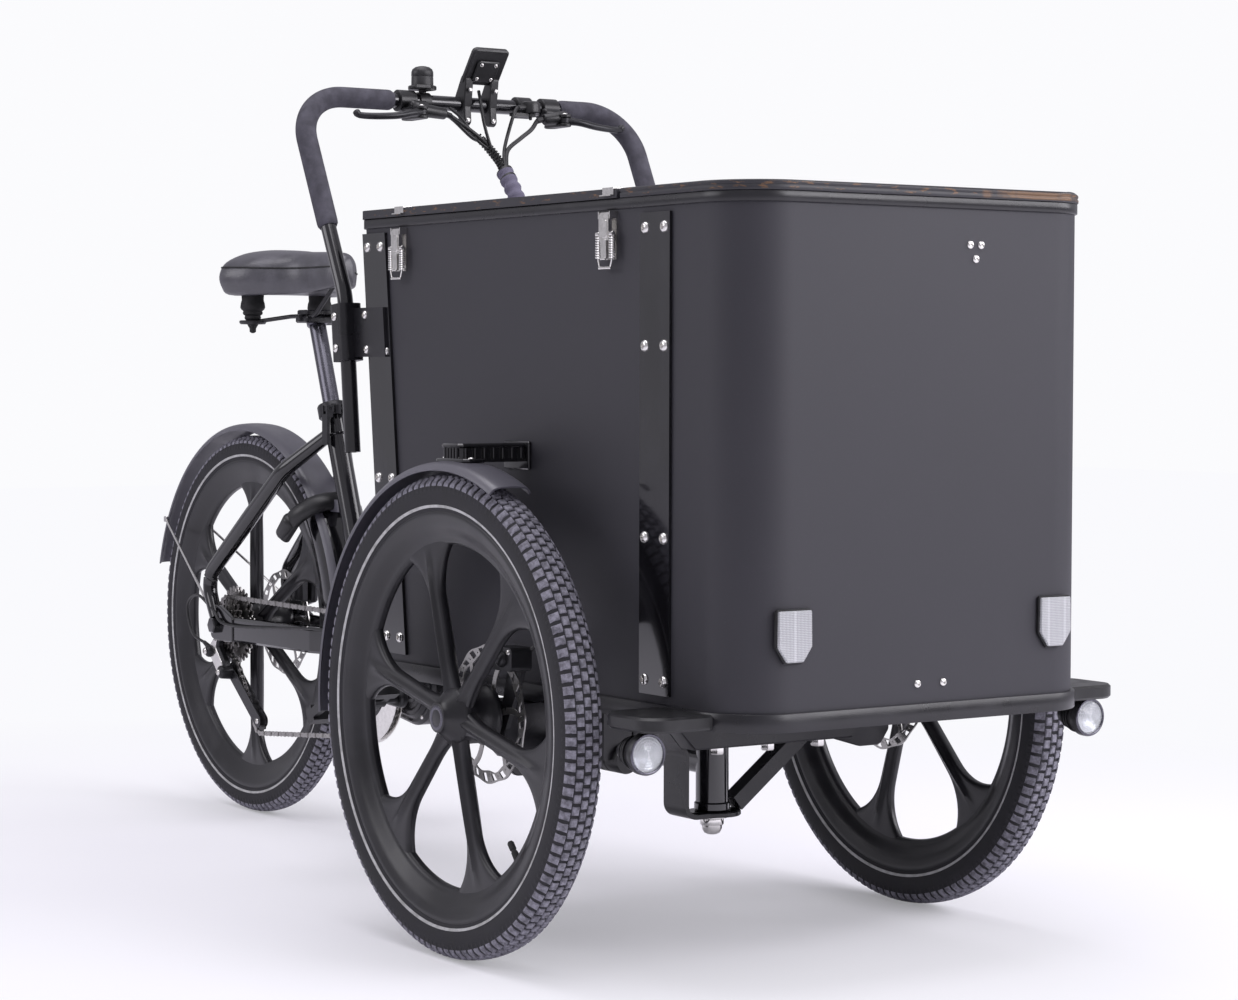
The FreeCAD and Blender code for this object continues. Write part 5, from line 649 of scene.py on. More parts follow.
def wheel(side, centre, radius, width, bead, hub_in, hub_out, outward, phase, valve, body):
    """One wheel: tyre with tread blocks and stripes, and the six-spoke casting with hub, caps and valve."""
    size = sizes()
    depth = radius - bead
    half = 0.36 * width
    tread = size["tread_depth"]
    outer = flowing([(bead - 1, half - 2), (bead + 2, half + 0.5), (bead + 0.28 * depth, 0.465 * width),
                     (bead + 0.54 * depth, 0.497 * width), (bead + 0.75 * depth, 0.45 * width),
                     (radius - tread - 4.5, 0.36 * width), (radius - tread - 1.2, 0.2 * width),
                     (radius - tread, 0)], 30)
    section = np.concatenate([outer, (outer * (1, -1))[-2::-1]])
    tyre = hoop(section, centre, steps=150)
    crown = outer[np.argsort(outer[:, 1])]
    crown = crown[crown[:, 0] > bead + 0.6 * depth]

    def tread_row(place, length, breadth, shift, count):
        """Tapered blocks on the crown: angle from the length, radius from the carcass plus the height."""
        corner = np.array([(-1, -1), (1, -1), (1, 1), (-1, 1)], float) * (length / 2, breadth / 2)
        flat = np.concatenate([corner, corner * 0.97, corner * 0.78])
        rise = np.repeat([-1.0, tread * 0.62, tread], 4)
        spot = place + flat[:, 1]
        reach = np.interp(np.abs(spot), crown[:, 1], crown[:, 0]) + rise
        angle = 2 * np.pi * (np.arange(count)[:, None] + shift) / count + flat[:, 0] / radius
        points = np.asarray(centre) + reach[None, :, None] * radial(angle) + spot[None, :, None] * Y
        ring = np.array([(a, (a + 1) % 4, (a + 1) % 4 + 4, a + 4) for a in range(4)])
        quads = np.concatenate([ring, ring + 4, [(8, 9, 10, 11)], [(3, 2, 1, 0)]])
        one = Shape(points[0], quads).outward().quads
        return Shape(points, (one[None] + 12 * np.arange(count)[:, None, None]))

    count = bpy.context.scene.tricycle_sizes.tread_blocks
    pitch = 2 * np.pi * radius / count
    scale = width / 54
    rows = [tread_row(place * scale, pitch * 0.72, 8.6 * scale, 0.5 * (i % 2), count)
            for i, place in enumerate((-20.6, -10.4, 0.0, 10.4, 20.6))]
    stripe_r = bead + (0.25 if side != "rear" else 0.3) * depth
    wide = size["stripe_width"] / 2
    wall = outer[np.argsort(outer[:, 0])]
    wall = wall[wall[:, 0] < bead + 0.52 * depth]
    reach = np.linspace(stripe_r - wide, stripe_r + wide, 5)
    skin = np.stack([reach, np.interp(reach, wall[:, 0], wall[:, 1]) + 0.35], 1)
    under = (skin - (0, 0.8))[::-1]
    line = np.concatenate([skin, under])
    put("tyre_%s_carcass" % side, tyre, "tyre_" + side, body, ["tyre_" + side], 30)
    put("tyre_%s_blocks" % side, rows, "tread_worn", body, sharp=30)
    put("tyre_%s_stripe" % side, [hoop(line, centre, steps=150), hoop(line * (1, -1), centre, steps=150)],
        "stripe", body)

    rim_in = bead - 34.0
    lip = half + 2.6
    rim_half = flowing([(rim_in - 1.5, 0), (rim_in - 0.8, 4), (rim_in + 2.5, 7.2), (rim_in + 9, 9.5),
                        (bead - 12, half - 1.5), (bead - 2, lip - 0.6), (bead + 4, lip + 0.6),
                        (bead + 7.4, lip - 0.2), (bead + 7, half + 0.6), (bead + 1, half - 1.5), (bead, 0)],
                       44)
    rim = hoop(np.concatenate([rim_half, (rim_half * (1, -1))[-2:0:-1]]), centre, steps=150)
    flip = np.array([1, outward])
    nose = 19.0
    hub_profile = np.array([(37, -hub_in), (38.5, -hub_in + 2), (38.5, -hub_in + 9), (36, -hub_in + 12),
                            (36, -10), (37.5, -7), (37.5, 5), (35, 8.5), (28, 15), (nose + 4, hub_out - 8),
                            (nose + 1.2, hub_out - 5), (nose, hub_out - 1), (nose - 1.5, hub_out - 0.2)])
    hub = lathe(hub_profile * flip, centre, Y, 64)

    r0, r1 = 30.0, rim_in + 5
    flare = 78.0
    along = np.concatenate([np.linspace(r0, r1 - flare - 2, 20),
                            r1 - flare * (1 - np.sin(np.linspace(0.02, 0.5, 24) * np.pi))])
    share = np.clip((along - r0) / (r1 - r0), 0, 1)
    spread = np.clip(along - (r1 - flare), 0, flare * 0.999)
    root = np.clip((78 - along) / 48, 0, 1)
    bow = flare - np.sqrt(flare ** 2 - spread ** 2)
    half_width = size["spoke_width"] / 2 - 2.2 + 3.0 * share + bow + 7 * root ** 2
    across = np.sin(np.linspace(-0.5, 0.5, 25) * np.pi)
    t = half_width[:, None] * across[None]
    edge = (1 - np.abs(across) ** 8)[None] ** 0.5
    ridge = 6.4 * (1 - share ** 4)[:, None] * np.exp(-(t / 4.6) ** 2)
    face = 6.4 * edge + ridge + 1.2 * (share ** 3)[:, None] * edge
    loop_t = np.concatenate([t, t[:, -2:0:-1]], 1)
    loop_s = np.concatenate([face, -face[:, -2:0:-1]], 1)
    points = (np.asarray(centre, float) + along[:, None, None] * X + loop_t[..., None] * Z
              + loop_s[..., None] * Y)
    spoke = surface(points)
    spokes = [spoke.turned(-Y, phase + 60 * i, centre) for i in range(6)]
    bolts = [button(np.asarray(centre) + outward * 8 * Y + 33 * radial(a), outward * Y, 2.4)
             for a in np.radians(phase + 30 + 60 * np.arange(6))]
    put("wheel_%s_casting" % side, [rim, hub, spokes, bolts], "cast_black", body,
        ["wheel_" + side], 42)

    cap_ring = np.array([(9.5, hub_out - 3), (9.5, hub_out - 0.6), (11, hub_out + 0.1),
                         (15.4, hub_out + 0.1), (17, hub_out - 0.8), (17, hub_out - 3)])
    put("wheel_%s_cap" % side, lathe(cap_ring * flip, centre, Y, 48), "alloy", body)
    way = radial(math.radians(valve))
    foot = np.asarray(centre) + way * (rim_in + 6)
    stem = lathe([(6.5, -8), (6.2, 4), (4.6, 8), (4.2, 18), (3.3, 19), (3.3, 21), (4.3, 22), (4.3, 31),
                  (3.2, 33), (1, 33.4)], foot, -way, 18)
    put("wheel_%s_valve" % side, stem, "boot", body)


def brake_disc(side, centre, body):
    """Brake disc: a waved band with slanting slots, on six swept arms round a centre ring."""
    steps, rings = 288, 7
    angle = np.linspace(0, 2 * np.pi, steps, endpoint=False)
    share = np.linspace(0, 1, rings)
    low, high = 74 - 1.6 * np.cos(12 * angle), 89.4 - 1.2 * (1 - np.cos(12 * angle + 1))
    reach = low[:, None] + (high - low)[:, None] * share[None]
    shift = angle[:, None] + 0.1 * share[None]
    u, v = np.meshgrid(np.arange(steps), np.arange(rings - 1), indexing="ij")
    slots = (v > 0) & (v < rings - 2) & (u % 12 > 3) & (u % 12 < 9) | (v == 2) & (u % 12 == 0)
    u, v = u[~slots], v[~slots]
    u2 = (u + 1) % steps
    layer = steps * rings

    def sheet(level):
        """One face of the band at a place along the axle."""
        return (np.asarray(centre, float) + reach[..., None] * radial(shift) + level * Y).reshape(-1, 3)

    top = np.stack([u * rings + v, u2 * rings + v, u2 * rings + v + 1, u * rings + v + 1], 1)
    solid = np.zeros((steps, rings - 1), bool)
    solid[u, v] = True
    walls = []
    for du, dv, a, b in ((0, 1, (0, 1), (1, 1)), (0, -1, (1, 0), (0, 0)), (1, 0, (1, 1), (1, 0)),
                         (-1, 0, (0, 0), (0, 1))):
        nv = v + dv
        inside = (nv >= 0) & (nv < rings - 1)
        filled = np.zeros(len(u), bool)
        filled[inside] = solid[(u[inside] + du) % steps, nv[inside]]
        eu, ev = u[~filled], v[~filled]
        first = ((eu + a[0]) % steps) * rings + ev + a[1]
        last = ((eu + b[0]) % steps) * rings + ev + b[1]
        walls.append(np.stack([first, last, last + layer, first + layer], 1))
    ring = Shape(np.concatenate([sheet(-1.0), sheet(1.0)]),
                 np.concatenate([top[:, ::-1] + layer, top] + walls))
    line = flowing([(20, 0), (40, 7), (60, 9), (77, 4)], 12)
    arm = plate(np.concatenate([line + (0, 4.2), (line - (0, 4.2))[::-1]]), -0.9, 0.9, 0.2).moved(*centre)
    arms = [arm.turned(-Y, 60 * i, centre) for i in range(6)]
    middle = lathe([(16, -1.6), (26, -1.6), (26, 1.6), (16, 1.6)], centre, Y, 36, closed=True)
    put("disc_%s_band" % side, [ring, arms], "rotor", body, ["disc_" + side], 30)
    studs = [button(np.asarray(centre) + s * 1.4 * Y + 22 * radial(a), s * Y, 3.4)
             for a in np.radians(30 + 60 * np.arange(6)) for s in (-1, 1)]
    put("disc_%s_carrier" % side, [middle, studs], "dark_alloy", body)


def mudguard_section(radius, half, lip):
    """Channel section: its crown falls by the square of the share across and by its ninth power."""
    s = np.linspace(-1, 1, 27)
    crown = radius + 2.5 - 3.2 * np.abs(s) ** 2 - (lip - 2.0) * np.abs(s) ** 9
    top = np.stack([crown, s * half], 1)
    under = np.stack([crown - 2.0, s * (half - 1.8)], 1)
    return np.concatenate([top, under[::-1]])


def rear_wall(z):
    """Place of the leaning rear wall of the box at a height."""
    return BOX_REAR_TOP + REAR_LEAN * (BOX_TOP - z) / (BOX_TOP - BOX_LOW)


LEAN = math.tan(math.radians(26.5))
BAR_MID = np.array([rear_wall(850.0) - 30 - (1141 - 850) * LEAN, 0, 1141.0])
SEAT_WAY = np.array([-math.sin(math.radians(20.3)), 0, math.cos(math.radians(20.3))])
SEAT_MOUTH = np.array([REAR[0] + 266.0, 0, REAR[2] + 372.0])
POST_HEAD = SEAT_MOUTH + 138 * SEAT_WAY
CHAIN_Y = -50.0


def seat_line(z):
    """Point on the axis of the seat tube at a height."""
    return SEAT_MOUTH + SEAT_WAY * ((z - SEAT_MOUTH[2]) / SEAT_WAY[2])


def box_plan(z, grow):
    """Plan of the box at a height: a leaning rear wall, two small rear corners and two wide front ones."""
    rear = rear_wall(min(max(z, BOX_LOW), BOX_TOP)) - grow
    front, half = BOX_FRONT + grow, BOX_HALF + grow
    return round_corners([(rear, -half), (front, -half), (front, half), (rear, half)],
                         [32 + grow, 75 + grow, 75 + grow, 32 + grow], 18)


def band(rows):
    """Closed ring of the box: (height, growth) rows carried round the plan and joined last to first."""
    rings = [(box_plan(z, grow), z) for z, grow in rows]
    points = np.stack([np.column_stack([ring, np.full(len(ring), z)]) for ring, z in rings])
    return surface(points, wrap_u=True)


class TRICYCLE_OT_finishes(bpy.types.Operator):
    """Make the finishes and give each frame node its own"""

    bl_idname = "tricycle.finishes"
    bl_label = "Finishes"

    def execute(self, context):
        make_finishes()
        by_slot = {"frame_paint": "powder_coat", "motor_case": "powder_coat", "panel_black": "box_panel",
                   "lid_ply": "lid_film", "trim_gloss": "gloss_black", "steel_bright": "zinc",
                   "rotor_steel": "rotor", "wheel_cast": "cast_black", "tyre_rubber": "tyre_rear",
                   "lens_clear": "clear_lens", "plastic_black": "moulded", "alloy_black": "dark_alloy",
                   "alloy_grey": "alloy", "foam_grip": "foam", "cable_black": "casing",
                   "chain_steel": "chain_steel", "saddle_skin": "saddle_hide", "boot_rubber": "boot"}
        for part in frame["record"]["subparts"]:
            mesh = frame["nodes"][part["node"]].data
            mesh.materials.clear()
            mesh.materials.append(FINISH[by_slot[part["material_slot"]]])
        return {"FINISHED"}


class TRICYCLE_OT_wheels(bpy.types.Operator):
    """Build the three cast wheels with tyres, discs and valves"""

    bl_idname = "tricycle.wheels"
    bl_label = "Wheels"

    def execute(self, context):
        right, left = PIVOT["right_wheel_spin"], PIVOT["left_wheel_spin"]
        wheel("right", right, *FRONT_TYRE, 46.0, 30.0, -1, 46.7, -48.0, "right_wheel")
        wheel("left", left, *FRONT_TYRE, 46.0, 30.0, 1, 13.3, 200.0, "left_wheel")
        wheel("rear", REAR, *REAR_TYRE, 52.0, 30.0, -1, 30.0, -92.0, "rear_wheel")
        brake_disc("right", right + FRONT_DISC * Y, "right_wheel")
        brake_disc("left", left - FRONT_DISC * Y, "left_wheel")
        brake_disc("rear", REAR + REAR_DISC * Y, "rear_wheel")
        return {"FINISHED"}


class TRICYCLE_OT_mudguards(bpy.types.Operator):
    """Build the front and rear mudguards with their wire stays"""

    bl_idname = "tricycle.mudguards"
    bl_label = "Mudguards"

    def execute(self, context):
        section = mudguard_section(321.5, 30.0, 9.0)
        right = hoop(section, PIVOT["right_wheel_spin"], 66, 184, 80)
        crest = FRONT_TYRE[0] + 324.0
        x0, x1 = AXLE[0] - 24, AXLE[0] + 24
        near = -380.0
        core = slab((x0 + 5, near + 5, crest - 2), (x1 - 5, -BOX_HALF, crest + 17), 5, 1)
        foot = slab((x0 - 14, near, crest - 2), (x1 + 14, near + 34, crest + 3), 8, 1.2)
        roof = slab((x0, near, crest + 16), (x1, -BOX_HALF, crest + 22), 8, 2)
        flange = slab((x0 - 6, -BOX_HALF - 5, crest - 12), (x1 + 6, -BOX_HALF, crest + 24), 2, 1.5)
        ribs = [slab((x0 + 1, y, crest + 2), (x1 - 1, y + 4, crest + 17), 1.5)
                for y in np.linspace(near + 10, -BOX_HALF - 12, 7)]
        ribs += [slab((x, near + 1, crest + 2), (x + 4, near + 9, crest + 17), 1.5)
                 for x in np.linspace(x0 + 8, x1 - 12, 5)]
        # The front and rear mudguards take the black with painted sheen.
        put("front_mudguards", right.both(), "satin_black", "carriage", ["front_fenders"], 50)
        put("mudguard_brackets", [s.both() for s in [core, foot, roof, flange, *ribs]], "gloss_black",
            "carriage")
        screws = [button((AXLE[0] + dx, near + 14, crest + 2.8), Z, 4.5) for dx in (-31, 31)]
        put("mudguard_screws", [s.both() for s in screws], "zinc", "carriage")

        rear = hoop(mudguard_section(336.0, 31.0, 9.0), REAR, 4, 165, 100)
        put("rear_mudguard", [rear, slab((-446, -9, 518), (-415, 9, 538), 4)], "satin_black", "rear_frame",
            ["rear_fender"], 50)
        cheeks = hoop(mudguard_section(336.6, 31.6, 44.0), REAR, 5, 40, 40)
        put("rear_mudguard_cheeks", cheeks, "gloss_black", "rear_frame", sharp=50)
        head = REAR + 330 * radial(math.radians(150)) - 33 * Y
        foot = np.array([REAR[0] - 14, -79.5, REAR[2] + 26])
        wires = [tube(np.linspace(foot, head, 12), 2.2, 10, X),
                 lathe([(2, -2.2), (6, -2), (6, 2), (2, 2.2)], foot, Y, 20),
                 slab(head - (5, 2.4, 5), head + (5, 2.0, 5), 2)]
        put("mudguard_wires", [w.both() for w in wires], "zinc", "rear_frame")
        return {"FINISHED"}


class TRICYCLE_OT_cargo_box(bpy.types.Operator):
    """Build the textured box, its rim, base skirt and bolts, and the fixed lid panel"""

    bl_idname = "tricycle.cargo_box"
    bl_label = "Cargo box"

    def execute(self, context):
        put("box_shell", band([(BOX_LOW, 0), (BOX_TOP, 0), (BOX_TOP, -6), (BOX_LOW, -6)]), "box_panel",
            "carriage", ["box_walls"], 60)
        put("box_rim_band", band([(BOX_TOP, 2.4), (BOX_TOP + 0.8, 3.2), (BOX_TOP + 12, 3.2),
                                  (BOX_TOP + 13, 2.2), (BOX_TOP + 13, -11), (BOX_TOP, -11)]), "powder_coat",
            "carriage", ["box_rim"], 50)
        put("base_skirt", band([(325.2, 4.3), (326.2, 5.0), (346.0, 5.0), (347.2, 4.0), (347.2, 1.5),
                                (325.2, 1.5)]), "powder_coat", "carriage", sharp=50)

        split = AXLE[0] + 233.0
        plan = round_corners([(split, -281), (BOX_FRONT + 5, -281), (BOX_FRONT + 5, 281), (split, 281)],
                             [3, 80, 80, 3], 24)
        wave = np.sin(plan[:, 0] * 0.05) * np.sin(plan[:, 1] * 0.043 + 1) * 0.9
        peel = np.clip((plan[:, 1] + 60) / 240, 0, 1) * np.clip((plan[:, 0] - split - 120) / 100, 0, 1)
        rings = []
        for z, back in ((954.0, 1.2), (955.0, 0.3), (958.5, 0.0), (961.0, 1.4), (963.0, 0.2), (965.0, 0.5),
                        (966.0, 1.6)):
            ring = inset(plan, back + 0.5 + 0.5 * wave)
            rings.append(np.column_stack([ring, z + (z - 954) / 12 * peel * np.sin(plan[:, 1] * 0.09) * 1.4]))
        put("lid_front_panel", surface(np.stack(rings)), "lid_film", "carriage", ["lid_front"], 50)

        r = sizes()["bolt_head"] / 2
        heads = []
        for z in (916, 775, 546, 375):
            heads += [button((AXLE[0] + x, -280.2, z), -Y, r) for x in (290, 330)]
        for z in (915, 771, 598, 381):
            heads += [button((rear_wall(z) + 50 + x, -280.2, z), -Y, r) for x in (-18, 18)]
        front = [(65, 898), (82, 898), (74, 881), (-13, 371), (27, 371)]
        heads = [h.both() for h in heads] + [button((BOX_FRONT + 0.2, y, z), X, 5.2) for y, z in front]
        put("box_bolts", heads, "zinc", "carriage")
        return {"FINISHED"}


class TRICYCLE_OT_latches(bpy.types.Operator):
    """Build the sprung loops of the toggle latches and the pressed faces of their levers"""

    bl_idname = "tricycle.latches"
    bl_label = "Toggle latches"

    def execute(self, context):
        for name in ("front", "rear"):
            x, y, z = PIVOT["latch_%s_loop" % name]
            parts = []
            turns = np.linspace(0, 9 * 2 * np.pi, 200)
            for side in (-1, 1):
                leg = x + side * 14.8
                coil = np.stack([leg + 3.5 * np.cos(turns), y + 3.1 * np.sin(turns),
                                 z - 2 - 27 * turns / turns[-1]], 1)
                parts.append(tube(coil, 1.05, 6, Z))
                parts.append(bar((leg - 3.2, y, z), (leg + 3.2, y, z), 3.2, 16, 0.5))
                rod = [(leg, y, z - 1), (leg, y, z - 31), (x + side * 11, y, z - 41)]
                parts.append(tube(bends(rod, [6], 6), 1.3, 10, Y))
            parts.append(bar((x - 13, y, z - 41), (x + 13, y, z - 41), 2.0, 14, 0.5))
            put("latch_loop_%s_springs" % name, parts, "zinc", "latch_loop_" + name,
                ["latch_loop_" + name])
            px, py, pz = PIVOT["latch_%s_lever" % name]
            face = plate(round_corners([(-8, -6), (8, -6), (8, -28), (-8, -28)][::-1], 3, 5), 4.6, 6.2, 0.7,
                         (X, Z), -Y).moved(px, py, pz)
            curl = plate(round_corners([(-6.4, -29), (6.4, -29), (5, -53), (-5, -53)][::-1], 2.2, 5), 4.2,
                         5.9, 0.5, (X, Z), -Y)
            lip = bar((px - 5, py - 5.4, pz - 53), (px + 5, py - 5.4, pz - 53), 1.7, 12, 0.4)
            put("latch_lever_%s_face" % name, [face, curl.moved(px, py, pz), lip], "zinc",
                "latch_lever_" + name)
            rivets = [button((px + s * 8, -BOX_HALF - 2.6, pz - 48), -Y, 2.6) for s in (-1, 1)]
            keeper = [button((px + s * 6, -270, 967.4), Z, 2.6) for s in (-1, 1)]
            put("latch_%s_rivets" % name, rivets, "zinc", "carriage")
            put("keeper_%s_rivets" % name, keeper, "zinc", "lid")
        return {"FINISHED"}


class TRICYCLE_OT_lamps(bpy.types.Operator):
    """Build the corner plates, headlamps and front reflectors"""

    bl_idname = "tricycle.lamps"
    bl_label = "Lamps and reflectors"

    def execute(self, context):
        x0 = AXLE[0] + 322
        plan = round_corners([(x0, -368), (x0 + 106, -368), (x0 + 106, -264), (x0, -264)], [30, 30, 2, 2], 10)
        corner = plate(plan, 327, 345, 3.0, (X, Y), Z)
        face = np.array([x0 + 74.2, -346.0, 300.0])
        shell = lathe([(8, -52), (11, -51), (13, -46), (19, -24), (23.4, -13), (24.8, -11), (25, -3),
                       (24, -0.6), (22.6, 0), (21.8, -1), (20, -6), (9, -14)], face, X, 48)
        fins = [lathe([(r - 1.5, s - 1), (r + 1.6, s - 1), (r + 1.6, s + 1), (r - 1.5, s + 1)], face, X, 40,
                      True) for r, s in ((15.5, -38), (17.5, -31), (20, -24))]
        stem = slab((face[0] - 24, face[1] - 6, 312), (face[0] - 12, face[1] + 6, 328), 2)
        put("corner_lamps_body", [s.both() for s in [corner, shell, stem, *fins]], "moulded", "carriage",
            ["corner_lamps"], 40)
        bowl = lathe([(21.4, -1.6), (19.6, -5), (18, -5.4), (16, -9), (14.2, -9.4), (11.6, -12),
                      (10, -12.4), (7, -13.4), (1, -13.6), (1, -14.4), (22, -3)], face, X, 44, True)
        led = lathe([(0.5, -8), (3, -8.5), (4, -11), (4, -13.6)], face, X, 20)
        put("headlamp_bowls", [s.both() for s in (bowl, led)], "mirror_bowl", "carriage")
        dark = [lathe([(r, s), (r + 1.6, s + 0.4), (r + 1.6, s - 1.2), (r, s - 1.2)], face, X, 40, True)
                for r, s in ((8.6, -11.4), (16.4, -6.8))]
        put("headlamp_rings", [s.both() for s in dark], "moulded", "carriage")
        bezel = lathe([(21.2, -2.2), (21.4, -0.2), (22.2, 0.3), (23.6, 0.2), (24.4, -0.8), (24.4, -2.2)],
                      face, X, 48, True)
        put("headlamp_bezels", bezel.both(), "alloy", "carriage")
        reach = np.linspace(0.5, 21.2, 60)
        dome = np.column_stack([reach, 0.1 - 1.8 * (reach / 21.2) ** 2 + 0.22 * np.sin(reach * 1.9)])
        lens = lathe([*dome.tolist(), (21.0, -2.8), (0.5, -2.4)], face, X, 48)
        put("headlamp_lenses", lens.both(), "lamp_glass", "carriage", ["reflectors"])

        corners = [(-26, 31), (26, 31), (26.5, -14), (13, -33), (-13, -33), (-26.5, -14)]
        shield = round_corners(corners, [4, 4, 5, 5, 5, 5], 5)[::-1]
        back = plate(shield, 0, 4.5, 0.6, (Y, Z), X).moved(BOX_FRONT, -202, 438)
        glass = plate(inset(shield, 1.8), 3.5, 8, 1.2, (Y, Z), X).moved(BOX_FRONT, -202, 438)
        put("reflector_backs", back.both(), "moulded", "carriage")
        put("reflector_faces", glass.both(), "clear_lens", "carriage")
        return {"FINISHED"}


class TRICYCLE_OT_handlebar(bpy.types.Operator):
    """Build the bent handlebar with its foam sleeves and clamp bolts"""

    bl_idname = "tricycle.handlebar"
    bl_label = "Handlebar"

    def execute(self, context):
        half = [(rear_wall(631.0) - 30, -285, 631), (rear_wall(850.0) - 30, -285, 850),
                (BAR_MID[0], -285, 1141)]
        corners = np.array(half + [(x, -y, z) for x, y, z in half[::-1]])
        line = even(bends(corners, [90, 75, 75, 90], 24), 4)
        put("handlebar_tube", tube(line, 11, 28, X), "gloss_black", "carriage", ["handlebar"])
        sleeves = []
        for side, end in ((-1, 126), (1, 160)):
            run = line[(line[:, 2] > 944) & (line[:, 1] * side > end)]
            reach = np.full(len(run), 15.0)
            reach[[0, -1]] = 12.4
            reach[[1, -2]] = 14.6
            sleeves.append(tube(run, reach, 32, X))
        put("foam_sleeves", sleeves, "foam", "carriage", ["grips"])
        spots = [(rear_wall(z) + 22, -BOX_HALF - 8.4, z) for z in (774, 822)]
        spots += [(rear_wall(z) - 30, -304, z) for z in (776, 820)]
        put("clamp_bolts", [button(s, -Y, 6.0).both() for s in spots], "zinc", "carriage")
        return {"FINISHED"}


class TRICYCLE_OT_controls(bpy.types.Operator):
    """Build the brake perches and levers, the bell, the shifter and the display bracket"""

    bl_idname = "tricycle.controls"
    bl_label = "Controls"

    def execute(self, context):
        mid = BAR_MID
        body = []
        screws = []

        def clamp(place, half):
            """Ring round the bar at a place across, its outer rims broken."""
            ring = [(11.2, -half), (15, -half), (16, 1 - half), (16, half - 1), (15, half), (11.2, half)]
            return lathe(ring, mid + place * Y, Y, 40, True)

        for y, side, name in ((-106.0, -1, "right"), (142.0, 1, "left")):
            pivot = PIVOT["brake_" + name]
            body.append(clamp(y, 14))
            body.append(slab(pivot - (44, 10, 9.4), pivot - (32, -10, -9.4), 4, 2))
            ear = oval((pivot[0] - 38, pivot[1]), 10.5, (pivot[0], pivot[1]), 9.5)
            body += [plate(ear, pivot[2] + s, pivot[2] + s + 5, 1.2, (X, Y), Z) for s in (4.4, -9.4)]
            reach = 44 if side < 0 else 27
            body.append(capsule(pivot + (-8, side * 4, 5), pivot + (-13, -side * reach, 1), 10.5, 8.6))
            body.append(capsule(pivot + (-24, side * 2, 11), pivot + (-24, -side * 20, 12), 8.0, 7.2))
            body.append(bar(pivot + (-13, -side * (reach + 3), 1), pivot + (-14, -side * (reach + 14), -2),
                            4.6, 6))
            screws.append(button(pivot + (0, 0, 9.4), Z, 4.6))
            screws += [button(mid + (-12, y + s * 7, -10), (-0.77, 0, -0.64), 3.6) for s in (-1, 1)]
            way = [pivot, pivot + (9, side * 22, -3), pivot + (12, side * 48, -8),
                   pivot + (6, side * 80, -10), pivot + (-3, side * 100, -9), pivot + (-4, side * 106, -6)]
            run = flowing(way, 40)
            reach = np.interp(np.linspace(0, 1, 40), (0, 0.15, 0.5, 0.9, 1), (6.6, 5.4, 5.0, 4.6, 5.2))
            blade = tube(run, reach, 20, Z)
            eye = lathe([(3.5, -3.9), (6.8, -3.9), (7.5, -3.2), (7.5, 3.2), (6.8, 3.9), (3.5, 3.9)], pivot,
                        Z, 28, True)
            tip = capsule(run[-1] - (0, side * 2, 1.4), run[-1] + (0, 0, 1.4), 5.4)
            put("brake_lever_%s_blade" % name, [blade, eye, tip], "dark_alloy", "brake_lever_" + name,
                ["brake_lever_" + name])
        seat = mid + (0, -76, 14)
        dome = [(17, 3.2), (20.4, 3.6), (21, 4.6), (21, 8.4), (19.8, 9.6), (16.4, 10.2), (16.2, 22),
                (15.8, 23), (16.4, 24), (16.2, 30), (14.6, 34), (10.5, 37), (5, 38.4), (1, 38.6)]
        body += [lathe(dome, seat, Z, 44), bar(seat - (0, 0, 3), seat + (0, 0, 6), 5.5),
                 lathe([(11.2, -9), (14, -9), (14, 9), (11.2, 9)], mid - 76 * Y, Y, 36, True),
                 slab(seat + (0, -5, 1), seat + (30, 5, 4), 2, 0.6),
                 bar(seat + (26, 0, 2), seat + (26, 0, 11), 1.5)]
        pod = PIVOT["gear_shift"]
        drum = [(2, -4), (13.4, -3.9), (15, -2.4), (15, 8), (13.6, 12), (10, 14), (2, 14.4)]
        body += [clamp(96, 13), lathe(drum, pod, Z, 40), slab(pod - (30, 12, 3), pod + (2, 12, 9), 3, 1.5),
                 capsule(pod + (4, -12, 4), pod + (8, -26, 3), 4.6, 3.6), bar(pod - (0, 0, 14), pod, 2.5)]
        put("controls_body", body, "moulded", "carriage", ["bar_controls"])
        foot = mid + (8, 15, 29)
        tilt = np.array([math.cos(math.radians(38)), 0, -math.sin(math.radians(38))])
        rise = np.array([math.sin(math.radians(38)), 0, math.cos(math.radians(38))])
        wide = [(-31, 2), (31, 2), (31, 64), (-31, 64)]
        board = [plate(round_corners(wide, 7, 6), -4.5, 4.5, 2.2, (Y, rise), tilt).moved(*foot),
                 plate(round_corners([(-19, 10), (19, 10), (19, 46), (-19, 46)], 5, 6), 4, 8.5, 1.4,
                       (Y, rise), tilt).moved(*foot)]
        head = (foot + rise * 8)[[0, 2]]
        for y in (-7.0, 37.0):
            board.append(plate(oval(mid[[0, 2]], 16, head, 8), y - 7, y + 7, 1.5, (X, Z), Y))
            board.append(plate(oval(mid[[0, 2]], 15, mid[[0, 2]] + (9, -24), 8), y - 6, y + 6, 1.5, (X, Z),
                               Y))
        put("display_bracket", board, "moulded", "carriage", ["display"])
        glass = plate(round_corners(wide, 7, 6)[::-1] * (0.88, 0.94) + (0, 2), 3.9, 5.0, 0.4, (Y, rise),
                      -tilt).moved(*foot)
        put("display_glass", glass, "screen", "carriage")
        screws += [button(foot + y * Y + rise * h + tilt * 8.4, tilt, 3.2) for y in (-12, 12)
                   for h in (16, 40)]
        screws += [button(mid + (17, y, -24), X, 3.8) for y in (-7, 37)]
        screws += [button(mid + (24, y, 20), X, 3.4) for y in (-7, 37)]
        put("control_screws", screws, "zinc", "carriage")
        return {"FINISHED"}


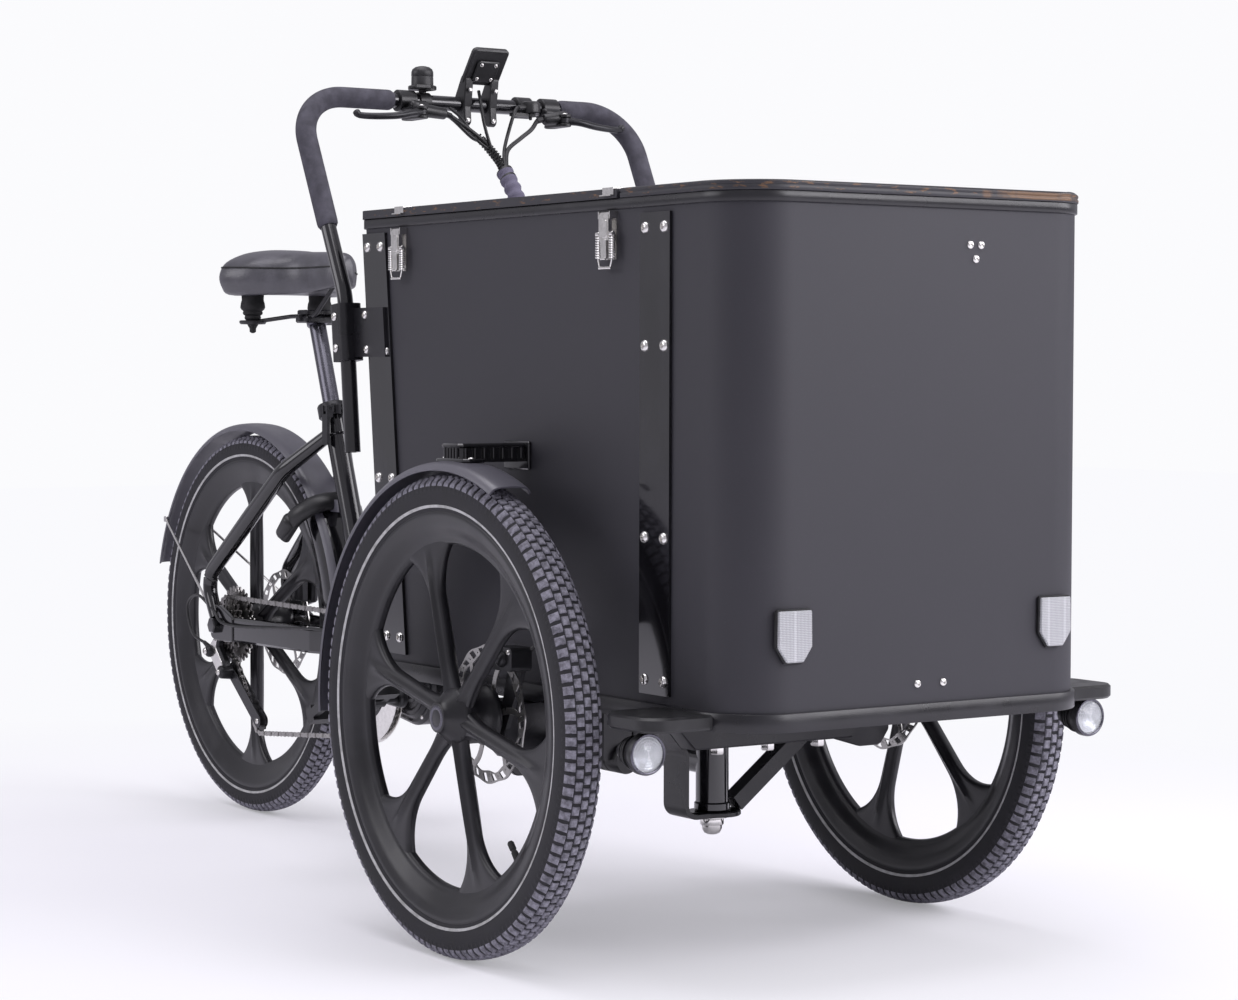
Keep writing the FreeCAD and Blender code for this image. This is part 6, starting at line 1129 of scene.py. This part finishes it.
class TRICYCLE_OT_cables(bpy.types.Operator):
    """Build the control cables, their spiral wrap and the cloth sleeve down to the box"""

    bl_idname = "tricycle.cables"
    bl_label = "Cables"

    def execute(self, context):
        mid = BAR_MID
        thin = sizes()["cable_size"] / 2
        right, left, pod = PIVOT["brake_right"], PIVOT["brake_left"], PIVOT["gear_shift"]
        ends = [(24, 23, 1054), (48, 22, 1030), (70, 22, 1004)]
        runs = [
            (1.3, [right + (-14, 58, -2), right + (-10, 76, -14), mid + (36, 2, -52), (2, 19, 1076), *ends]),
            (1.15, [mid + (20, -62, -10), mid + (34, -44, -26), mid + (40, -14, -52), (-4, 16, 1082), *ends]),
            (0.95, [mid + (18, -40, -8), mid + (30, -26, -24), mid + (36, -4, -54), (4, 22, 1070), *ends]),
            (1.3, [left + (-14, -41, -2), left + (-6, -56, -16), mid + (46, 66, -50), (24, 38, 1072),
                   (36, 28, 1048), *ends[1:]]),
            (1.1, [pod + (8, -28, 3), pod + (16, -40, -10), mid + (42, 44, -52), (26, 30, 1066),
                   (38, 25, 1044), *ends[1:]]),
            (1.0, [mid + (10, 15, 20), mid + (24, 10, 2), mid + (34, 10, -30), (6, 20, 1076), *ends])]
        cables = [tube(even(flowing(run, 90), 3), thin * share, 10, X + 0.3 * Y) for share, run in runs]
        put("control_cables", cables, "casing", "carriage")
        trunk = even(flowing([(48, 22, 1030), (70, 22, 1004), (99.5, 22, 940),
                              (rear_wall(760.0) - 16, 22, 815), (rear_wall(760.0) - 2, 22, 760)], 80), 4)
        put("cable_trunk", tube(trunk, 7.0, 18, Y), "casing", "carriage", ["cable_loom"])
        spine = even(flowing([(-14, 12, 1092), (2, 20, 1074), (24, 23, 1054), (40, 22, 1038)], 60), 0.6)
        turn = np.linspace(0, 13 * 2 * np.pi, len(spine))[:, None]
        along = unit(spine[-1] - spine[0])
        side = unit(np.cross(along, Y))
        coil = spine + 6.4 * (np.cos(turn) * side + np.sin(turn) * np.cross(along, side))
        put("spiral_wrap", tube(coil[::2], 1.5, 7, along), "casing", "carriage")
        cuff = even(flowing([(40, 22, 1039), (56, 22, 1021), (74, 22, 998), (88, 22, 968)], 40), 2)
        swell = 12.0 + 1.1 * np.sin(np.arange(len(cuff)) * 0.8) + np.where(np.arange(len(cuff)) < 2, -3, 0)
        put("cloth_sleeve", tube(cuff, swell, 24, Y), "sleeve_cloth", "carriage")
        ties = [lathe([(10.6, -1.8), (12.9, -1.8), (12.9, 1.8), (10.6, 1.8)], spot, along, 24, True)
                for spot in (cuff[1], cuff[8])]
        put("cable_ties", ties, "moulded", "carriage")
        return {"FINISHED"}


class TRICYCLE_OT_saddle(bpy.types.Operator):
    """Build the padded saddle, its rubber boots and rails, the post and its clamp"""

    bl_idname = "tricycle.saddle"
    bl_label = "Saddle"

    def execute(self, context):
        nose, top = SEAT_MOUTH[0] + 64, SEAT_MOUTH[2] + 254
        table = np.array([(0.0, 0.13, 0.26, 0.78), (0.05, 0.22, 0.17, 0.87), (0.2, 0.265, 0.13, 0.93),
                          (0.42, 0.34, 0.10, 0.97), (0.56, 0.58, 0.07, 0.99), (0.7, 0.86, 0.03, 1.0),
                          (0.86, 1.0, 0.0, 1.0), (0.95, 0.95, 0.04, 0.96), (1.0, 0.78, 0.16, 0.84)])
        rows = flowing(table, 70)
        ring = flowing([(0.84, 0.0), (0.96, 0.16), (1.0, 0.42), (0.9, 0.7), (0.62, 0.9), (0.3, 0.985),
                        (0, 1.0), (-0.3, 0.985), (-0.62, 0.9), (-0.9, 0.7), (-1.0, 0.42), (-0.96, 0.16),
                        (-0.84, 0.0), (-0.4, 0.02), (0.4, 0.02)], 64, closed=True)
        ends = ((0.94, 2.4), (0.8, 4.6), (0.55, 6.2), (0.25, 7.0))
        points = []
        for share, width, dip, skirt in rows:
            low, high = top - 76 * skirt, top - 62 * dip
            points.append(np.stack([np.full(len(ring), nose - 262 * (0.05 + 0.95 * share)),
                                    113 * width * ring[:, 0], low + (high - low) * ring[:, 1]], 1))
        first, last = points[0], points[-1]
        points = [first.mean(0) + (first - first.mean(0)) * k + d * 0.8 * X for k, d in ends[::-1]] + points
        points += [last.mean(0) + (last - last.mean(0)) * k - d * X for k, d in ends]
        cushion = put("saddle_cushion", surface(np.stack(points)), "saddle_hide", "seat",
                      ["saddle"], 60)
        grid = np.stack(points)[4:-4]
        flank = [grid[:, i] * (1, 1.004, 1) for i in (8, 40)]
        put("saddle_piping", [tube(even(line, 4), 1.5, 8, Z) for line in flank], "boot", "seat")

        x, z = nose - 0.84 * 262, 833.43
        boot = lathe([(10, 49), (16, 47), (18.6, 38), (18, 27), (19.6, 22), (20.4, 15), (19, 12), (15.4, 9),
                      (16.4, 6.5), (16, 4), (12.6, 1.5), (13.6, -1.5), (13, -4), (9.6, -7), (10.2, -10),
                      (8.6, -14), (5.5, -19), (5.2, -25), (2, -27)], (x, -62, z), Z, 36)
        put("saddle_boots", boot.both(), "boot", "seat", ["saddle_springs"])
        rail = bends([(nose - 26, -8, top - 53), (nose - 79, -22, z), (nose - 162, -22, z),
                      (x, -62, z - 9)], [20, 20], 10)
        cup = lathe([(4, -13), (20, -12.4), (22, -10), (22, -7), (20, -6), (4, -6)], (x, -62, z), Z, 30)
        head = [slab(POST_HEAD + (-20, -31, 3), POST_HEAD + (20, 31, 13), 5, 2),
                slab(POST_HEAD + (-18, -29, 15), POST_HEAD + (18, 29, 24), 5, 2),
                bar(POST_HEAD + (0, -36, 10), POST_HEAD + (0, 36, 10), 5.5, 6)]
        put("saddle_frame", [tube(rail, 3.5, 14, Z + 0.2 * X).both(), cup.both(), head], "powder_coat",
            "seat", ["saddle_rails"])
        post = lathe([(12.6, -148), (13.6, -147), (13.6, 134), (12.8, 137), (16, 137), (17, 139), (17, 146),
                      (15, 147)], SEAT_MOUTH, SEAT_WAY, 40)
        put("saddle_post", post, "alloy", "seat", ["seat_post"])

        low = SEAT_MOUTH - 20 * SEAT_WAY
        collar = lathe([(17.7, -1), (22.4, -1), (24, 0.6), (24, 18), (22.4, 20.6), (14.2, 20.8),
                        (14.2, 19.6), (17.7, 19.4)], low, SEAT_WAY, 44, True)
        hub = SEAT_MOUTH - 10 * SEAT_WAY + (28, 0, 4)
        parts = [collar, slab(hub - (16, 13, 8), hub + (7, -2, 8), 3, 1.4),
                 slab(hub - (16, -2, 8), hub + (7, 13, 8), 3, 1.4),
                 bar(hub - (0, 15, 0), hub + (0, 17, 0), 3.0),
                 slab(hub + (-4, -29, -5), hub + (4, -13, 5), 2, 0.8),
                 bar(hub + (-8.4, -24, 0), hub + (8.4, -24, 0), 2.2),
                 capsule(hub + (0, 15, 0), hub + (0, 21, 0), 7.5, 6)]
        put("seat_collar", parts, "dark_alloy", "rear_frame", ["seat_clamp"])
        return {"FINISHED"}


class TRICYCLE_OT_rear_frame(bpy.types.Operator):
    """Build the spine, seat tube, stays and dropouts, the drive unit, the wheel lock and the rear caliper"""

    bl_idname = "tricycle.rear_frame"
    bl_label = "Rear frame"

    def execute(self, context):
        pin = PIVOT["steering"]
        deck = seat_line(356.0)
        spine = bends([(pin[0], 0, 232), (CRANK[0] + 260, 0, 232), (CRANK[0] + 150, 0, 356), deck],
                      [70, 70], 14)
        head = lathe([(10.6, -136.6), (22, -136.4), (24, -134), (24, -126), (22, -124), (22, -21),
                      (24, -19), (24, -10.6), (22, -8.6), (10.6, -8.4)], pin, Z, 40)
        weld = lathe([(16, -3), (19.6, -1.6), (20.4, 0), (19.6, 1.6), (16, 3)], seat_line(640.0), SEAT_WAY,
                     36)
        put("spine_tubes", [tube(even(spine, 6), 22, 36, Y), bar(seat_line(300.0), SEAT_MOUTH, 17.5, 36),
                            head, weld], "gloss_black", "rear_frame", ["frame_spine"])

        y = 73.5
        root = seat_line(314.0)
        stay = bends([seat_line(645.0) - 10 * Y, SEAT_MOUTH + (-58, -58, -107), REAR + (-40, -y, 76),
                      REAR + (-4, -y, 12)], [60, 40], 14)
        stay = even(stay, 5)
        plan = [(root[0] + 6, -8), (root[0] - 50, -22), (root[0] - 85, -34), (REAR[0] + 20, -70),
                (REAR[0] + 20, -77), (root[0] - 100, -62), (root[0] - 36, -40), (root[0] + 6, -34)]
        chainstay = plate(round_corners(plan, [2, 20, 20, 2, 2, 20, 14, 4], 5)[::-1], root[2] - 20,
                          root[2] + 20, 4.0, (X, Y), Z)
        drop = [(REAR[0] + 60, root[2] - 20), (REAR[0] + 60, root[2] + 20), (REAR[0] + 12, REAR[2] + 34),
                (REAR[0] - 20, REAR[2] + 34), (REAR[0] - 20, REAR[2] - 22), (REAR[0] + 12, REAR[2] - 26)]
        dropout = plate(round_corners(drop, [4, 4, 14, 9, 9, 10], 6), 70, 77, 1.2, (X, Z), -Y)
        axle = [bar(REAR - 84 * Y, REAR + 84 * Y, 7.4), hexagon(REAR - 77 * Y, -Y, 14, 10),
                hexagon(REAR + 77 * Y, Y, 14, 10)]
        caliper = [slab(REAR + (52, 59, 38), REAR + (86, 73, 78), 7, 3),
                   slab(REAR + (54, 45, 40), REAR + (84, 50, 76), 7, 2),
                   capsule(REAR + (68, 72, 58), REAR + (68, 77, 58), 13, 11),
                   plate([(REAR[0] + 8, REAR[2] + 20), (REAR[0] + 82, REAR[2] + 38),
                          (REAR[0] + 56, REAR[2] + 76), (REAR[0] + 2, REAR[2] + 34)][::-1], 61, 70, 1.5,
                         (X, Z), Y)]
        put("stay_tubes", [tube(stay, 11 + 3 * np.sin(np.linspace(0, np.pi, len(stay))), 26,
                                Z + 0.4 * X).both(), chainstay.both(), dropout.both(), axle], "gloss_black",
            "rear_frame", ["rear_stays"], 40)
        put("rear_caliper", caliper, "dark_alloy", "rear_frame")

        drum = np.array([CRANK[0] + 112, 0, CRANK[2] - 2])
        outline = oval(drum[[0, 2]], 62, CRANK[[0, 2]], 48, 28)
        case = [plate(outline, -36, 36, 5, (X, Z), Y), plate(inset(outline, 10), -42, 42, 5, (X, Z), Y)]
        rings = [lathe([(r, -43 * s), (r + 3, -44.5 * s), (r + 6, -44.5 * s), (r + 9, -43 * s),
                        (r + 9, -38 * s), (r, -38 * s)], drum, Y, 60, True) for r in (18, 36)
                 for s in (-1, 1)]
        collar = [lathe([(12, 40 * s), (22, 40 * s), (22, 45 * s), (20, 47 * s), (12, 47 * s)], CRANK, Y,
                        40, True) for s in (-1, 1)]
        fins = [slab((drum[0] - 46 + 13 * i, -30, drum[2] + 52 - abs(3.2 - i) * 5),
                     (drum[0] - 40 + 13 * i, 30, drum[2] + 66 - abs(3.2 - i) * 7), 2) for i in range(8)]
        hanger = slab((CRANK[0] + 20, -16, CRANK[2] + 30), (CRANK[0] + 112, 16, 350), 6, 3)
        put("drive_case", [case, rings, collar, fins, hanger], "powder_coat", "rear_frame",
            ["motor_housing"], 40)
        bolts = [button(drum - 36 * Y + 54 * radial(a), -Y, 4.0) for a in np.radians(np.arange(-60, 200, 52))]
        put("drive_bolts", [b.both() for b in bolts], "zinc", "rear_frame")

        way = radial(math.radians(38))
        arc = np.linspace(0, np.pi, 26)
        arch = np.concatenate([[(-56, -36)], np.stack([-56 * np.cos(arc), 56 * np.sin(arc)], 1), [(56, -36)]])
        lock = even(REAR + arch[:, 1:] * way + 298 * way + arch[:, :1] * Y, 4)
        shell = tube(lock, 11, 22, np.cross(way, Y))
        across = np.cross(way, Y)
        shell.points += np.outer((shell.points - REAR - 298 * way) @ across * 0.45, across)
        pods = [capsule(REAR + 300 * way + s * 58 * Y, REAR + 266 * way + s * 58 * Y, 15, 13)
                for s in (-1, 1)]
        put("wheel_lock", [shell, pods], "moulded", "rear_frame", ["ring_lock"])
        return {"FINISHED"}


class TRICYCLE_OT_drive(bpy.types.Operator):
    """Build the chain, chainring, guard rings, cranks, sprockets and derailleur"""

    bl_idname = "tricycle.drive"
    bl_label = "Drive"

    def execute(self, context):
        up, low = PIVOT["jockey_upper_spin"], PIVOT["jockey_lower_spin"]
        runs = [(REAR, 46.634, -1), (CRANK, 93.051, -1), (low, 20.549, -1), (up, 20.549, 1)]
        tangents = []
        for (a, r1, s1), (b, r2, s2) in zip(runs, runs[1:] + runs[:1]):
            gap = b - a
            turn = math.atan2(gap[2], gap[0]) + math.asin((s1 * r1 - s2 * r2) / math.hypot(gap[0], gap[2]))
            side = np.array([math.sin(turn), 0, -math.cos(turn)])
            tangents.append((a * (1, 0, 1) + s1 * r1 * side, b * (1, 0, 1) + s2 * r2 * side))
        line = []
        for i, (first, last) in enumerate(tangents):
            centre, radius, sense = runs[(i + 1) % 4]
            after = tangents[(i + 1) % 4][0]
            start = math.atan2(last[2] - centre[2], last[0] - centre[0])
            stop = math.atan2(after[2] - centre[2], after[0] - centre[0])
            sweep = (stop - start) * sense % (2 * np.pi) * sense
            angle = start + sweep * np.linspace(0, 1, 60)[:-1]
            line += [first, *(centre * (1, 0, 1) + radius * radial(angle))]
        line = np.array(line + [line[0]])
        count = 2 * round(np.linalg.norm(np.diff(line, axis=0), axis=1).sum() / 12.7 / 2)
        run = np.concatenate([[0], np.cumsum(np.linalg.norm(np.diff(line, axis=0), axis=1))])
        place = np.linspace(0, run[-1], count, endpoint=False)
        pins = np.stack([np.interp(place, run, line[:, i]) for i in range(3)], 1) + CHAIN_Y * Y
        waist = np.array([(-6.4, -3.9), (-3.2, -3.3), (0, -2.6), (3.2, -3.3), (6.4, -3.9), (9.6, -2.4),
                          (10.3, 0), (9.6, 2.4), (6.4, 3.9), (3.2, 3.3), (0, 2.6), (-3.2, 3.3), (-6.4, 3.9),
                          (-9.6, 2.4), (-10.3, 0), (-9.6, -2.4)])
        links, rollers = [], []
        for i, pin in enumerate(pins):
            after = pins[(i + 1) % count]
            way = unit(after - pin)
            edge = 2.5 if i % 2 else 3.4
            for s in (-1, 1):
                links.append(plate(waist, s * (edge - 0.9), s * edge, s * 0.2, (way, np.cross(way, Y)),
                                   Y).moved(*((pin + after) / 2)))
            rollers += [bar(pin - 3.9 * Y, pin + 3.9 * Y, 1.7, 8, 0.3),
                        bar(pin - 1.6 * Y, pin + 1.6 * Y, 3.6, 10, 0.3)]
        put("chain_links", [links, rollers], "chain_steel", "rear_frame", ["chain"])

        ring = CRANK + CHAIN_Y * Y
        disc = toothed(ring, 46, 92.2, 53, 2.0)
        spider = [plate(oval(CRANK[[0, 2]], 24, CRANK[[0, 2]] + 56 * np.array([math.cos(a), math.sin(a)]),
                             10), 51.5, 55, 1, (X, Z), -Y) for a in np.radians(72 * np.arange(5) + 18)]
        put("chainring_teeth", [disc, spider], "dark_alloy", "crank", ["chainring"])
        guards = [lathe([(66, s * 4.7), (101, s * 4.7), (102, s * 5.2), (102, s * 6.2), (101, s * 6.6),
                         (66, s * 6.6)], ring, Y, 96, True) for s in (-1, 1)]
        posts = [button(ring - 6.4 * Y + 72 * radial(a), -Y, 4.5) for a in np.radians(72 * np.arange(5))]
        put("chain_guards", [guards, posts], "zinc", "crank")
        arms = []
        for name, s in (("right", -1), ("left", 1)):
            eye = PIVOT["pedal_%s_spin" % name]
            span = sorted((s * 84, s * 96))
            arms += [plate(oval(CRANK[[0, 2]], 19, eye[[0, 2]], 14), *span, 3, (X, Z), Y),
                     bar(eye * (1, 0, 1) + s * 82 * Y, eye * (1, 0, 1) + s * 218 * Y, 6),
                     lathe([(5, s * 96), (11, s * 96), (12, s * 97), (11, s * 99), (4, s * 99.4)], CRANK, Y,
                           30)]
        arms.append(bar(CRANK - 84 * Y, CRANK + 84 * Y, 8))
        put("crank_arms", arms, "dark_alloy", "crank", ["cranks"])

        sprockets = ((-2, 15, 31), (-1, 19, 38.8), (0, 23, 45.6), (2, 28, 57), (3, 32, 62))
        stack = [toothed(REAR + (CHAIN_Y + 4.4 * i) * Y, n, r, 17, 1.8) for i, n, r in sprockets]
        core = lathe([(7.9, -10), (14, -10), (16, -9), (17, -8), (17, 15), (7.9, 15)], REAR + CHAIN_Y * Y,
                     Y, 36, True)
        put("sprockets", [stack, core], "chain_steel", "cassette", ["cassette"])
        for name, spot in (("upper", up), ("lower", low)):
            rim = lathe([(3, -4.4), (7.6, -4.4), (8, -4), (8, 4), (7.6, 4.4), (3, 4.4)], spot, Y, 24, True)
            put("guide_wheel_" + name, [toothed(spot, 10, 18.2, 3, 2.0, 1.4), rim], "moulded",
                "jockey_" + name, ["jockey_" + name])
        cage = oval(up[[0, 2]], 11, low[[0, 2]], 11)
        plates = [plate(cage, *span, 0.5, (X, Z), Y) for span in ((-57.4, -55.4), (-44.6, -42.6))]
        heads = [button(spot - 7.4 * Y, -Y, 5) for spot in (up, low)]
        axles = [bar(spot - 7 * Y, spot + 7 * Y, 2.5) for spot in (up, low)]
        shape = [(-18, -20), (-46, -44), (-2, -88), (28, -84), (16, -58), (-8, -34), (6, -23)]
        outline = round_corners(np.array(shape, float) + REAR[[0, 2]], [7, 12, 8, 8, 10, 6, 5], 6)
        mech = plate(outline, 58, 72, 3, (X, Z), -Y)
        knuckle = capsule(REAR + (-30, -60, -46), REAR + (-30, -76, -46), 12, 10)
        lower_pivot = capsule(up + (0, -8, 0), up + (0, -24, 0), 13, 11)
        barrel = capsule(REAR + (-46, -68, -40), REAR + (-62, -68, -34), 4.6, 3.4)
        put("derailleur_cage", [plates, axles, mech, knuckle, lower_pivot, barrel], "dark_alloy",
            "rear_frame", ["derailleur"])
        cover = plate(inset(outline, 4.5), 70, 73.6, 1.2, (X, Z), -Y)
        put("derailleur_plate", cover, "zinc", "rear_frame")
        put("derailleur_bolts", heads + [button(REAR + (-30, -82.6, -46), -Y, 6),
                                         button(up + (0, -30, 0), -Y, 5.4)], "zinc", "rear_frame")
        root = seat_line(314.0)
        cable = flowing([REAR + (-60, -68, -35), REAR + (-104, -70, -20), REAR + (-118, -72, 26),
                         REAR + (-70, -76, 46), REAR + (0, -82, 26), REAR + (60, -80, 4),
                         (root[0] - 90, -62, root[2] + 20), (root[0] - 36, -43, root[2] + 16),
                         (root[0] + 30, -26, root[2] + 30)], 120)
        put("shift_cable", tube(even(cable, 3), sizes()["cable_size"] / 2, 10, Y + 0.2 * Z), "casing",
            "rear_frame")
        return {"FINISHED"}


class TRICYCLE_OT_undercarriage(bpy.types.Operator):
    """Build the duct, the kingpin nut, the zinc bolts and the calipers' fittings under the box"""

    bl_idname = "tricycle.undercarriage"
    bl_label = "Undercarriage"

    def execute(self, context):
        pin = PIVOT["steering"] * (1, 0, 0)
        dome = lathe([(15, 157), (15.8, 155.5), (15.8, 146), (15, 144.6), (13.6, 144.4), (13.2, 139),
                      (10.6, 134), (6, 131.9), (1.5, 131.4)], pin, Z, 36)
        washer = lathe([(11, 157.2), (21, 157.2), (21.4, 156), (21, 154.6), (11, 154.6)], pin, Z, 36)
        nuts = [hexagon((AXLE[0] + 102, y, 256), -Z, 9.5, 9) for y in (-36, 46, 129)]
        put("kingpin_nut", [dome, washer, nuts], "zinc", "carriage")

        x, z = pin[0], 157.0
        strap = bends([(x, -118, 289), (x, -96, 289), (x, -58, 245), (x, -58, z + 3), (x, 0, z + 3)],
                      [16, 16, 16], 8)
        ring = np.array([(-25, -3), (25, -3), (25, 3), (-25, 3)], float)
        along = np.gradient(strap, axis=0)
        along = along / np.linalg.norm(along, axis=1)[:, None]
        over = np.cross(along, X)
        sheet = surface(strap[:, None] + ring[None, :, :1] * X + ring[None, :, 1:] * over[:, None])
        flange = plate(oval((x, -14), 26, (x, 8), 32), z, z + 7, 1.5, (X, Y), Z)
        foot, head = np.array([x, 34, z + 14]), np.array([x, 196, 296.0])
        side = unit(np.cross(head - foot, X)) * 11
        square = np.array([12 * X + side, -12 * X + side, -12 * X - side, 12 * X - side])
        brace = surface(np.stack([foot + square, head + square]))
        bed = slab((AXLE[0] - 20, -118, 292), (x + 74, 215, 300), 4, 1)
        rail = plate([(-118, 300), (-80, 256), (178, 256), (214, 300)], AXLE[0] + 82, AXLE[0] + 116, 2.5,
                     (Y, Z), X)
        put("pivot_frame", [sheet, flange, brace, bed, rail], "powder_coat", "carriage",
            ["pivot_yoke"], 30)
        web = round_corners([(128, 322), (150, 262), (262, 229), (298, 229), (313, 250), (313, 322)],
                            [3, 14, 14, 12, 8, 3], 5)
        put("axle_brackets", plate(web, AXLE[0] + 20, AXLE[0] + 27, 1.2, (Y, Z), X).both(), "powder_coat",
            "carriage")

        start = np.array([AXLE[0] - 140, -220.0, 260.0])
        put("duct_tube", bar(start, start + 256 * X, 16, 36), "alloy", "carriage",
            ["cable_duct"])
        rings = [(16.4, 0), (18.4, 1), (18.4, 9), (16.8, 10.4), (16.8, 12), (18.4, 13.4), (18.4, 22),
                 (16.8, 23.4), (16.8, 25), (18.4, 26.4), (18.4, 49), (17, 52), (4, 52.2)]
        put("duct_cap", lathe(rings, start + 256 * X, X, 40), "moulded", "carriage")

        hub = PIVOT["right_wheel_spin"] + FRONT_DISC * Y
        mid = np.array([AXLE[0] + 57, hub[1], AXLE[2] + 76])
        pads = [capsule(mid + (0, s * 12, 0), mid + (0, s * 17.5, 0), 12, 10) for s in (-1, 1)]
        hose = tube(even(flowing([mid + (18, 14, 10), mid + (34, 24, 22), mid + (30, 40, 10),
                                  mid + (0, 44, -30)], 50), 3), 2.6, 10, X)
        put("caliper_caps", [p.both() for p in pads], "dark_alloy", "carriage")
        put("caliper_hoses", hose.both(), "casing", "carriage")
        put("caliper_bolts", [button(mid + (x, -15, 9), -Y, 4).both() for x in (-15, 15)], "zinc",
            "carriage")
        return {"FINISHED"}


def seen_mix(tree, output, first, second, most=1.0):
    """Links an output to one shader, and in a share to another for rays from the eye or through glass."""
    path = tree.nodes.new("ShaderNodeLightPath")
    eye, clear = (Value(tree, path.outputs[ray]) for ray in ("Is Camera Ray", "Is Transmission Ray"))
    share = most * (eye + clear).between(0.0, 1.0)
    mix = tree.nodes.new("ShaderNodeMixShader")
    for socket, source in zip(mix.inputs, (share.socket, first.outputs[0], second.outputs[0])):
        tree.links.new(source, socket)
    tree.links.new(mix.outputs[0], tree.nodes[output].inputs["Surface"])


class TRICYCLE_OT_stage(bpy.types.Operator):
    """Set the camera, the soft lights, the pale floor and the white backdrop"""

    bl_idname = "tricycle.stage"
    bl_label = "Stage"

    def execute(self, context):
        scene = context.scene
        yaw, pitch, roll = (math.radians(a) for a in (33.935, 2.454, 0.138))
        ahead = np.array([-math.cos(yaw) * math.cos(pitch), math.sin(yaw) * math.cos(pitch),
                          -math.sin(pitch)])
        right0 = np.array([math.sin(yaw), math.cos(yaw), 0])
        up0 = np.cross(right0, ahead)
        right = math.cos(roll) * right0 + math.sin(roll) * up0
        up = -math.sin(roll) * right0 + math.cos(roll) * up0
        lens = bpy.data.cameras.new("camera")
        lens.sensor_fit = "HORIZONTAL"
        lens.sensor_width = 36.0
        lens.lens = 86.27
        lens.clip_end = 100
        camera = bpy.data.objects.new("camera", lens)
        scene.collection.objects.link(camera)
        turn = Matrix(np.stack([right, up, -ahead], 1).tolist()).to_4x4()
        camera.matrix_world = Matrix.Translation((AXLE[0] * 0.001 + 3.2203, -2.2885, 0.7427)) @ turn
        scene.camera = camera

        floor_mesh = bpy.data.meshes.new("floor")
        side = np.array([(-14, -14, 0), (14, -14, 0), (14, 14, 0), (-14, 14, 0)], float)
        floor_mesh.from_pydata(side.tolist(), [], [(0, 1, 2, 3)])
        floor = bpy.data.objects.new("floor", floor_mesh)
        scene.collection.objects.link(floor)
        paper = Finish("studio_paper", (0.93, 0.92, 0.965), 0.9, specular=0.1)
        x, y = paper.axes()[:2]
        far = ((x * x + y * y).root() + paper.noise(0.8, 3.0) * 0.6).between(0.9, 2.4)
        glow = paper.tree.nodes.new("ShaderNodeEmission")
        glow.inputs["Color"].default_value = (0.955, 0.955, 0.985, 1)
        seen_mix(paper.tree, "Material Output", paper.shader, glow, far * 0.75 + 0.25)
        floor_mesh.materials.append(FINISH["studio_paper"])

        world = bpy.data.worlds.new("studio")
        scene.world = world
        world.use_nodes = True
        tree = world.node_tree
        sky = tree.nodes["Background"]
        sky.inputs["Color"].default_value = (0.93, 0.91, 1.0, 1)
        sky.inputs["Strength"].default_value = 0.5
        wall = tree.nodes.new("ShaderNodeBackground")
        wall.inputs["Color"].default_value = (0.965, 0.965, 0.985, 1)
        seen_mix(tree, "World Output", sky, wall)
        lights = (("top", (0.4, -0.4, 3.6), (0.4, 0, 0), 3.4, 2.6, 70),
                  ("left", (2.6, 3.2, 2.2), (0.6, 0.2, 0.6), 2.2, 2.2, 60),
                  ("near", (-1.5, -3.8, 2.4), (0.0, 0, 0.5), 2.6, 2.2, 40),
                  ("front", (4.3, 1.6, 2.4), (1.0, 0, 0.6), 2.0, 2.4, 95))
        for name, spot, aim, wide, tall, power in lights:
            lamp = bpy.data.lights.new("light_" + name, "AREA")
            lamp.shape = "RECTANGLE"
            lamp.size, lamp.size_y, lamp.energy = wide, tall, power
            lamp.color = (0.97, 0.95, 1.0)
            holder = bpy.data.objects.new("light_" + name, lamp)
            scene.collection.objects.link(holder)
            holder.location = spot
            holder.rotation_euler = (Vector(aim) - Vector(spot)).to_track_quat("-Z", "Y").to_euler()
        scene.view_settings.view_transform = "Standard"
        return {"FINISHED"}


class TRICYCLE_PT_panel(bpy.types.Panel):
    """Lists the pieces and the values that a user may change"""

    bl_label = "Cargo tricycle"
    bl_idname = "TRICYCLE_PT_panel"
    bl_space_type = "VIEW_3D"
    bl_region_type = "UI"
    bl_category = "Tricycle"

    def draw(self, context):
        for operator in OPERATORS:
            self.layout.operator(operator.bl_idname)
        for group in (context.scene.tricycle_sizes, context.scene.tricycle_colours):
            for key in type(group).__annotations__:
                self.layout.prop(group, key)


OPERATORS = (TRICYCLE_OT_stage, TRICYCLE_OT_finishes, TRICYCLE_OT_wheels, TRICYCLE_OT_mudguards,
             TRICYCLE_OT_cargo_box, TRICYCLE_OT_latches, TRICYCLE_OT_lamps, TRICYCLE_OT_handlebar,
             TRICYCLE_OT_controls, TRICYCLE_OT_cables, TRICYCLE_OT_saddle, TRICYCLE_OT_rear_frame,
             TRICYCLE_OT_drive, TRICYCLE_OT_undercarriage)
CLASSES = (TricycleSizes, TricycleColours, *OPERATORS, TRICYCLE_PT_panel)


def register():
    """Registers the classes and hangs the two groups of values on the scene."""
    for item in CLASSES:
        bpy.utils.register_class(item)
    bpy.types.Scene.tricycle_sizes = bpy.props.PointerProperty(type=TricycleSizes)
    bpy.types.Scene.tricycle_colours = bpy.props.PointerProperty(type=TricycleColours)


def unregister():
    """Takes the groups and the classes away again."""
    del bpy.types.Scene.tricycle_colours
    del bpy.types.Scene.tricycle_sizes
    for item in reversed(CLASSES):
        bpy.utils.unregister_class(item)


def main():
    """Builds every piece in order."""
    register()
    for operator in OPERATORS:
        group, name = operator.bl_idname.split(".")
        getattr(getattr(bpy.ops, group), name)()


if __name__ == "__main__":
    main()
